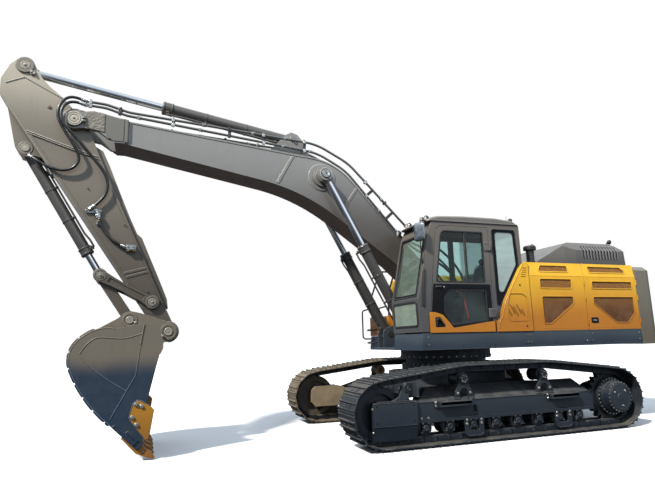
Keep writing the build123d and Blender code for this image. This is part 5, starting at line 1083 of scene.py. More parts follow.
# ---------------------------------------------------------------- rocker and link pins
rk = Piece("rocker_bosses", "rocker_body", M["casting"], "graphite_paint", 30)
lk = Piece("link_bosses", "link_body", M["casting"], "graphite_paint", 30)
kp = Piece("rocker_pin_caps", "rocker_body", M["cream"], "pin_steel", 30)
for s in (1, -1):
    for c, r in ((ROCKER_PIN, 96), (LINK_TOP, 88)):
        rk.add(lathe([(r, -10), (r, 0), (r - 5, 5), (r - 26, 5), (r - 30, 1), (52, 1)], 44), facing((c[0], s * 264, c[1]), (0, s, 0)))
    kp.cap((LINK_TOP[0], s * 264, LINK_TOP[1]), (0, s, 0), 50, 16, 2, 36)
    kp.bolt((LINK_TOP[0], s * 278, LINK_TOP[1]), (0, s, 0), 22)
rk.done()
kp.done()


# ---------------------------------------------------------------- flat shapes with holes
def rounded(points, r, k=6):
    """Closed 2-D outline with rounded corners; r is a number or one radius a corner."""
    pts = [Vector((p[0], p[1])) for p in points]
    n = len(pts)
    out = []
    for i in range(n):
        rr = r[i] if isinstance(r, (list, tuple)) else r
        a, b = pts[i - 1] - pts[i], pts[(i + 1) % n] - pts[i]
        la, lb = a.length, b.length
        a, b = a / la, b / lb
        ang = a.angle(b)
        if rr < 0.5 or ang > pi - 0.03:
            out.append((pts[i].x, pts[i].y))
            continue
        cut = min(rr / math.tan(ang / 2), la * 0.48, lb * 0.48)
        rr = cut * math.tan(ang / 2)
        c = pts[i] + (a + b).normalized() * (rr / sin(ang / 2))
        s, e = pts[i] + a * cut - c, pts[i] + b * cut - c
        w = s.angle(e)
        for j in range(k + 1):
            t = j / k
            q = c + (s * sin((1 - t) * w) + e * sin(t * w)) / sin(w)
            out.append((q.x, q.y))
    return out


def inset(outline, d):
    """2-D outline moved inwards by d (outwards if negative)."""
    pts = [Vector((p[0], p[1])) for p in outline]
    area = sum(pts[i].x * pts[(i + 1) % len(pts)].y - pts[(i + 1) % len(pts)].x * pts[i].y for i in range(len(pts)))
    sgn = 1 if area > 0 else -1
    n, out = len(pts), []
    for i in range(n):
        e0, e1 = (pts[i] - pts[i - 1]).normalized(), (pts[(i + 1) % n] - pts[i]).normalized()
        n0, n1 = Vector((-e0.y, e0.x)) * sgn, Vector((-e1.y, e1.x)) * sgn
        m = n0 + n1
        m = m.normalized() if m.length > 1e-6 else n0
        q = pts[i] + m * (d / max(0.35, m.dot(n0)))
        out.append((q.x, q.y))
    return out


def cutout(outer, holes, h, b=1.5):
    """Plate of thickness h with holes through it, its edges rounded by b; local Z is its thickness, from 0 to h."""
    cu = bpy.data.curves.new("cut", "CURVE")
    cu.dimensions = "2D"
    cu.fill_mode = "BOTH"
    for k, line in enumerate([outer] + list(holes)):
        # the bevel grows the plate, so its line is drawn in by as much
        ln = inset(line, b if k == 0 else -b)
        sp = cu.splines.new("POLY")
        sp.points.add(len(ln) - 1)
        for p, q in zip(sp.points, ln):
            p.co = (q[0], q[1], 0, 1)
        sp.use_cyclic_u = True
    cu.extrude = max(0.01, h / 2 - b)
    cu.bevel_depth = b
    cu.bevel_resolution = 1
    ob = bpy.data.objects.new("cut", cu)
    me = bpy.data.meshes.new_from_object(ob)
    v = [Vector((p.co.x, p.co.y, p.co.z + h / 2)) for p in me.vertices]
    f = [list(p.vertices) for p in me.polygons]
    bpy.data.objects.remove(ob)
    bpy.data.curves.remove(cu)
    bpy.data.meshes.remove(me)
    return v, f


def side_wall(shape, y, s=1):
    """Turns a flat shape drawn in (x, z) upright, standing out from Y = y towards s."""
    v, f = shape
    return [Vector((p.x, y + s * p.z, p.y)) for p in v], f


# ---------------------------------------------------------------- cab shell trim
WIN_UP = rounded([(855, 3190), (70, 3190), (85, 2360), (988, 2360)], [100, 30, 30, 30], 8)
WIN_LOW = rounded([(880, 1905), (865, 2140), (760, 2245), (85, 2245), (85, 1760), (745, 1700)], [120, 90, 70, 30, 30, 30], 8)
QUARTER = rounded([(-105, 3250), (-565, 3250), (-592, 2655), (-105, 1880)], 45, 8)

seal = Piece("door_window_seals", "cab_door_leaf", M["seal"], "black_plastic", 40)
seal.add(side_wall(cutout(inset(WIN_UP, -3), [inset(WIN_UP, 24)], 16, 5), 1476))
seal.add(side_wall(cutout(inset(WIN_LOW, -3), [inset(WIN_LOW, 20)], 16, 5), 1476))
seal.add(side_wall(cutout([(397, 2360), (425, 2360), (425, 3190), (397, 3190)], [], 8, 2), 1487))
seal.done()

dk = Piece("door_lower_cladding", "cab_door_leaf", M["gloss_black"], "black_plastic", 30)
dk.add(side_wall(cutout(rounded([(1040, 2335), (1096, 1900), (1050, 1902), (918, 1864), (844, 1792), (733, 1662), (90, 1748), (2, 1757), (6, 2335)], [14, 4, 30, 50, 10, 10, 4, 8, 14], 4), [inset(WIN_LOW, -6)], 9, 3), 1488))
dk.add(side_wall(cutout(rounded([(968, 1676), (1040, 1676), (1040, 1812), (972, 1812), (884, 1692), (896, 1676)], 14, 4), [], 5, 1), 1489))
dk.done()

# handle in the recess, release lever, catch and lock
dh = Piece("door_handle", "cab_door_leaf", M["plastic"], "black_plastic", 40)
dh.tube(arcs([(902, 1508, 1700), (975, 1516, 1795), (1030, 1516, 1795), (1030, 1508, 1690)], 18), 9, 12)
dh.block((955, 1504, 2286), (120, 34, 20), 7, (0, 1, 0))
dh.tube(arcs([(905, 1500, 2286), (905, 1514, 2286), (1000, 1514, 2286), (1000, 1500, 2286)], 8), 7, 10)
dh.done()
dz = Piece("door_lock", "cab_door_leaf", M["zinc"], "pin_steel", 30)
dz.add(lathe([(13, 0), (13, 5), (10, 7), (4, 7), (4, 4), (0, 4)], 20), facing((858, 1497, 2286), (0, 1, 0)))
dz.done()

dhg = Piece("door_hinge_covers", "cab_door_leaf", M["under_grey"], "cab_paint", 34)
for z in (1880, 2950):
    dhg.block((22, 1496, z), (96, 150, 16), 5, (0, 1, 0))
    for dx, dz_ in ((-22, 48), (26, 48), (-22, -48), (26, -48)):
        dhg.socket((20 + dx, 1504, z + dz_), (0, 1, 0), 12)
dhg.done()
hg = Piece("cab_hinge_covers", "upper_structure", M["under_grey"], "cab_paint", 34)
for z in (1880, 2950):
    hg.block((-66, 1492, z), (40, 150, 14), 5, (0, 1, 0))
    hg.add(lathe([(18, -40), (19, -36), (19, 36), (18, 40)], 20), facing((-60, 1500, z), (0, 0, 1)))
hg.done()

# cab body seals: quarter window print and seal
cs_ = Piece("quarter_window_print", "upper_structure", M["gloss_black"], "black_plastic", 40)
cs_.add(side_wall(cutout(inset(QUARTER, 3), [rounded([(-172, 3205), (-520, 3205), (-545, 2672), (-172, 2085)], 55, 8)], 5, 1), 1473.5))
cs_.done()
sl = Piece("quarter_window_seal", "upper_structure", M["seal"], "black_plastic", 40)
sl.add(side_wall(cutout(inset(QUARTER, -4), [inset(QUARTER, 10)], 14, 4), 1477))
sl.done()

# windscreen and lower front window: frames, seals and wiper
def front_frame(name, p0, p1, y0, y1, width, h, mat, body="upper_structure", slot="black_plastic", r=60):
    """Ring lying on the front slope between side-plane points p0 (low) and p1 (high)."""
    n = hypot(p1[0] - p0[0], p1[1] - p0[1])
    up = Vector((p1[0] - p0[0], 0, p1[1] - p0[1])) / n
    nor = Vector((up.z, 0, -up.x))
    out = rounded([(-(y1 - y0) / 2, 0), ((y1 - y0) / 2, 0), ((y1 - y0) / 2, n), (-(y1 - y0) / 2, n)], r, 6)
    p = Piece(name, body, mat, slot, 40)
    m = Matrix((Vector((0, 1, 0)), up, nor)).transposed().to_4x4()
    m.translation = Vector((p0[0], (y0 + y1) / 2, p0[1]))
    v, f = cutout(out, [inset(out, width)], h, 4)
    p.add((v, f), m)
    p.done()
    return m, n


m_ws, n_ws = front_frame("windscreen_seal", (1287, 2128), (1070, 3156), 612, 1418, 34, 17, M["seal"])
front_frame("windscreen_print", (1290, 2150), (1078, 3140), 634, 1396, 40, 5, M["gloss_black"], r=50)
front_frame("lower_window_seal", (1291, 1682), (1302, 2077), 612, 1418, 30, 15, M["seal"])

wp = Piece("wiper", "upper_structure", M["plastic"], "black_plastic", 36)
pivot = m_ws @ Vector((-330, 20, 22))
elbow = m_ws @ Vector((-300, 60, 34))
tip = m_ws @ Vector((-296, 640, 26))
wp.add(lathe([(24, -14), (24, 4), (20, 12), (10, 18), (0, 18)], 24), facing(pivot, m_ws.to_3x3() @ Vector((0, 0, 1))))
wp.tube([pivot, elbow, m_ws @ Vector((-298, 400, 34)), tip], [9, 8, 6, 5], 8)
wp.tube([m_ws @ Vector((-292, 250, 14)), m_ws @ Vector((-296, 620, 13)), m_ws @ Vector((-300, 900, 14))], 7, 8)
wp.tube([m_ws @ Vector((-292, 250, 22)), m_ws @ Vector((-300, 900, 22))], 4, 6)
wp.done()

# the front step grip
hr = Piece("cab_grab_rails", "upper_structure", M["black"], "black_plastic", 40)
hr.tube(arcs([(1148, 1478, 2260), (1168, 1512, 2262), (1040, 1512, 2900), (1020, 1480, 2898)], 24), 12, 12) if False else None
hr.tube(arcs([(1215, 1478, 1990), (1240, 1505, 1994), (1195, 1505, 2560), (1165, 1478, 2556)], 22), 11, 12)
hr.done()

# roof: dark cover sheet with ribs, gutters, lamps, aerial and camera
rf = Piece("roof_cover", "upper_structure", M["gloss_black"], "black_plastic", 30)
prof = [(905, 3430), (640, 3446), (300, 3450), (-40, 3450), (-330, 3438), (-520, 3420)]
for i in range(7):
    y = 660 + 118 * i
    w = 34
    v, f = [], []
    line = [(x, z - 14) for x, z in prof]
    for (x, z) in line:
        v += [Vector((x, y - w, z)), Vector((x, y - w + 10, z + 12)), Vector((x, y + w - 10, z + 12)), Vector((x, y + w, z))]
    for k in range(len(line) - 1):
        a, b = 4 * k, 4 * (k + 1)
        f += [[a, a + 1, b + 1, b], [a + 1, a + 2, b + 2, b + 1], [a + 2, a + 3, b + 3, b + 2]]
    f += [[0, 3, 2, 1], [len(v) - 4, len(v) - 3, len(v) - 2, len(v) - 1]]
    f += [[4 * k, 4 * k + 4, 4 * k + 7, 4 * k + 3] for k in range(len(line) - 1)]
    rf.add((v, f))
rf.done()

gut = Piece("roof_gutter", "upper_structure", M["cab"], "cab_paint", 34)
gut.tube(arcs([(1085, 640, 3338), (1085, 1430, 3338), (1030, 1490, 3340), (-620, 1490, 3340), (-678, 1430, 3338), (-678, 640, 3338), (-620, 566, 3338), (1030, 566, 3338)], 46)[:-1], 13, 10)
gut.done()

lamps = Piece("work_lamp_bodies", "upper_structure", M["plastic"], "black_plastic", 36)
lens = Piece("work_lamp_lenses", "upper_structure", M["lens"], "glass", 36)
lring = Piece("work_lamp_rims", "upper_structure", M["zinc"], "pin_steel", 36)


def lamp(pos, direction, r=52, body=None):
    """Round work lamp with finned back, rim, ribbed lens and yoke bracket."""
    m = facing(pos, direction)
    bl, ll, rl = (lamps, lens, lring) if body is None else body
    bl.add(lathe([(0, -r * 1.25), (r * 0.45, -r * 1.25), (r * 0.62, -r * 1.0), (r * 0.9, -r * 0.55), (r, -r * 0.2), (r * 1.04, 0), (r * 1.04, 6), (r * 0.93, 8), (r * 0.93, 2)], 32), m)
    for k in range(4):
        bl.add(lathe([(r * (0.74 + 0.1 * k), -r * (0.95 - 0.2 * k)), (r * (0.84 + 0.1 * k), -r * (0.95 - 0.2 * k)), (r * (0.84 + 0.1 * k), -r * (0.88 - 0.2 * k)), (r * (0.74 + 0.1 * k), -r * (0.88 - 0.2 * k))], 28), m)
    ll.add(lathe([(r * 0.92, 0), (r * 0.92, 3), (r * 0.6, 8), (0, 11)], 32), m)
    rl.add(lathe([(r * 0.92, 1), (r * 0.92, 9), (r * 0.99, 9), (r * 0.99, 1)], 32), m)
    bl.tube([m @ Vector((r * 1.06, 0, -r * 0.3)), m @ Vector((r * 1.12, -r * 0.9, -r * 0.35)), m @ Vector((r * 0.6, -r * 1.45, -r * 0.4)), m @ Vector((-r * 0.6, -r * 1.45, -r * 0.4)), m @ Vector((-r * 1.12, -r * 0.9, -r * 0.35)), m @ Vector((-r * 1.06, 0, -r * 0.3))], r * 0.09, 8)


for y, x in ((1340, 1018), (1225, 1030), (790, 1030), (690, 1018)):
    lamp((x, y, 3402), (1, 0, -0.10), 44)
lamp((1105, 520, 3318), (1, -0.1, -0.12), 50)
# the near front corner lamp and the amber beacon
lamp((-600, 1380, 3432), (-1, 0.2, -0.2), 40)
lamps.block((-560, 1150, 3436), (120, 90, 40), 10)
lamps.add(lathe([(9, 0), (7, 30), (3.5, 36), (3, 110), (0, 112)], 12), facing((-575, 1300, 3425), (0, 0, 1)))
lamps.add(lathe([(26, 0), (27, 4), (27, 34), (20, 44), (0, 46)], 24), facing((-610, 1240, 3405), (0, 0, 1)))
beacon = Piece("beacon", "upper_structure", M["amber"], "glass", 36)
beacon.add(lathe([(52, 0), (54, 6), (53, 60), (44, 92), (24, 108), (0, 112)], 32), facing((-420, 760, 3452), (0, 0, 1)))
beacon.done()
lamps.add(lathe([(62, -18), (62, 0), (58, 6), (0, 6)], 32), facing((-420, 760, 3452), (0, 0, 1)))

# mirror: shell, glass and arms
mb = Piece("mirror_shell", "upper_structure", M["mirror_shell"], "black_plastic", 40)
mg = Piece("mirror_glass", "upper_structure", M["mirror"], "chrome", 30)
mr = Piece("mirror_arms", "upper_structure", M["black"], "black_plastic", 40)
MX = 1262


def shell(p, c, w, h, d, direction, r=38):
    """Rounded mirror back, domed towards direction."""
    m = facing(c, direction)
    rings = []
    v, f = [], []
    for t, zz in ((1.0, 0), (1.0, d * 0.45), (0.94, d * 0.75), (0.80, d * 0.93), (0.45, d)):
        rr = round_rect(w * t, h * t, r * t, 5)
        rings.append(len(v))
        v += [Vector((x, y, zz)) for x, y in rr]
        n = len(rr)
    for a, b in zip(rings, rings[1:]):
        f += [[a + i, a + (i + 1) % n, b + (i + 1) % n, b + i] for i in range(n)]
    f += [list(reversed(range(n))), [rings[-1] + i for i in range(n)]]
    p.add((v, f), m)


shell(mb, (MX - 14, 1530, 3130), 176, 296, 34, (0.82, 0.57, 0.0))
v, f = slab(round_rect(160, 280, 32, 5), 3, 1)
mg.add((v, f), facing((MX - 15, 1529, 3130), (-0.82, -0.57, 0)))
mr.tube(arcs([(1058, 1440, 3300), (1120, 1500, 3330), (1230, 1530, 3318), (1242, 1530, 3250)], 40), 10, 10)
mr.tube(arcs([(1190, 1462, 2640), (1215, 1500, 2700), (1246, 1528, 2920), (1246, 1530, 3000)], 60), 9, 10)
mr.add(lathe([(17, -18), (19, -14), (19, 14), (17, 18)], 20), facing((1245, 1530, 3262), (0, 0, 1)))
mbo = mb.done()
stand_for(mbo, "mirrors")
mg.done()
mr.done()

# ---------------------------------------------------------------- cab inside
ci = Piece("cab_trim", "upper_structure", M["trim"], "black_plastic", 36)
cd = Piece("cab_controls", "upper_structure", M["plastic"], "black_plastic", 40)
cr = Piece("cab_red_parts", "upper_structure", M["red"], "black_plastic", 40)
# rear shelf, air box, right-hand console wall and headliner
ci.block((-470, 1020, 2150), (260, 720, 560), 24)
ci.block((-490, 1020, 2440), (220, 640, 90), 20)
ci.block((520, 660, 1900), (900, 80, 500), 22)
ci.block((1120, 1015, 1760), (150, 760, 220), 26)
for x in (250, 470, 690):
    v, f = slab(round_rect(150, 26, 10, 3), 6, 2)
    cd.add((v, f), facing((x, 702, 2060), (0, 1, 0)))
ci.block((200, 1020, 3262), (1200, 760, 24), 10)
# monitor on its stalk
cd.block((960, 740, 2420), (36, 210, 150), 12, (1, 0, 0.15), pi / 2)
cd.tube(arcs([(930, 700, 2150), (960, 700, 2260), (965, 740, 2350)], 30), 12, 10)
# steering column with the travel pedals and levers
cd.tube(arcs([(930, 1020, 1660), (880, 1020, 2050), (760, 1020, 2330)], 60), [34, 33, 32, 31, 30, 30, 28, 26, 26][:len(arcs([(930, 1020, 1660), (880, 1020, 2050), (760, 1020, 2330)], 60))], 14)
wheel_c, wheel_n = Vector((742, 1020, 2372)), Vector((-0.45, 0, 0.89)).normalized()
mw = facing(wheel_c, wheel_n)
cd.add(sweep([mw @ Vector((188 * cos(2 * pi * k / 40), 188 * sin(2 * pi * k / 40), 0)) for k in range(40)], 14, 10, closed=True))
for k in range(3):
    a = 2 * pi * k / 3 + 0.5
    cd.tube([mw @ Vector((30 * cos(a), 30 * sin(a), -14)), mw @ Vector((120 * cos(a), 120 * sin(a), -10)), mw @ Vector((184 * cos(a), 184 * sin(a), 0))], [16, 13, 10], 8)
cd.add(lathe([(48, -24), (52, -10), (44, 6), (0, 10)], 28), mw)
for y in (930, 1110):
    cd.tube(arcs([(900, y, 1650), (850, y, 1900), (800, y, 2120)], 120), 9, 8)
    cd.add(lathe([(16, 0), (20, 14), (19, 46), (12, 58), (0, 60)], 16), facing((800, y, 2110), (-0.15, 0, 1)))
    v, f = slab(round_rect(190, 92, 14, 3), 12, 3)
    cd.add((v, f), facing((900, y, 1690), (-0.5, 0, 0.87)))
# joysticks on the two arm boxes
for y in (735, 1300):
    cd.add(lathe([(46, 0), (44, 8), (30, 26), (18, 46), (13, 60)], 24), facing((330, y, 2240), (0.08, 0, 1)))
    cd.tube([(336, y, 2290), (345, y, 2350)], 11, 10)
    cd.add(lathe([(17, 0), (24, 12), (25, 40), (22, 74), (27, 96), (24, 112), (0, 118)], 18), facing((345, y, 2340), (0.12, 0, 1)))
    cd.block((60, y, 2264), (400, 108, 40), 14)
    ci.block((110, y, 2222), (520, 128, 30), 10)
cr.add(lathe([(9, 0), (9, 20), (22, 26), (26, 40), (22, 54), (0, 58)], 20), facing((250, 1300, 2268), (0.2, 0, 1)))
cr.tube([tuple(p) for p in nurbs([(440, 1392, 2170), (446, 1404, 2080), (430, 1412, 1980), (400, 1408, 1900), (388, 1400, 1800)], 6)], 11, 10)
cr.block((452, 1392, 2196), (46, 20, 60), 7, (0, 0, 1))
ci.done()
cd.done()
cr.done()


def cushion(name, size, place, cap):
    """Padded seat part: a rounded form swelled by cloth simulation inside its cover."""
    w, d, h = size
    v, f = brick(w, d, h, min(38, h * 0.36), 6)
    me = bpy.data.meshes.new(name)
    me.from_pydata([(place @ Vector((p.x, p.y, p.z - h / 2))) * MM for p in v], [], f)
    ob = bpy.data.objects.new(name, me)
    scn.collection.objects.link(ob)
    bpy.context.view_layer.objects.active = ob
    rm = ob.modifiers.new("remesh", "REMESH")
    rm.mode, rm.voxel_size = "VOXEL", 0.006
    dg = bpy.context.evaluated_depsgraph_get()
    base = bpy.data.meshes.new_from_object(ob.evaluated_get(dg))
    ob.modifiers.clear()
    ob.data = base
    rest = [v_.co.copy() for v_ in base.vertices]
    cl_ = ob.modifiers.new("cloth", "CLOTH")
    st = cl_.settings
    st.quality = 5
    st.use_pressure = True
    st.uniform_pressure_force = 4.0
    st.effector_weights.gravity = 0.0
    st.tension_stiffness = st.compression_stiffness = 8
    st.bending_stiffness = 0.6
    cl_.point_cache.frame_start, cl_.point_cache.frame_end = 1, 20
    for fr in range(1, 21):
        scn.frame_set(fr)
    dg = bpy.context.evaluated_depsgraph_get()
    done = bpy.data.meshes.new_from_object(ob.evaluated_get(dg))
    ob.modifiers.clear()
    for v_, q in zip(done.vertices, rest):
        mv = v_.co - q
        if mv.length > cap:
            v_.co = q + mv * (cap / mv.length)
    ob.data = done
    scn.frame_set(1)
    ob.data.polygons.foreach_set("use_smooth", [True] * len(ob.data.polygons))
    ob.data.materials.clear()
    ob.data.materials.append(M["cloth"])
    sm = ob.modifiers.new("smooth", "SMOOTH")
    sm.iterations, sm.factor = 3, 0.5
    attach(ob, "upper_structure")
    return ob


tilt = facing((20, 1018, 2075), (-0.05, 0, 1), 0.0, (1, 0, 0))
c1 = cushion("seat_cushion", (388, 560, 118), tilt, 0.012)
lean = Vector((-122, 0, 720)).normalized()
mb_ = facing((-186, 1018, 2440), (lean.z, 0, -lean.x), 0.0, (0, 0, 1))
c2 = cushion("seat_backrest", (380, 560, 100), mb_, 0.012)
mh_ = facing((-262, 1018, 2790), (lean.z, 0, -lean.x), 0.0, (0, 0, 1))
c3 = cushion("seat_headrest", (260, 110, 76), mh_, 0.010)
stand_for(c1, "seat")
sp = Piece("seat_piping", "upper_structure", M["cloth_dark"], "seat_cloth", 60)
for m_, w, d, h in ((tilt, 388, 560, 118), (mb_, 380, 560, 100)):
    line = [m_ @ Vector((x, y, h / 2 - 20)) for x, y in round_rect(w + 6, d + 6, 58, 6)]
    sp.tube(line, 4.5, 8, closed=True)
    for x in (-w / 6, w / 6):
        sp.tube([m_ @ Vector((x, y, h / 2 + 6)) for y in (-d * 0.36, -d * 0.18, 0, d * 0.18, d * 0.36)], 3, 6)
sp.done()
sb = Piece("seat_shell", "upper_structure", M["trim"], "black_plastic", 36)
sb.block((-240, 1018, 2430), (400, 60, 700), 18, (0, 0, 1), pi / 2) if False else None
v, f = brick(400, 600, 26, 10)
sb.add((v, f), facing((-240, 1018, 2440), (lean.z, 0, -lean.x), 0.0, (0, 0, 1)))
for s in (1, -1):
    sb.tube(arcs([(-150, 1018 + s * 225, 2330), (120, 1018 + s * 228, 2345), (180, 1018 + s * 228, 2335)], 30), 22, 10)
    sb.tube([(-274, 1018 + s * 60, 2700), (-284, 1018 + s * 60, 2790)], 7, 8)
sb.done()


# ---------------------------------------------------------------- side doors: screens, rims, latches
HALF_W, CREASE_Z, SHOULDER_Z, SKIRT_Z, HOUSE_F, DOOR_SPLIT, HOUSE_R = 1495, 2500, 2722, 1580, -770, -1925, -3110
LEAN = atan2(35, SHOULDER_Z - CREASE_Z)
GRILLES = [(LEAN, [(-975, 2570), (-1035, 2672), (-1592, 2672), (-1612, 2570)]), (0, [(-985, 2290), (-985, 2440), (-1640, 2440), (-1640, 2290)]),
           (0, [(-1000, 1705), (-1000, 2146), (-1648, 2146), (-1648, 2030), (-1140, 1705)]), (LEAN, [(-2040, 2672), (-2782, 2668), (-2925, 2570), (-2080, 2570)]),
           (0, [(-2094, 2290), (-2094, 2410), (-3000, 2410), (-3000, 2290)]), (0, [(-2094, 2030), (-2094, 2141), (-3000, 2141), (-3000, 1870), (-2828, 1705), (-2570, 1705)])]


def skin_frame(s, lean):
    m = Matrix((Vector((1, 0, 0)), Vector((0, -s * sin(lean), cos(lean))), Vector((0, s * cos(lean), sin(lean))))).transposed().to_4x4()
    m.translation = Vector((0, s * HALF_W, CREASE_Z))
    return m


def clip(poly, p, d):
    """The stretch of the line p + t d inside a convex outline."""
    lo, hi = -1e9, 1e9
    area = sum(poly[i].x * poly[(i + 1) % len(poly)].y - poly[(i + 1) % len(poly)].x * poly[i].y for i in range(len(poly)))
    sg = 1 if area > 0 else -1
    for i in range(len(poly)):
        a, b = poly[i], poly[(i + 1) % len(poly)]
        e = b - a
        n = Vector((-e.y, e.x)) * sg
        den, num = n.dot(d), n.dot(a - p)
        if abs(den) < 1e-9:
            if num > 0:
                return None
        elif den > 0:
            lo = max(lo, num / den)
        else:
            hi = min(hi, num / den)
    return (lo, hi) if hi - lo > 1 else None


def screen(p, outline, m, depth, pitch=15, r=1.7, angles=(0.62, -0.62)):
    """Woven wire screen cut to a convex outline, lying at depth on the skin."""
    poly = [Vector((x, y)) for x, y in outline]
    for k, ang in enumerate(angles):
        d = Vector((cos(ang), sin(ang)))
        n = Vector((-d.y, d.x))
        ts = [q.dot(n) for q in poly]
        t = math.floor(min(ts) / pitch) * pitch
        while t < max(ts):
            c = clip(poly, n * t, d)
            if c:
                a, b = n * t + d * c[0], n * t + d * c[1]
                z = depth + (r * 0.8 if k else -r * 0.8)
                p.add(sweep([(a.x, a.y, z), (b.x, b.y, z)], r, 4, caps=False), m)
            t += pitch


for body, s, bays in (("front_side_door", 1, (0, 1, 2)), ("rear_side_door", 1, (3, 4, 5)), ("right_side_door", -1, (3, 4, 5))):
    rim = Piece(body + "_grille_rims", body, M["yellow"], "yellow_paint", 40)
    net = Piece(body + "_screens", body, M["mesh"], "yellow_paint", 80)
    pad_ = Piece(body + "_screen_backs", body, M["mesh_back"], "yellow_paint", 30)
    scr = Piece(body + "_screen_rivets", body, M["steel"], "pin_steel", 30)
    for b in bays:
        lean, corners = GRILLES[b]
        m = skin_frame(s, lean)
        flat = [(x, (z - CREASE_Z) / cos(lean)) for x, z in corners]
        o = rounded(flat, 22, 5)
        rim.add(cutout(inset(o, -15), [inset(o, 4)], 9, 3.5), m @ Matrix.Translation((0, 0, -2)))
        inner = inset(flat, 3)
        screen(net, inner, m, -7.5)
        v, f = slab(inset(o, 1), 1.5, 0.5)
        pad_.add((v, f), m @ Matrix.Translation((0, 0, -13.8)))
        for q in inset(o, 12)[::3]:
            scr.add(lathe([(5, 0), (5, 1.5), (3, 3), (0, 3.2)], 8), m @ Matrix.Translation((q[0], q[1], -5)))
    rim.done()
    net.done()
    pad_.done()
    scr.done()

lt = Piece("door_latches", "rear_side_door", M["gloss_black"], "black_plastic", 36)
lz = Piece("door_latch_levers", "rear_side_door", M["zinc"], "pin_steel", 36)
lt.add(side_wall(cutout(round_rect(152, 92, 12, 4), [round_rect(112, 56, 8, 3)], 7, 2), HALF_W - 1))
lt.v[-1:] = lt.v[-1:]
for k in range(len(lt.v)):
    lt.v[k] = lt.v[k] + Vector((-2075, 0, 1745))
lt.add(side_wall(([Vector((x, y, 0)) for x, y in round_rect(114, 58, 8, 3)], [list(range(16))]), HALF_W + 0.6))
for k in range(len(lt.v) - 16, len(lt.v)):
    lt.v[k] = lt.v[k] + Vector((-2075, 0, 1745))
lz.block((-2085, HALF_W + 3, 1745), (58, 24, 8), 3, (0, 1, 0))
lz.add(lathe([(11, 0), (11, 4), (8, 6), (3, 6), (3, 3), (0, 3)], 16), facing((-2036, HALF_W + 1, 1745), (0, 1, 0)))
lt.done()
lz.done()
lt2 = Piece("right_door_latch", "right_side_door", M["gloss_black"], "black_plastic", 36)
lt2.block((-2060, -HALF_W - 2, 1745), (150, 92, 8), 3, (0, -1, 0))
lt2.tube(arcs([(-2110, -HALF_W - 4, 1745), (-2105, -HALF_W - 14, 1745), (-2010, -HALF_W - 14, 1745), (-2005, -HALF_W - 4, 1745)], 6), 6, 8)
lt2.done()

# dished press lines along the top and bottom of each door leaf
ed = Piece("front_door_press_lines", "front_side_door", M["yellow"], "yellow_paint", 50)
ed2 = Piece("rear_door_press_lines", "rear_side_door", M["yellow"], "yellow_paint", 50)
ed3 = Piece("right_door_press_lines", "right_side_door", M["yellow"], "yellow_paint", 50)
for p, x0, x1, s in ((ed, -1900, -800, 1), (ed2, -3082, -1952, 1), (ed3, -3082, -1952, -1)):
    p.add(sweep([(x0, s * (HALF_W - 1), 2494), (x1, s * (HALF_W - 1), 2494)], 4, 8))
    p.add(sweep(arcs([(x0, s * (HALF_W - 1), 1622), (x1, s * (HALF_W - 1), 1622)], 4), 3.2, 8))
ed.done()
ed2.done()
ed3.done()

# quarter panel behind the cab: rim bead, slats, slots, plugs
QY = 1510
qp = Piece("quarter_panel_pressings", "upper_structure", M["yellow"], "yellow_paint", 44)
qd = Piece("quarter_panel_slots", "upper_structure", M["mesh_back"], "yellow_paint", 44)
qk = Piece("quarter_panel_plugs", "upper_structure", M["plastic"], "black_plastic", 44)
rimline = [(-100, QY, 1640), (-105, QY, 1745), (-170, QY, 1805), (-192, QY, 1900), (-262, QY, 2085), (-420, QY, 2330), (-590, QY, 2590), (-640, QY, 2670)]
qp.add(sweep([tuple(p) for p in nurbs(rimline, 8)], 8, 8, squash=0.6))
rec = rounded([(-305, 1760), (-290, 2010), (-350, 2190), (-585, 2190), (-680, 2130), (-660, 1760)], 30, 5)
qp.add(side_wall(cutout(inset(rec, -16), [inset(rec, 2)], 7, 3), QY - 2))
for k in range(5):
    a = Vector((-610 + 62 * k, 1835 + 34 * (k % 2)))
    b = a + Vector((88, 150))
    if k == 0:
        b = a + Vector((60, 108))
    d = (b - a).normalized()
    n = Vector((-d.y, d.x))
    L = (b - a).length
    out = [(a + d * x + n * y) for x, y in round_rect(L, 20, 9.5, 4)]
    cen = (b - a) / 2
    out = [(p.x + cen.x - 0, p.y + cen.y) for p in out]
    v, f = slab(out, 2.0, 0.6)
    qd.add(([Vector((p.x, QY - 5 + p.z + 0.4, p.y)) for p in v], f))
    lip = [Vector((a.x, QY - 3, a.y)) - Vector((n.x, 0, n.y)) * 13, Vector((b.x, QY - 3, b.y)) - Vector((n.x, 0, n.y)) * 13]
    qp.add(sweep(lip, 6, 8))
for k in range(5):
    z = 2470 + 36 * k
    x = -640 - 10 * k
    v, f = slab(round_rect(88, 11, 5, 3), 1.6, 0.4)
    qd.add(([Vector((x + p.x, QY + p.z - 0.4, z + p.y)) for p in v], f))
    qp.add(sweep([(x - 48, QY, z + 9), (x + 48, QY, z + 9)], 5.5, 8))
for x, z in ((-560, 2330), (-632, 1668)):
    qk.add(lathe([(15, 0), (16, 3), (13, 6), (6, 6), (5, 3), (0, 3)], 20), facing((x, QY, z), (0, 1, 0)))
qp.done()
qd.done()
qk.done()

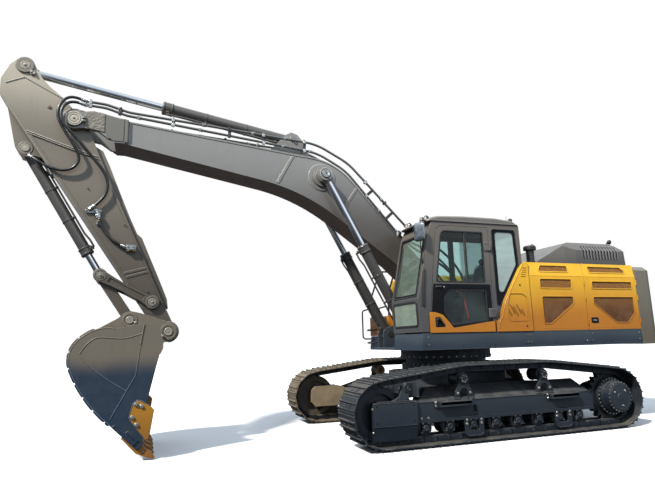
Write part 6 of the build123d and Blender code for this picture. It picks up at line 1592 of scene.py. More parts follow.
# ---------------------------------------------------------------- skirts: joints, drain holes, screws
sk = Piece("skirt_screws", "upper_structure", M["steel"], "pin_steel", 30)
so = Piece("skirt_hole_shade_discs", "upper_structure", M["gloss_black"], "black_plastic", 30)
sj = Piece("skirt_joint_strips", "upper_structure", M["skirt"], "graphite_paint", 30)
for s in (1, -1):
    for x in (1180, 540, -40, -640, -700, -1240, -1860, -1980, -2420, -3040):
        if s < 0 and x > 600:
            continue
        for z in (1410, 1520):
            sk.bolt((x, s * HALF_W, z), (0, s, 0), 13) if x in (-640, -700, -1860, -1980, -3040, 1180) else None
        # black discs at the drain holes: painted shade inside them
        so.add(lathe([(11, 0), (11, 0.8), (0, 0.8)], 20), facing((x + 40, s * HALF_W, 1388), (0, s, 0)))
    for x in (-670, -1925):
        sj.add(sweep([(x, s * (HALF_W - 0.5), 1334), (x, s * (HALF_W - 0.5), 1576)], 3.0, 8))
    sj.add(sweep([(1268 if s > 0 else 792, s * (HALF_W - 4), 1576), (-3100, s * (HALF_W - 4), 1576)], 7, 10))
    sj.add(sweep([(1290 if s > 0 else 818, s * (HALF_W - 4), 1337), (-3100, s * (HALF_W - 4), 1337)], 7, 10))
sk.done()
so.done()
sj.done()

# ---------------------------------------------------------------- hood: fins behind its slots, seams, handle, lamp
hf = Piece("hood_fins", "hood_lid", M["hood_lip"], "graphite_paint", 40)
slot_shade_sheet = Piece("hood_slot_shade_sheet", "hood_lid", M["black"], "graphite_paint", 40)
hh = Piece("hood_handles", "hood_lid", M["black"], "black_plastic", 40)
for s in (1, -1):
    for i in range(12):
        x = -2372 - 72 * i
        # pressed lip on the slot's rear edge
        hf.add(sweep([(x - 36, s * 1119, 2874), (x - 36, s * 1119, 3036), (x - 36, s * 1074, 3096)], 6.5, 8))
        hf.block((x - 17, s * 1076, 2960), (4, 150, 60), 1.5, (0.35, s, 0))
    # a black sheet behind the slots: painted shade inside the hood
    slot_shade_sheet.block((-2780, s * 1050, 2960), (900, 220, 3), 1, (0, s, 0))
    hh.tube(arcs([(-3160, s * 1118, 2860), (-3160, s * 1119, 2860), (-3260, s * 1119, 2860), (-3260, s * 1118, 2860)], 4), 6, 8) if False else None
    hh.block((-1720, s * 700, 2968), (90, 30, 16), 6, (-0.3, 0, 1), 0, (0, 1, 0)) if False else None
# top ribs
for y in (-560, 0, 560):
    hf.add(sweep([(-2180, y, 3199), (-3120, y, 3199)], 3.5, 8))
hf.done()
slot_shade_sheet.done()
hh.tube(arcs([(-3340, -160, 3010), (-3368, -160, 3020), (-3368, 160, 3020), (-3340, 160, 3010)], 14), 10, 10)
for s in (1, -1):
    hh.block((-3368, s * 700, 2960), (60, 30, 16), 5, (-1, 0, 0.1))
    hh.add(lathe([(16, 0), (16, 8), (11, 12), (0, 12)], 16), facing((-3366, s * 700, 2930), (-1, 0, 0.1)))
hh.done()

lb2 = Piece("rear_lamp_body", "hood_lid", M["plastic"], "black_plastic", 36)
ll2 = Piece("rear_lamp_lens", "hood_lid", M["lens"], "glass", 36)
lr2 = Piece("rear_lamp_rim", "hood_lid", M["zinc"], "pin_steel", 36)
lamp((-3290, 900, 3262), (-0.95, 0.2, -0.15), 40, (lb2, ll2, lr2))
lb2.tube(arcs([(-3190, 900, 3186), (-3215, 900, 3252), (-3262, 900, 3268)], 20), 11, 8)
lb2.block((-3200, 900, 3190), (90, 60, 14), 4)
lb2.done()
ll2.done()
lr2.done()

# bolts round the hood
hb = Piece("hood_bolts", "hood_lid", M["steel"], "pin_steel", 30)
for s in (1, -1):
    for x in (-2260, -2560, -2860, -3120):
        hb.bolt((x, s * 1030, 3140), (0, s * 0.76, 0.65), 15) if False else hb.bolt((x, s * 820, 3200), (0, 0, 1), 15)
    for x in (-2300, -3250):
        hb.bolt((x, s * 1120, 2780), (0, s, 0), 15)
hb.done()

# ---------------------------------------------------------------- machinery deck top: tread plates, screws, rails, exhaust, caps
tp = Piece("deck_tread_plates", "upper_structure", M["tread"], "graphite_paint", 30)
tb = Piece("deck_screws", "upper_structure", M["steel"], "pin_steel", 30)
tr = Piece("deck_tread_studs", "upper_structure", M["tread"], "graphite_paint", 50)


def tread(x0, x1, y0, y1, z, pitch=46):
    cx, cy = (x0 + x1) / 2, (y0 + y1) / 2
    w, h = abs(x1 - x0), abs(y1 - y0)
    v, f = slab([(cx + x, cy + y) for x, y in round_rect(w, h, 20, 4)], 5, 1.5, z)
    tp.add((v, f))
    nx, ny = int((w - 50) / pitch), int((h - 50) / pitch)
    for i in range(nx + 1):
        for j in range(ny + 1):
            x, y = cx + (i - nx / 2) * pitch, cy + (j - ny / 2) * pitch
            v, f = lathe([(11, 0), (11, 3), (8, 6), (5, 6), (4, 2), (0, 2)], 8)
            tr.add((v, f), Matrix.Translation((x, y, z + 4)))
    for sx in (-1, 1):
        for sy in (-1, 1):
            tb.bolt((cx + sx * (w / 2 - 18), cy + sy * (h / 2 - 18), z + 5), (0, 0, 1), 14)


tread(-1320, -800, 300, 1080, 2722)
tread(-1320, -800, -1080, -300, 2722)
tread(-1880, -800, -1390, -1130, 2722) if False else None
for x0 in (-1290, -1830, -2370, -2910):
    tread(x0 - 180, x0 + 310, -1395, -1128, 2722)
tread(-650, 250, -1440, -420, 2722, 52)
tread(430, 800, -1440, -630, 1950, 48)
tp.done()
tb.done()
tr.done()

cp_ = Piece("filler_caps", "upper_structure", M["black"], "black_plastic", 34)
cy_ = Piece("filler_necks", "upper_structure", M["yellow"], "yellow_paint", 34)
for x, y, r in ((-180, -1180, 78), (-1100, -900, 66)):
    cy_.add(lathe([(r + 14, 0), (r + 14, 6), (r + 4, 12), (r + 4, 22)], 36), Matrix.Translation((x, y, 2727 if x > -700 else 2690)))
    prof = [(r, 20), (r, 44), (r - 8, 52), (0, 54)]
    cp_.add(lathe(prof, 36), Matrix.Translation((x, y, 2727 if x > -700 else 2690)))
    for k in range(12):
        a = 2 * pi * k / 12
        cp_.block((x + (r + 1) * cos(a), y + (r + 1) * sin(a), (2727 if x > -700 else 2690) + 34), (8, 12, 20), 2, (0, 0, 1), a)
    cp_.block((x, y, (2727 if x > -700 else 2690) + 62), (r * 1.5, 22, 20), 5, (0, 0, 1), 0.5)
cp_.add(lathe([(30, 0), (34, 4), (34, 46), (28, 56), (0, 60)], 24), Matrix.Translation((-1480, -760, 2688)))
cp_.done()
cy_.done()

ex = Piece("exhaust_stack", "hood_lid", M["steel"], "engine_grey", 34)
ex.tube(arcs([(-1900, -420, 3040), (-1900, -420, 3230), (-2010, -420, 3330)], 60), 62, 24) if False else None
ex.add(lathe([(86, 0), (86, 8), (70, 12), (70, 20)], 32), Matrix.Translation((-2500, -420, 3198)))
ex.add(sweep(arcs([(-2500, -420, 3200), (-2500, -420, 3330), (-2600, -420, 3398)], 70, 8), [58] * 12 if False else 58, 24, caps=False))
ex.add(sweep(arcs([(-2500, -420, 3200), (-2500, -420, 3330), (-2596, -420, 3395)], 70, 8), 53, 24, caps=True))
ex.done()

pc = Piece("precleaner_detail", "upper_structure", M["plastic"], "black_plastic", 34)
AX, AY = -1095, 1200
for k in range(26):
    a = 2 * pi * k / 26
    pc.block((AX + 104 * cos(a), AY + 104 * sin(a), 3008), (5, 9, 54), 1.5, (0, 0, 1), a)
pc.add(lathe([(70, 0), (74, 4), (74, 26), (70, 30)], 32), Matrix.Translation((AX, AY, 2760)))
pc.add(lathe([(66, 0), (72, 3), (72, 16), (66, 20)], 32), Matrix.Translation((AX, AY, 2930)))
pc.add(lathe([(84, 0), (84, 10), (72, 16)], 32), Matrix.Translation((AX, AY, 2723)))
pc.add(lathe([(26, 0), (26, 8), (14, 14), (0, 14)], 20), Matrix.Translation((AX, AY, 3054)))
pc.done()

# rails along the right of the deck and boarding rails, clamped at their feet
rl = Piece("deck_rails", "upper_structure", M["black"], "black_plastic", 44)
rl.tube(arcs([(60, -1470, 2725), (60, -1470, 3130), (-700, -1470, 3130), (-700, -1470, 2725)], 90), 16, 12)
rl.tube([(-290, -1470, 2725), (-290, -1470, 3130)], 14, 12)
rl.tube([(60, -1470, 2930), (-700, -1470, 2930)], 12, 12)
for x in (60, -290, -700):
    rl.add(lathe([(38, 0), (38, 8), (22, 12), (20, 30)], 20), Matrix.Translation((x, -1470, 2722)))
for y in (-1430, -640):
    rl.add(lathe([(36, 0), (36, 8), (22, 12), (20, 30)], 20), Matrix.Translation((785, y, 1951)))
    rl.add(lathe([(36, 0), (36, 8), (22, 12), (20, 30)], 20), Matrix.Translation((120, y, 2722)))
for y in (-1440, -640):
    rl.tube(arcs([(822, y, 1530), (1000, y, 1530), (1000, y, 2100), (822, y, 2140)], 60), 14, 12)
rl.done()

# toolbox lid, latches, step treads on its front
tx = Piece("toolbox_lid", "upper_structure", M["orange"], "orange_paint", 34)
tx.add(slab([(610 + x, -1035 + y) for x, y in round_rect(428, 878, 14, 4)], 12, 4, 1942))
tx.block((1062, -1035, 1850), (780, 6, 150), 3) if False else None
tx.done()
tz = Piece("toolbox_latches", "upper_structure", M["zinc"], "pin_steel", 34)
for y in (-1290, -780):
    tz.block((824, y, 1905), (44, 76, 12), 4, (1, 0, 0), pi / 2)
    tz.tube(arcs([(828, y - 14, 1915), (842, y, 1895), (828, y + 14, 1915)], 5), 3.4, 8)
for x in (500, 720):
    tz.block((x, -1474, 1915), (70, 44, 10), 4, (0, -1, 0))
tz.done()
st = Piece("boarding_steps", "upper_structure", M["black"], "black_plastic", 34)
for z in (1450, 1700):
    st.tube(arcs([(822, -1380, z + 20), (930, -1380, z), (930, -1120, z), (822, -1120, z + 20)], 30), 15, 10)
    for y in range(-1350, -1130, 36):
        st.block((932, y, z + 8), (26, 8, 20), 2)
st.done()

# ---------------------------------------------------------------- counterweight: rear details
cw = Piece("counterweight_trim", "upper_structure", M["gloss_black"], "black_plastic", 34)
cr2 = Piece("tail_lamps", "upper_structure", M["redlens"], "glass", 34)
cb2 = Piece("counterweight_bolts", "upper_structure", M["steel"], "pin_steel", 34)


def tail(y, z, d=0.0):
    """Point on the counterweight's round tail at width y."""
    x = -sqrt(3800 ** 2 - y ** 2)
    n = Vector((x, y, 0)).normalized()
    return Vector((x, y, z)) + n * d, n


for s in (1, -1):
    c, n = tail(s * 1080, 2240)
    shell(cw, c - n * 3, 300, 120, 14, n, 30)
    c, n = tail(s * 1080, 2240, 10)
    v, f = slab(round_rect(240, 72, 20, 4), 8, 3)
    cr2.add((v, f), facing(c, n))
    c, n = tail(s * 1180, 1480)
    v, f = slab(round_rect(150, 46, 14, 4), 6, 2)
    cr2.add((v, f), facing(c, n))
    for y in (880, 920):
        pass
    for y in (420, 620):
        c, n = tail(s * y, 1480, 0)
        cb2.bolt(c, n, 42)
# groove lines and centre hatch on the tail
groove = [tail(y, 1760, 0)[0] for y in range(-1300, 1301, 100)]
cw.add(sweep(groove, 7, 8))
c, n = tail(-620, 2120, 0)
shell(cw, c - n * 4, 620, 300, 10, n, 30)
for sx in (1, -1):
    for sz in (1, -1):
        c2, n2 = tail(-620 + sx * 250, 2120 + sz * 110, 7)
        cb2.bolt(c2, n2, 20)
cw.add(lathe([(30, 0), (30, 30), (22, 38), (0, 38)], 24), facing(tail(560, 2480, -6)[0], tail(560, 2480)[1]))
cb2.add(lathe([(16, 36), (16, 42), (0, 44)], 24), facing(tail(560, 2480, -6)[0], tail(560, 2480)[1]))
for x, y in ((-3300, 1180), (-3300, -1180), (-3640, 0)):
    cb2.add(lathe([(46, 0), (46, 6), (20, 8), (20, 3), (0, 3)], 6), Matrix.Translation((x, y, 2699)))
cw.done()
cr2.done()
cb2.done()


# ---------------------------------------------------------------- tracks: the chain's path, links, pins and bolts
TY, FRAME_IN, FRAME_OUT, RIDGE_Z, AXLE_Z = 1445, 1230, 1615, 785, 490
IDLER_C, SPROCKET_C, PITCH_R, TOP_Z, SHOES = (2075, 490), (-2185, 490), 400, 1048, 51
CARRIER_X, ROLLER_X, GUARD_X = (700, -775), [1370 - 398 * i for i in range(8)], (575, -1073)


def tangent_angle(c, p, forward):
    d = sqrt((p[0] - c[0]) ** 2 + (p[1] - c[1]) ** 2)
    return atan2(p[1] - c[1], p[0] - c[0]) + (1 if forward else -1) * atan2(sqrt(d * d - PITCH_R ** 2), PITCH_R)


def chain_joints(count):
    a, b = tangent_angle(IDLER_C, (CARRIER_X[0], TOP_Z), False), tangent_angle(SPROCKET_C, (CARRIER_X[1], TOP_Z), True)
    pts = [(IDLER_C[0] + PITCH_R * cos(t), IDLER_C[1] + PITCH_R * sin(t)) for t in [-pi / 2 + (a + pi / 2) * i / 160 for i in range(161)]]
    pts += [(CARRIER_X[0] + 60, TOP_Z - 2), (CARRIER_X[0] - 60, TOP_Z), (CARRIER_X[1] + 60, TOP_Z), (CARRIER_X[1] - 60, TOP_Z - 2)]
    pts += [(SPROCKET_C[0] + PITCH_R * cos(t), SPROCKET_C[1] + PITCH_R * sin(t)) for t in [b + (3 * pi / 2 - b) * i / 160 for i in range(161)]]
    closed = pts + [pts[0]]
    seg = [sqrt((closed[i + 1][0] - closed[i][0]) ** 2 + (closed[i + 1][1] - closed[i][1]) ** 2) for i in range(len(pts))]
    total, out, i, run = sum(seg), [], 0, 0.0
    for k in range(count):
        s_ = total * k / count
        while run + seg[i] < s_:
            run += seg[i]
            i += 1
        t = (s_ - run) / seg[i]
        out.append((closed[i][0] + (closed[i + 1][0] - closed[i][0]) * t, closed[i][1] + (closed[i + 1][1] - closed[i][1]) * t))
    return out


JOINTS = chain_joints(SHOES)
hexa = lathe([(15, 0), (15, 10), (12, 13), (0, 13)], 6)
pin_end = lathe([(27, 0), (27, 6), (22, 9), (13, 9), (11, 6), (0, 6)], 12)
for name, s in (("left_track", 1), ("right_track", -1)):
    sb = Piece(name + "_shoe_bolts", "undercarriage", M["track"], "track_steel", 30)
    cl = Piece(name + "_chain_links", "undercarriage", M["link"], "track_steel", 36)
    sl = Piece(name + "_shoe_lips", "undercarriage", M["track"], "track_steel", 40)
    for k in range(SHOES):
        p, q = Vector((JOINTS[k][0], 0, JOINTS[k][1])), Vector((JOINTS[(k + 1) % SHOES][0], 0, JOINTS[(k + 1) % SHOES][1]))
        n = (q - p).length
        t = (q - p) / n
        out = Vector((t.z, 0, -t.x))
        for y in (-112, -60, 60, 112):
            for share in (0.335, 0.455):
                c = p + t * n * share + out * 63
                sb.add(hexa, facing((c.x, s * TY + y, c.z), tuple(out)))
        for y, f in ((112, 1), (-112, -1), (62, -1), (-62, 1)):
            c = p + out * 2
            m = facing((c.x, s * TY + y, c.z), (0, f, 0))
            cl.add(pin_end, m)
            # raised eye and waist of the link
            if abs(y) == 112:
                u2 = t
                outline = [(-44, -30), (-30, -42), (20, -44), (80, -30), (n - 60, -30), (n - 26, -38), (n - 26, 36), (n - 70, 26), (70, 26), (20, 44), (-30, 42), (-44, 30)]
                v, fc = slab(outline, 9, 2.5)
                mm = Matrix((t, out, Vector((0, f, 0)))).transposed().to_4x4()
                mm.translation = Vector((c.x, s * TY + y - f * 2, c.z))
                if Matrix((t, out, Vector((0, f, 0)))).determinant() < 0:
                    fc = [list(reversed(x)) for x in fc]
                cl.add((v, fc), mm)
        a = p + out * 57
        sl.add(sweep([(a.x, s * TY - 298, a.z), (a.x, s * TY + 298, a.z)], 10, 8))
        # bent edges of the shoe's plate, seen from the side
        b = p + t * n * 0.5 + out * 51
        for y in (-300, 300):
            sl.block((b.x, s * TY + y * 0.985, b.z), (8, n * 0.80, 10), 2, tuple(out), 0.0, tuple(Vector((0, 1, 0)).cross(out)))
    sb.done()
    cl.done()
    sl.done()

# ---------------------------------------------------------------- side frames
for name, s in (("left", 1), ("right", -1)):
    uf = Piece(name + "_frame_welds", "undercarriage", M["under"], "undercarriage_paint", 50)
    up = Piece(name + "_frame_plates", "undercarriage", M["under"], "undercarriage_paint", 30)
    ub = Piece(name + "_frame_bolts", "undercarriage", M["bolt_light"], "pin_steel", 30)
    hole_shade_fills = Piece(name + "_frame_hole_shade", "undercarriage", M["gloss_black"], "black_plastic", 30)
    yo = s * FRAME_OUT
    # welds along the wall's edges and where the idler housing meets it
    uf.bead([(1512, yo, 603), (-1640, yo, 603)], 8)
    uf.bead([(1525, s * (TY + 222), 322), (2205, s * (TY + 222), 322)], 5)
    uf.bead([(1524, yo + s * 2, 366), (1524, yo + s * 2, 596)], 9)
    uf.bead([(-1700, yo, 372), (-1700, yo, 536), (-1642, yo, 598)], 8)
    uf.bead([(-1690, yo + s * 13, 366), (1524, yo + s * 13, 366)], 4)
    for x in (1180, 560, 60, -420, -1120):
        yi, zi = s * (FRAME_IN + 34), RIDGE_Z - 1
        if x == 1180:
            yi, zi = s * 1316, 741
        uf.bead([(x, yo - s * 2, 607), (x, yi, zi)], 5)
    uf.bead([(1496, yo - s * 4, 606), (1110, s * (FRAME_IN + 10), RIDGE_Z)], 7)
    uf.bead([(1090, s * (FRAME_IN + 32), RIDGE_Z), (-1636, s * (FRAME_IN + 32), RIDGE_Z)], 5)
    # doubler laid on the sloped roof's front part
    sl0, sl1 = Vector((0, s * (FRAME_OUT - 20), 612)), Vector((0, s * (FRAME_IN + 60), 767))
    dn = Vector((0, s * (RIDGE_Z - 606), (FRAME_OUT - FRAME_IN - 32))).normalized()
    for x0, x1 in ((-1600, -1160), (-380, 20)):
        quad = [Vector((x0, sl0.y, sl0.z)), Vector((x1, sl0.y, sl0.z)), Vector((x1, sl1.y, sl1.z)), Vector((x0, sl1.y, sl1.z))]
        for k in range(4):
            uf.add(sweep([tuple(quad[k] + dn * 2), tuple(quad[(k + 1) % 4] + dn * 2)], 4, 6))
    # idler housing: top plate, wiper bracket, front stiffener, bolted cover
    up.block((1860, s * (TY + 186), 648), (560, 62, 12), 4)
    for a in (TY + 160, TY + 196):
        up.plate([(1690, 646), (1640, 700), (1700, 760), (1742, 862), (1800, 700), (1900, 652)], a, s, 12, 3)
    up.block((2196, s * (TY + 188), 470), (24, 60, 290), 5, (0, 0, 1))
    for z in (250, 560):
        ub.bolt((2206, s * (TY + 196), z), (1, 0, 0), 22)
    # black discs at the housing's holes: painted shade inside them
    for x in (1580, 2150):
        for z in (372, 590):
            hole_shade_fills.add(lathe([(12, 0), (12, 1), (0, 1)], 16), facing((x, s * (TY + 222), z), (0, s, 0)))
    uf.bead([(1560, s * (TY + 223), 628), (2180, s * (TY + 223), 628)], 5)
    # slot in the wall, filled black as painted shade inside it
    hole_shade_fills.add(([Vector((536 + p[0], yo + s * 1.2, 478 + p[1])) for p in round_rect(52, 112, 25.9, 6)], [list(range(28)) if s < 0 else list(reversed(range(28)))]))
    up.add(sweep([(536 + p[0], yo + s * 1, 478 + p[1]) for p in round_rect(60, 120, 29.9, 6)], 5, 6, closed=True))
    # steps: front apron, end lugs and bolts
    for x in (905, -1095):
        up.block((x, s * 1704, 566), (520, 12, 74), 4, (0, 0, 1))
        up.block((x, s * 1660, 602), (500, 78, 8), 3)
        for e in (-1, 1):
            up.block((x + e * 262, s * 1664, 570), (14, 92, 84), 4)
            up.block((x + e * 290, s * 1622, 570), (60, 14, 92), 4)
            for z in (542, 592):
                ub.bolt((x + e * 296, s * 1629, z), (0, s, 0), 22)
        for k in range(9):
            for j in range(2):
                up.add(lathe([(11, 0), (11, 4), (8, 7), (4, 7), (3, 3), (0, 3)], 8), Matrix.Translation((x - 220 + 55 * k, s * (1642 + 34 * j), 605)))
        # black discs at the apron's holes: painted shade inside them
        for e in (-150, 150):
            hole_shade_fills.add(lathe([(8, 0), (8, 1), (0, 1)], 12), facing((x + e, s * 1710, 566), (0, s, 0)))
    # light bolts near the recoil spring
    up.block((1290, s * 1618, 470), (150, 10, 110), 4, (0, 0, 1), 0) if False else None
    for x in (1440, 1330):
        ub.bolt((x, yo, 385), (0, s, 0), 18)
    # carrier rollers: feet, bracket bolts, end caps, flanges
    for cx in CARRIER_X:
        zc = 903
        for e in (-1, 1):
            up.block((cx + e * 116, s * (TY + 139), 626), (104, 60, 22), 5)
            ub.bolt((cx + e * 106, s * (TY + 156), 700), (0, s, 0), 20)
            uf.bead([(cx + e * 62, s * (TY + 168), 622), (cx + e * 170, s * (TY + 168), 622)], 6)
        up.add(lathe([(62, 0), (66, 3), (66, 10), (58, 16), (30, 16), (28, 12), (0, 12)], 28), facing((cx, s * (TY + 172), zc), (0, s, 0)))
        for k in range(6):
            a = 2 * pi * k / 6 + 0.3
            ub.bolt((cx + 46 * cos(a), s * (TY + 188), zc + 46 * sin(a)), (0, s, 0), 12)
        for y in (-112, 112):
            up.add(lathe([(104, -10), (104, 4), (96, 10), (60, 14), (44, 14)], 32), facing((cx, s * TY + y, zc), (0, 1 if y > 0 else -1, 0)))
        uf.add(lathe([(78, 0), (84, 6), (78, 12)], 28), facing((cx, s * (TY + 158), zc), (0, s, 0)))
    # bottom rollers: outer collars, caps and bolts
    for x in ROLLER_X:
        for f in (1, -1):
            ya = s * TY + f * 150
            up.add(lathe([(40, 0), (46, 4), (46, 16), (38, 22), (14, 22), (12, 18), (0, 18)], 22), facing((x, ya, 247), (0, f, 0)))
            up.block((x, s * TY + f * 142, 214), (150, 40, 26), 6)
            for e in (-1, 1):
                ub.bolt((x + e * 46, s * TY + f * 150, 322), (0, f, 0), 18)
                ub.bolt((x + e * 60, s * TY + f * 144, 201), (0, 0, -1), 18)
            up.add(lathe([(116, -14), (116, 0), (108, 6), (80, 10), (52, 10)], 30), facing((x, s * TY + f * 112, 247), (0, f, 0)))
    # chain guides: rims and bolts
    for x in GUARD_X:
        up.add(sweep(arcs([(x - 165, s * (TY + 178), 350), (x - 150, s * (TY + 178), 122), (x - 108, s * (TY + 178), 92), (x + 108, s * (TY + 178), 92),
                           (x + 150, s * (TY + 178), 122), (x + 165, s * (TY + 178), 350)], 12), 7, 8))
        for e in (-126, 126):
            ub.bolt((x + e, s * (TY + 176), 318), (0, s, 0), 22)
            ub.bolt((x + e, s * (TY + 176), 262), (0, s, 0), 22)
    # final drive: ring of case bolts, cover bolts, plugs, ribs
    for k in range(28):
        a = 2 * pi * (k + 0.5) / 28
        ub.bolt((SPROCKET_C[0] + 281 * cos(a), s * (TY + 110), 490 + 281 * sin(a)), (0, s, 0), 20, washer=False)
    for k in range(24):
        a = 2 * pi * k / 24
        ub.bolt((SPROCKET_C[0] + 232 * cos(a), s * (TY + 266), 490 + 232 * sin(a)), (0, s, 0), 13, washer=False)
    up.add(lathe([(206, 0), (206, 5), (198, 8), (196, 8), (190, 4), (60, 4), (56, 9), (0, 9)], 48), facing((SPROCKET_C[0], s * (TY + 275), 490), (0, s, 0)))
    for a in (0.6, 2.4, 4.5):
        ub.add(lathe([(17, 0), (17, 6), (13, 9), (8, 9), (8, 5), (0, 5)], 6), facing((SPROCKET_C[0] + 140 * cos(a), s * (TY + 279), 490 + 140 * sin(a)), (0, s, 0)))
    for r, y in ((262, 150), (262, 182)):
        uf.add(lathe([(r - 2, -6), (r + 4, 0), (r - 2, 6)], 56), facing((SPROCKET_C[0], s * (TY + y), 490), (0, s, 0)))
    # idler: hub and its bolts
    for f in (1, -1):
        up.add(lathe([(110, 0), (118, 4), (118, 12), (104, 18), (70, 18), (66, 12), (0, 12)], 40), facing((IDLER_C[0], s * TY + f * 100, 490), (0, f, 0)))
        for k in range(8):
            a = 2 * pi * k / 8
            ub.bolt((IDLER_C[0] + 88 * cos(a), s * TY + f * 118, 490 + 88 * sin(a)), (0, f, 0), 16, washer=False)
        for k in range(6):
            a = 2 * pi * k / 6 + 0.4
            up.block((IDLER_C[0] + 190 * cos(a), s * TY + f * 66, 490 + 190 * sin(a)), (150, 14, 26), 5, (cos(a + pi / 2), 0, sin(a + pi / 2)), 0, (cos(a), 0, sin(a))) if False else None
    # travel motor's lines along the inner wall
    ul = Piece(name + "_travel_lines", "undercarriage", M["hose"], "hose_rubber", 60)
    for k in range(3):
        ul.tube([tuple(p) for p in nurbs([(-500, s * (760 + 20 * k), 800), (-700, s * 880, 820 - 30 * k), (-1100, s * (1090 + 12 * k), 700 - 44 * k), (-1600, s * (1130 + 8 * k), 620 - 44 * k),
                                         (-1900, s * (1122 + 8 * k), 600 - 44 * k), (-2060, s * (1110 + 6 * k), 560 - 40 * k)], 8)], 16, 10)
    ul.done()
    uc = Piece(name + "_line_clips", "undercarriage", M["bolt_light"], "pin_steel", 30)
    for x in (-1250, -1600):
        uc.block((x, s * 1186, 590), (30, 66, 150), 5)
        uc.bolt((x, s * 1152, 640), (0, -s, 0), 14)
    uc.done()
    for p in (uf, up, ub, hole_shade_fills):
        p.done()

# ---------------------------------------------------------------- centre frame
cf = Piece("centre_frame_welds", "undercarriage", M["under"], "undercarriage_paint", 50)
cbt = Piece("slew_ring_bolts", "undercarriage", M["bolt_light"], "pin_steel", 30)
cpt = Piece("centre_frame_covers", "undercarriage", M["under"], "undercarriage_paint", 30)
for k in range(44):
    a = 2 * pi * (k + 0.5) / 44
    cbt.bolt((752 * cos(a), 752 * sin(a), 1065), (0, 0, 1), 24)
cf.add(lathe([(790, 936), (802, 942), (790, 954)], 72), Matrix.Identity(4))
oct_ = [(900, 520), (900, -520), (620, -860), (-620, -860), (-900, -520), (-900, 520), (-620, 860), (620, 860), (900, 520)]
cf.bead([(x * 0.999, y * 0.999, 939) for x, y in oct_], 7)
cf.bead([(x, y, 563) for x, y in oct_], 7)
for sx in (1, -1):
    cpt.block((sx * 902, 0, 700), (10, 260, 150), 4, (0, 0, 1))
    for y in (-110, 110):
        for z in (650, 750):
            cbt.bolt((sx * 907, y, z), (sx, 0, 0), 18)
    for y in (-350, 350):
        cf.add(sweep([(sx * 970 + 40 * cos(t), y + 26 * (1 if y > 0 else -1), 690 + 40 * sin(t)) for t in [2 * pi * k / 24 for k in range(24)]], 5, 6, closed=True))
    for s in (1, -1):
        cf.bead([(sx * 1245, s * (FRAME_IN - 3), 755), (sx * 524, s * (FRAME_IN - 3), 755)], 8)
        cf.bead([(sx * 700, s * 505, 757), (sx * 1240, s * (FRAME_IN - 8), 757)], 6)
cf.done()
cbt.done()
cpt.done()
# grease seal between the slew ring's halves and its upper bolts
sr = Piece("slew_ring_seal", "upper_structure", M["seal"], "black_plastic", 60)
sr.add(lathe([(712, 0), (722, 0), (722, 8), (714, 12)], 96), Matrix.Translation((0, 0, 1153)))
sr.done()
sr2 = Piece("slew_ring_upper_bolts", "upper_structure", M["bolt_light"], "pin_steel", 30)
for k in range(40):
    a = 2 * pi * k / 40
    sr2.bolt((770 * cos(a), 770 * sin(a), 1159), (0, 0, -1), 20, h=14) if False else sr2.bolt((800 * cos(a), 800 * sin(a), 1196), (cos(a), sin(a), 0), 18)
sr2.done()


# ---------------------------------------------------------------- bucket
BH = 800


def arc3(a, b, c, n=14):
    """Points on the circle through three points, from the first to the last."""
    ax, az, bx, bz, cx, cz = *a, *b, *c
    d = 2 * (ax * (bz - cz) + bx * (cz - az) + cx * (az - bz))
    ux = ((ax * ax + az * az) * (bz - cz) + (bx * bx + bz * bz) * (cz - az) + (cx * cx + cz * cz) * (az - bz)) / d
    uz = ((ax * ax + az * az) * (cx - bx) + (bx * bx + bz * bz) * (ax - cx) + (cx * cx + cz * cz) * (bx - ax)) / d
    r = sqrt((ax - ux) ** 2 + (az - uz) ** 2)
    t0, t1 = atan2(az - uz, ax - ux), atan2(cz - uz, cx - ux)
    tm = atan2(bz - uz, bx - ux)
    while tm < t0:
        tm += 2 * pi
    while t1 < t0:
        t1 += 2 * pi
    if tm > t1:
        t1 -= 2 * pi
    return [(ux + r * cos(t0 + (t1 - t0) * k / n), uz + r * sin(t0 + (t1 - t0) * k / n)) for k in range(n + 1)]


BACK = arc3((5600, 1752), (5805, 1748), (5975, 1665), 6) + arc3((5975, 1665), (6140, 1440), (6110, 1180), 10)[1:] + arc3((6110, 1180), (5888, 788), (5602, 480), 14)[1:]
ROUND = [(x, z) for x, z in BACK]


def back_at(dist):
    """Point, tangent and outward normal at a distance along the bucket's back."""
    run = 0.0
    for (xa, za), (xb, zb) in zip(ROUND, ROUND[1:]):
        n = sqrt((xb - xa) ** 2 + (zb - za) ** 2)
        if run + n >= dist:
            t = Vector((xb - xa, 0, zb - za)) / n
            return Vector((xa, 0, za)) + t * (dist - run), t, Vector((-t.z, 0, t.x)) * (1 if t.x * (za - 1200) > -1e9 else 1)
        run += n
    return None


bw = Piece("bucket_welds", "bucket_body", M["weld"], "bucket_paint", 60)
bp_ = Piece("bucket_wear_plates", "bucket_body", M["wear"], "bucket_paint", 34)
bb = Piece("bucket_bolts", "bucket_body", M["bolt_light"], "pin_steel", 30)
bc = Piece("bucket_cutter_edges", "bucket_body", M["cutter"], "bucket_paint", 30)
mid = Vector((5600, 0, 1200))
total = sum(sqrt((b[0] - a[0]) ** 2 + (b[1] - a[1]) ** 2) for a, b in zip(ROUND, ROUND[1:]))


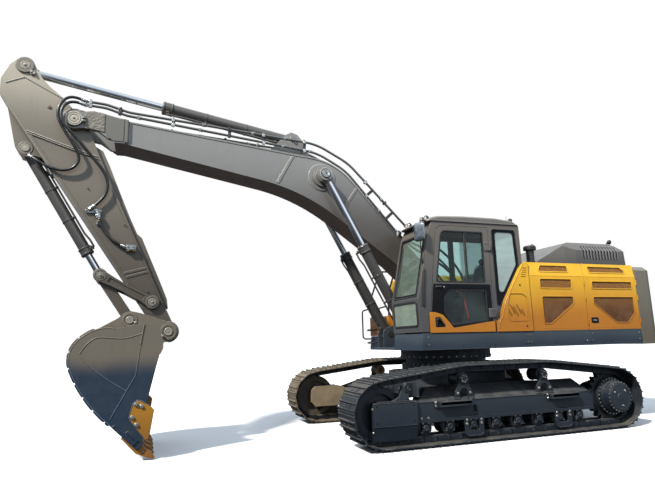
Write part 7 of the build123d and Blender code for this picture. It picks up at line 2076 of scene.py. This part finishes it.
def strip(piece, y, d0, d1, half, lift, n=8, cham=6):
    """A plate bent to the bucket's back between two distances along it."""
    v, f = [], []
    for i in range(n + 1):
        c, t, nn = back_at(d0 + (d1 - d0) * i / n)
        nn = nn if (c - mid).dot(nn) > 0 else -nn
        end = -cham if i in (0, n) else 0
        for w, h in ((-half, -3), (-half, lift - cham), (-half + cham, lift + end), (half - cham, lift + end), (half, lift - cham), (half, -3)):
            v.append(Vector((c.x + nn.x * h, y + w, c.z + nn.z * h)))
    for i in range(n):
        for j in range(5):
            q0 = i * 6 + j
            f.append([q0, q0 + 1, q0 + 7, q0 + 6])
    f += [[5, 4, 3, 2, 1, 0], [n * 6 + k for k in range(6)]]
    piece.add((v, f))


for s in (1, -1):
    y = s * (BH + 1)
    bw.bead([tuple(p) for p in nurbs([(6015, y, 1417), (5978, y, 1490), (5919, y, 1563), (5852, y, 1614), (5783, y, 1635), (5640, y, 1620), (5480, y, 1606), (5364, y, 1634), (5233, y, 1678)], 5)], 6)
    bw.bead([tuple(p) for p in nurbs([(6014, y, 1402), (5903, y, 1272), (5743, y, 1140), (5583, y, 1021), (5414, y, 916)], 5)], 6)
    bw.bead([(5219, y, 1790), (5239, y, 1655), (5307, y, 1113), (5414, y, 916), (5604, y, 560)], 6)
    # plate edge seen as a rim along the back, heel shrouds and their welds
    rim = [(mid + (Vector((x, 0, z)) - mid) * 0.985) for x, z in ROUND]
    bw.add(sweep([(p.x, y - s * 2, p.z) for p in rim], 6, 8))
    d = 258.0
    while d < total - 60:
        L = min(196, total - 12 - d)
        strip(bp_, s * (BH - 46), d, d + L, 44, 20)
        for e in (d + 8, d + L - 8):
            c, t, n = back_at(e)
            n = n if (c - mid).dot(n) > 0 else -n
            bw.bead([(c.x + n.x * 3, s * (BH - 94), c.z + n.z * 3), (c.x + n.x * 3, s * (BH - 4), c.z + n.z * 3)], 5)
        d += L + 17
    # side cutter bolts, its thick edge and the weld behind it
    for x, z in ((5284, 737), (5213, 708), (5326, 572), (5268, 474)):
        bb.bolt((x, s * 830, z), (0, s, 0), 30)
    bc.add(sweep([(5108, s * 816, 700), (5062, s * 816, 655), (5103, s * 816, 372), (5122, s * 816, 292)], 11, 8))
    bw.bead([(5164, s * 803, 276), (5352, s * 803, 528), (5370, s * 803, 576), (5328, s * 803, 740), (5268, s * 803, 790), (5222, s * 803, 780), (5108, s * 803, 712)], 6)
    # reinforcing plates beside the lip
    for s0, s1, o0, o1 in ((24, 404, 8, 58), (205, 404, 66, 108)):
        bp_.plate([(5602 - 0.72 * a - 0.695 * b, 480 - 0.695 * a + 0.72 * b) for a, b in ((s0, o0), (s0 + 10, o1), (s1, o1), (s1, o0))], BH + 1, s, 14, 4)
    # rough cast corner and its weld
    bw.bead([(5219, s * 803, 1800), (5236, s * 803, 1690), (5262, s * 803, 1520)], 9)
# lengthwise wear strips on the back and floor
for y in (-560, -190, 190, 560):
    for a, b in ((0.16, 0.36), (0.38, 0.58), (0.60, 0.80), (0.82, 0.985)):
        strip(bp_, y, total * a, total * b, 38, 13, 7, 4)
# lip: shrouds between the teeth, adapter noses, tooth pins
ad = Piece("tooth_pins", "bucket_body", M["steel"], "pin_steel", 30)
ah = Piece("lip_shrouds", "bucket_body", M["adapter"], "bucket_paint", 34)
for y in (-704, -352, 0, 352, 704):
    for f in (1, -1):
        ad.add(lathe([(17, 0), (17, 7), (13, 10), (0, 10)], 14), facing((5176, y + f * 54, 112), (0, f, 0)))
        ah.block((5235, y + f * 62, 205), (150, 10, 70), 4, (-0.62, 0, 0.78), 0, (0.78, 0, 0.62)) if False else None
    ah.bead([(5352, y - 60, 380), (5352, y + 60, 380)], 8)
    ah.bead([(5448, y - 60, 296), (5448, y + 60, 296)], 8)
    # lifting notch and rib on the adapter's top
    ah.block((5240, y, 262), (120, 26, 22), 6, (-0.66, 0, 0.75), 0, (0.75, 0, 0.66))
for y in (-528, -176, 176, 528):
    ah.block((5282, y, 166), (96, 216, 26), 8, (0.69, 0, -0.72), 0, (0.72, 0, 0.69))
    ah.block((5250, y, 208), (80, 210, 18), 6, (-0.69, 0, 0.72), 0, (0.72, 0, 0.69))
# hinge ears: bosses, pin collars and their retaining bolts, cross tube weld
eb = Piece("bucket_ear_bosses", "bucket_body", M["bucket"], "bucket_paint", 36)
ec = Piece("bucket_pin_caps", "bucket_body", M["cream"], "pin_steel", 30)
for s in (1, -1):
    for (x, z), r, hole in (((4881, 1704), 118, 58), ((5423, 1880), 104, 52)):
        eb.add(lathe([(r + 4, -6), (r + 4, 2), (r, 6), (hole + 26, 6), (hole + 22, 1)], 40), facing((x, s * 331, z), (0, s, 0)))
        ec.add(lathe([(hole + 2, 0), (hole + 2, 7), (hole - 4, 11), (hole - 16, 11), (hole - 19, 7), (24, 7), (21, 10), (10, 10), (8, 6), (0, 6)], 32), facing((x, s * 338, z), (0, s, 0)))
    # retaining bolt and its boss beside each pin
    for x, z in ((4962, 1640), (5345, 1842)):
        ec.add(lathe([(21, 0), (21, 22), (17, 26), (0, 26)], 20), facing((x, s * 331, z), (0, s, 0)))
        bb.bolt((x, s * 356, z), (0, s, 0), 20)
    bw.bead([(5500, s * 332, 1752), (5300, s * 332, 1740), (5120, s * 332, 1694)], 9)
    bw.bead([(5500, s * 270, 1752), (5300, s * 270, 1740), (5120, s * 270, 1694)], 9)
    eb.add(sweep([(4786, s * 300, 1655), (4764, s * 300, 1720), (4802, s * 300, 1798), (4900, s * 300, 1848), (5295, s * 300, 1980)], 7, 8))
for p in (bw, bp_, bb, bc, ad, ah, eb, ec):
    p.done()

for p in (lamps, lens, lring):
    p.done()
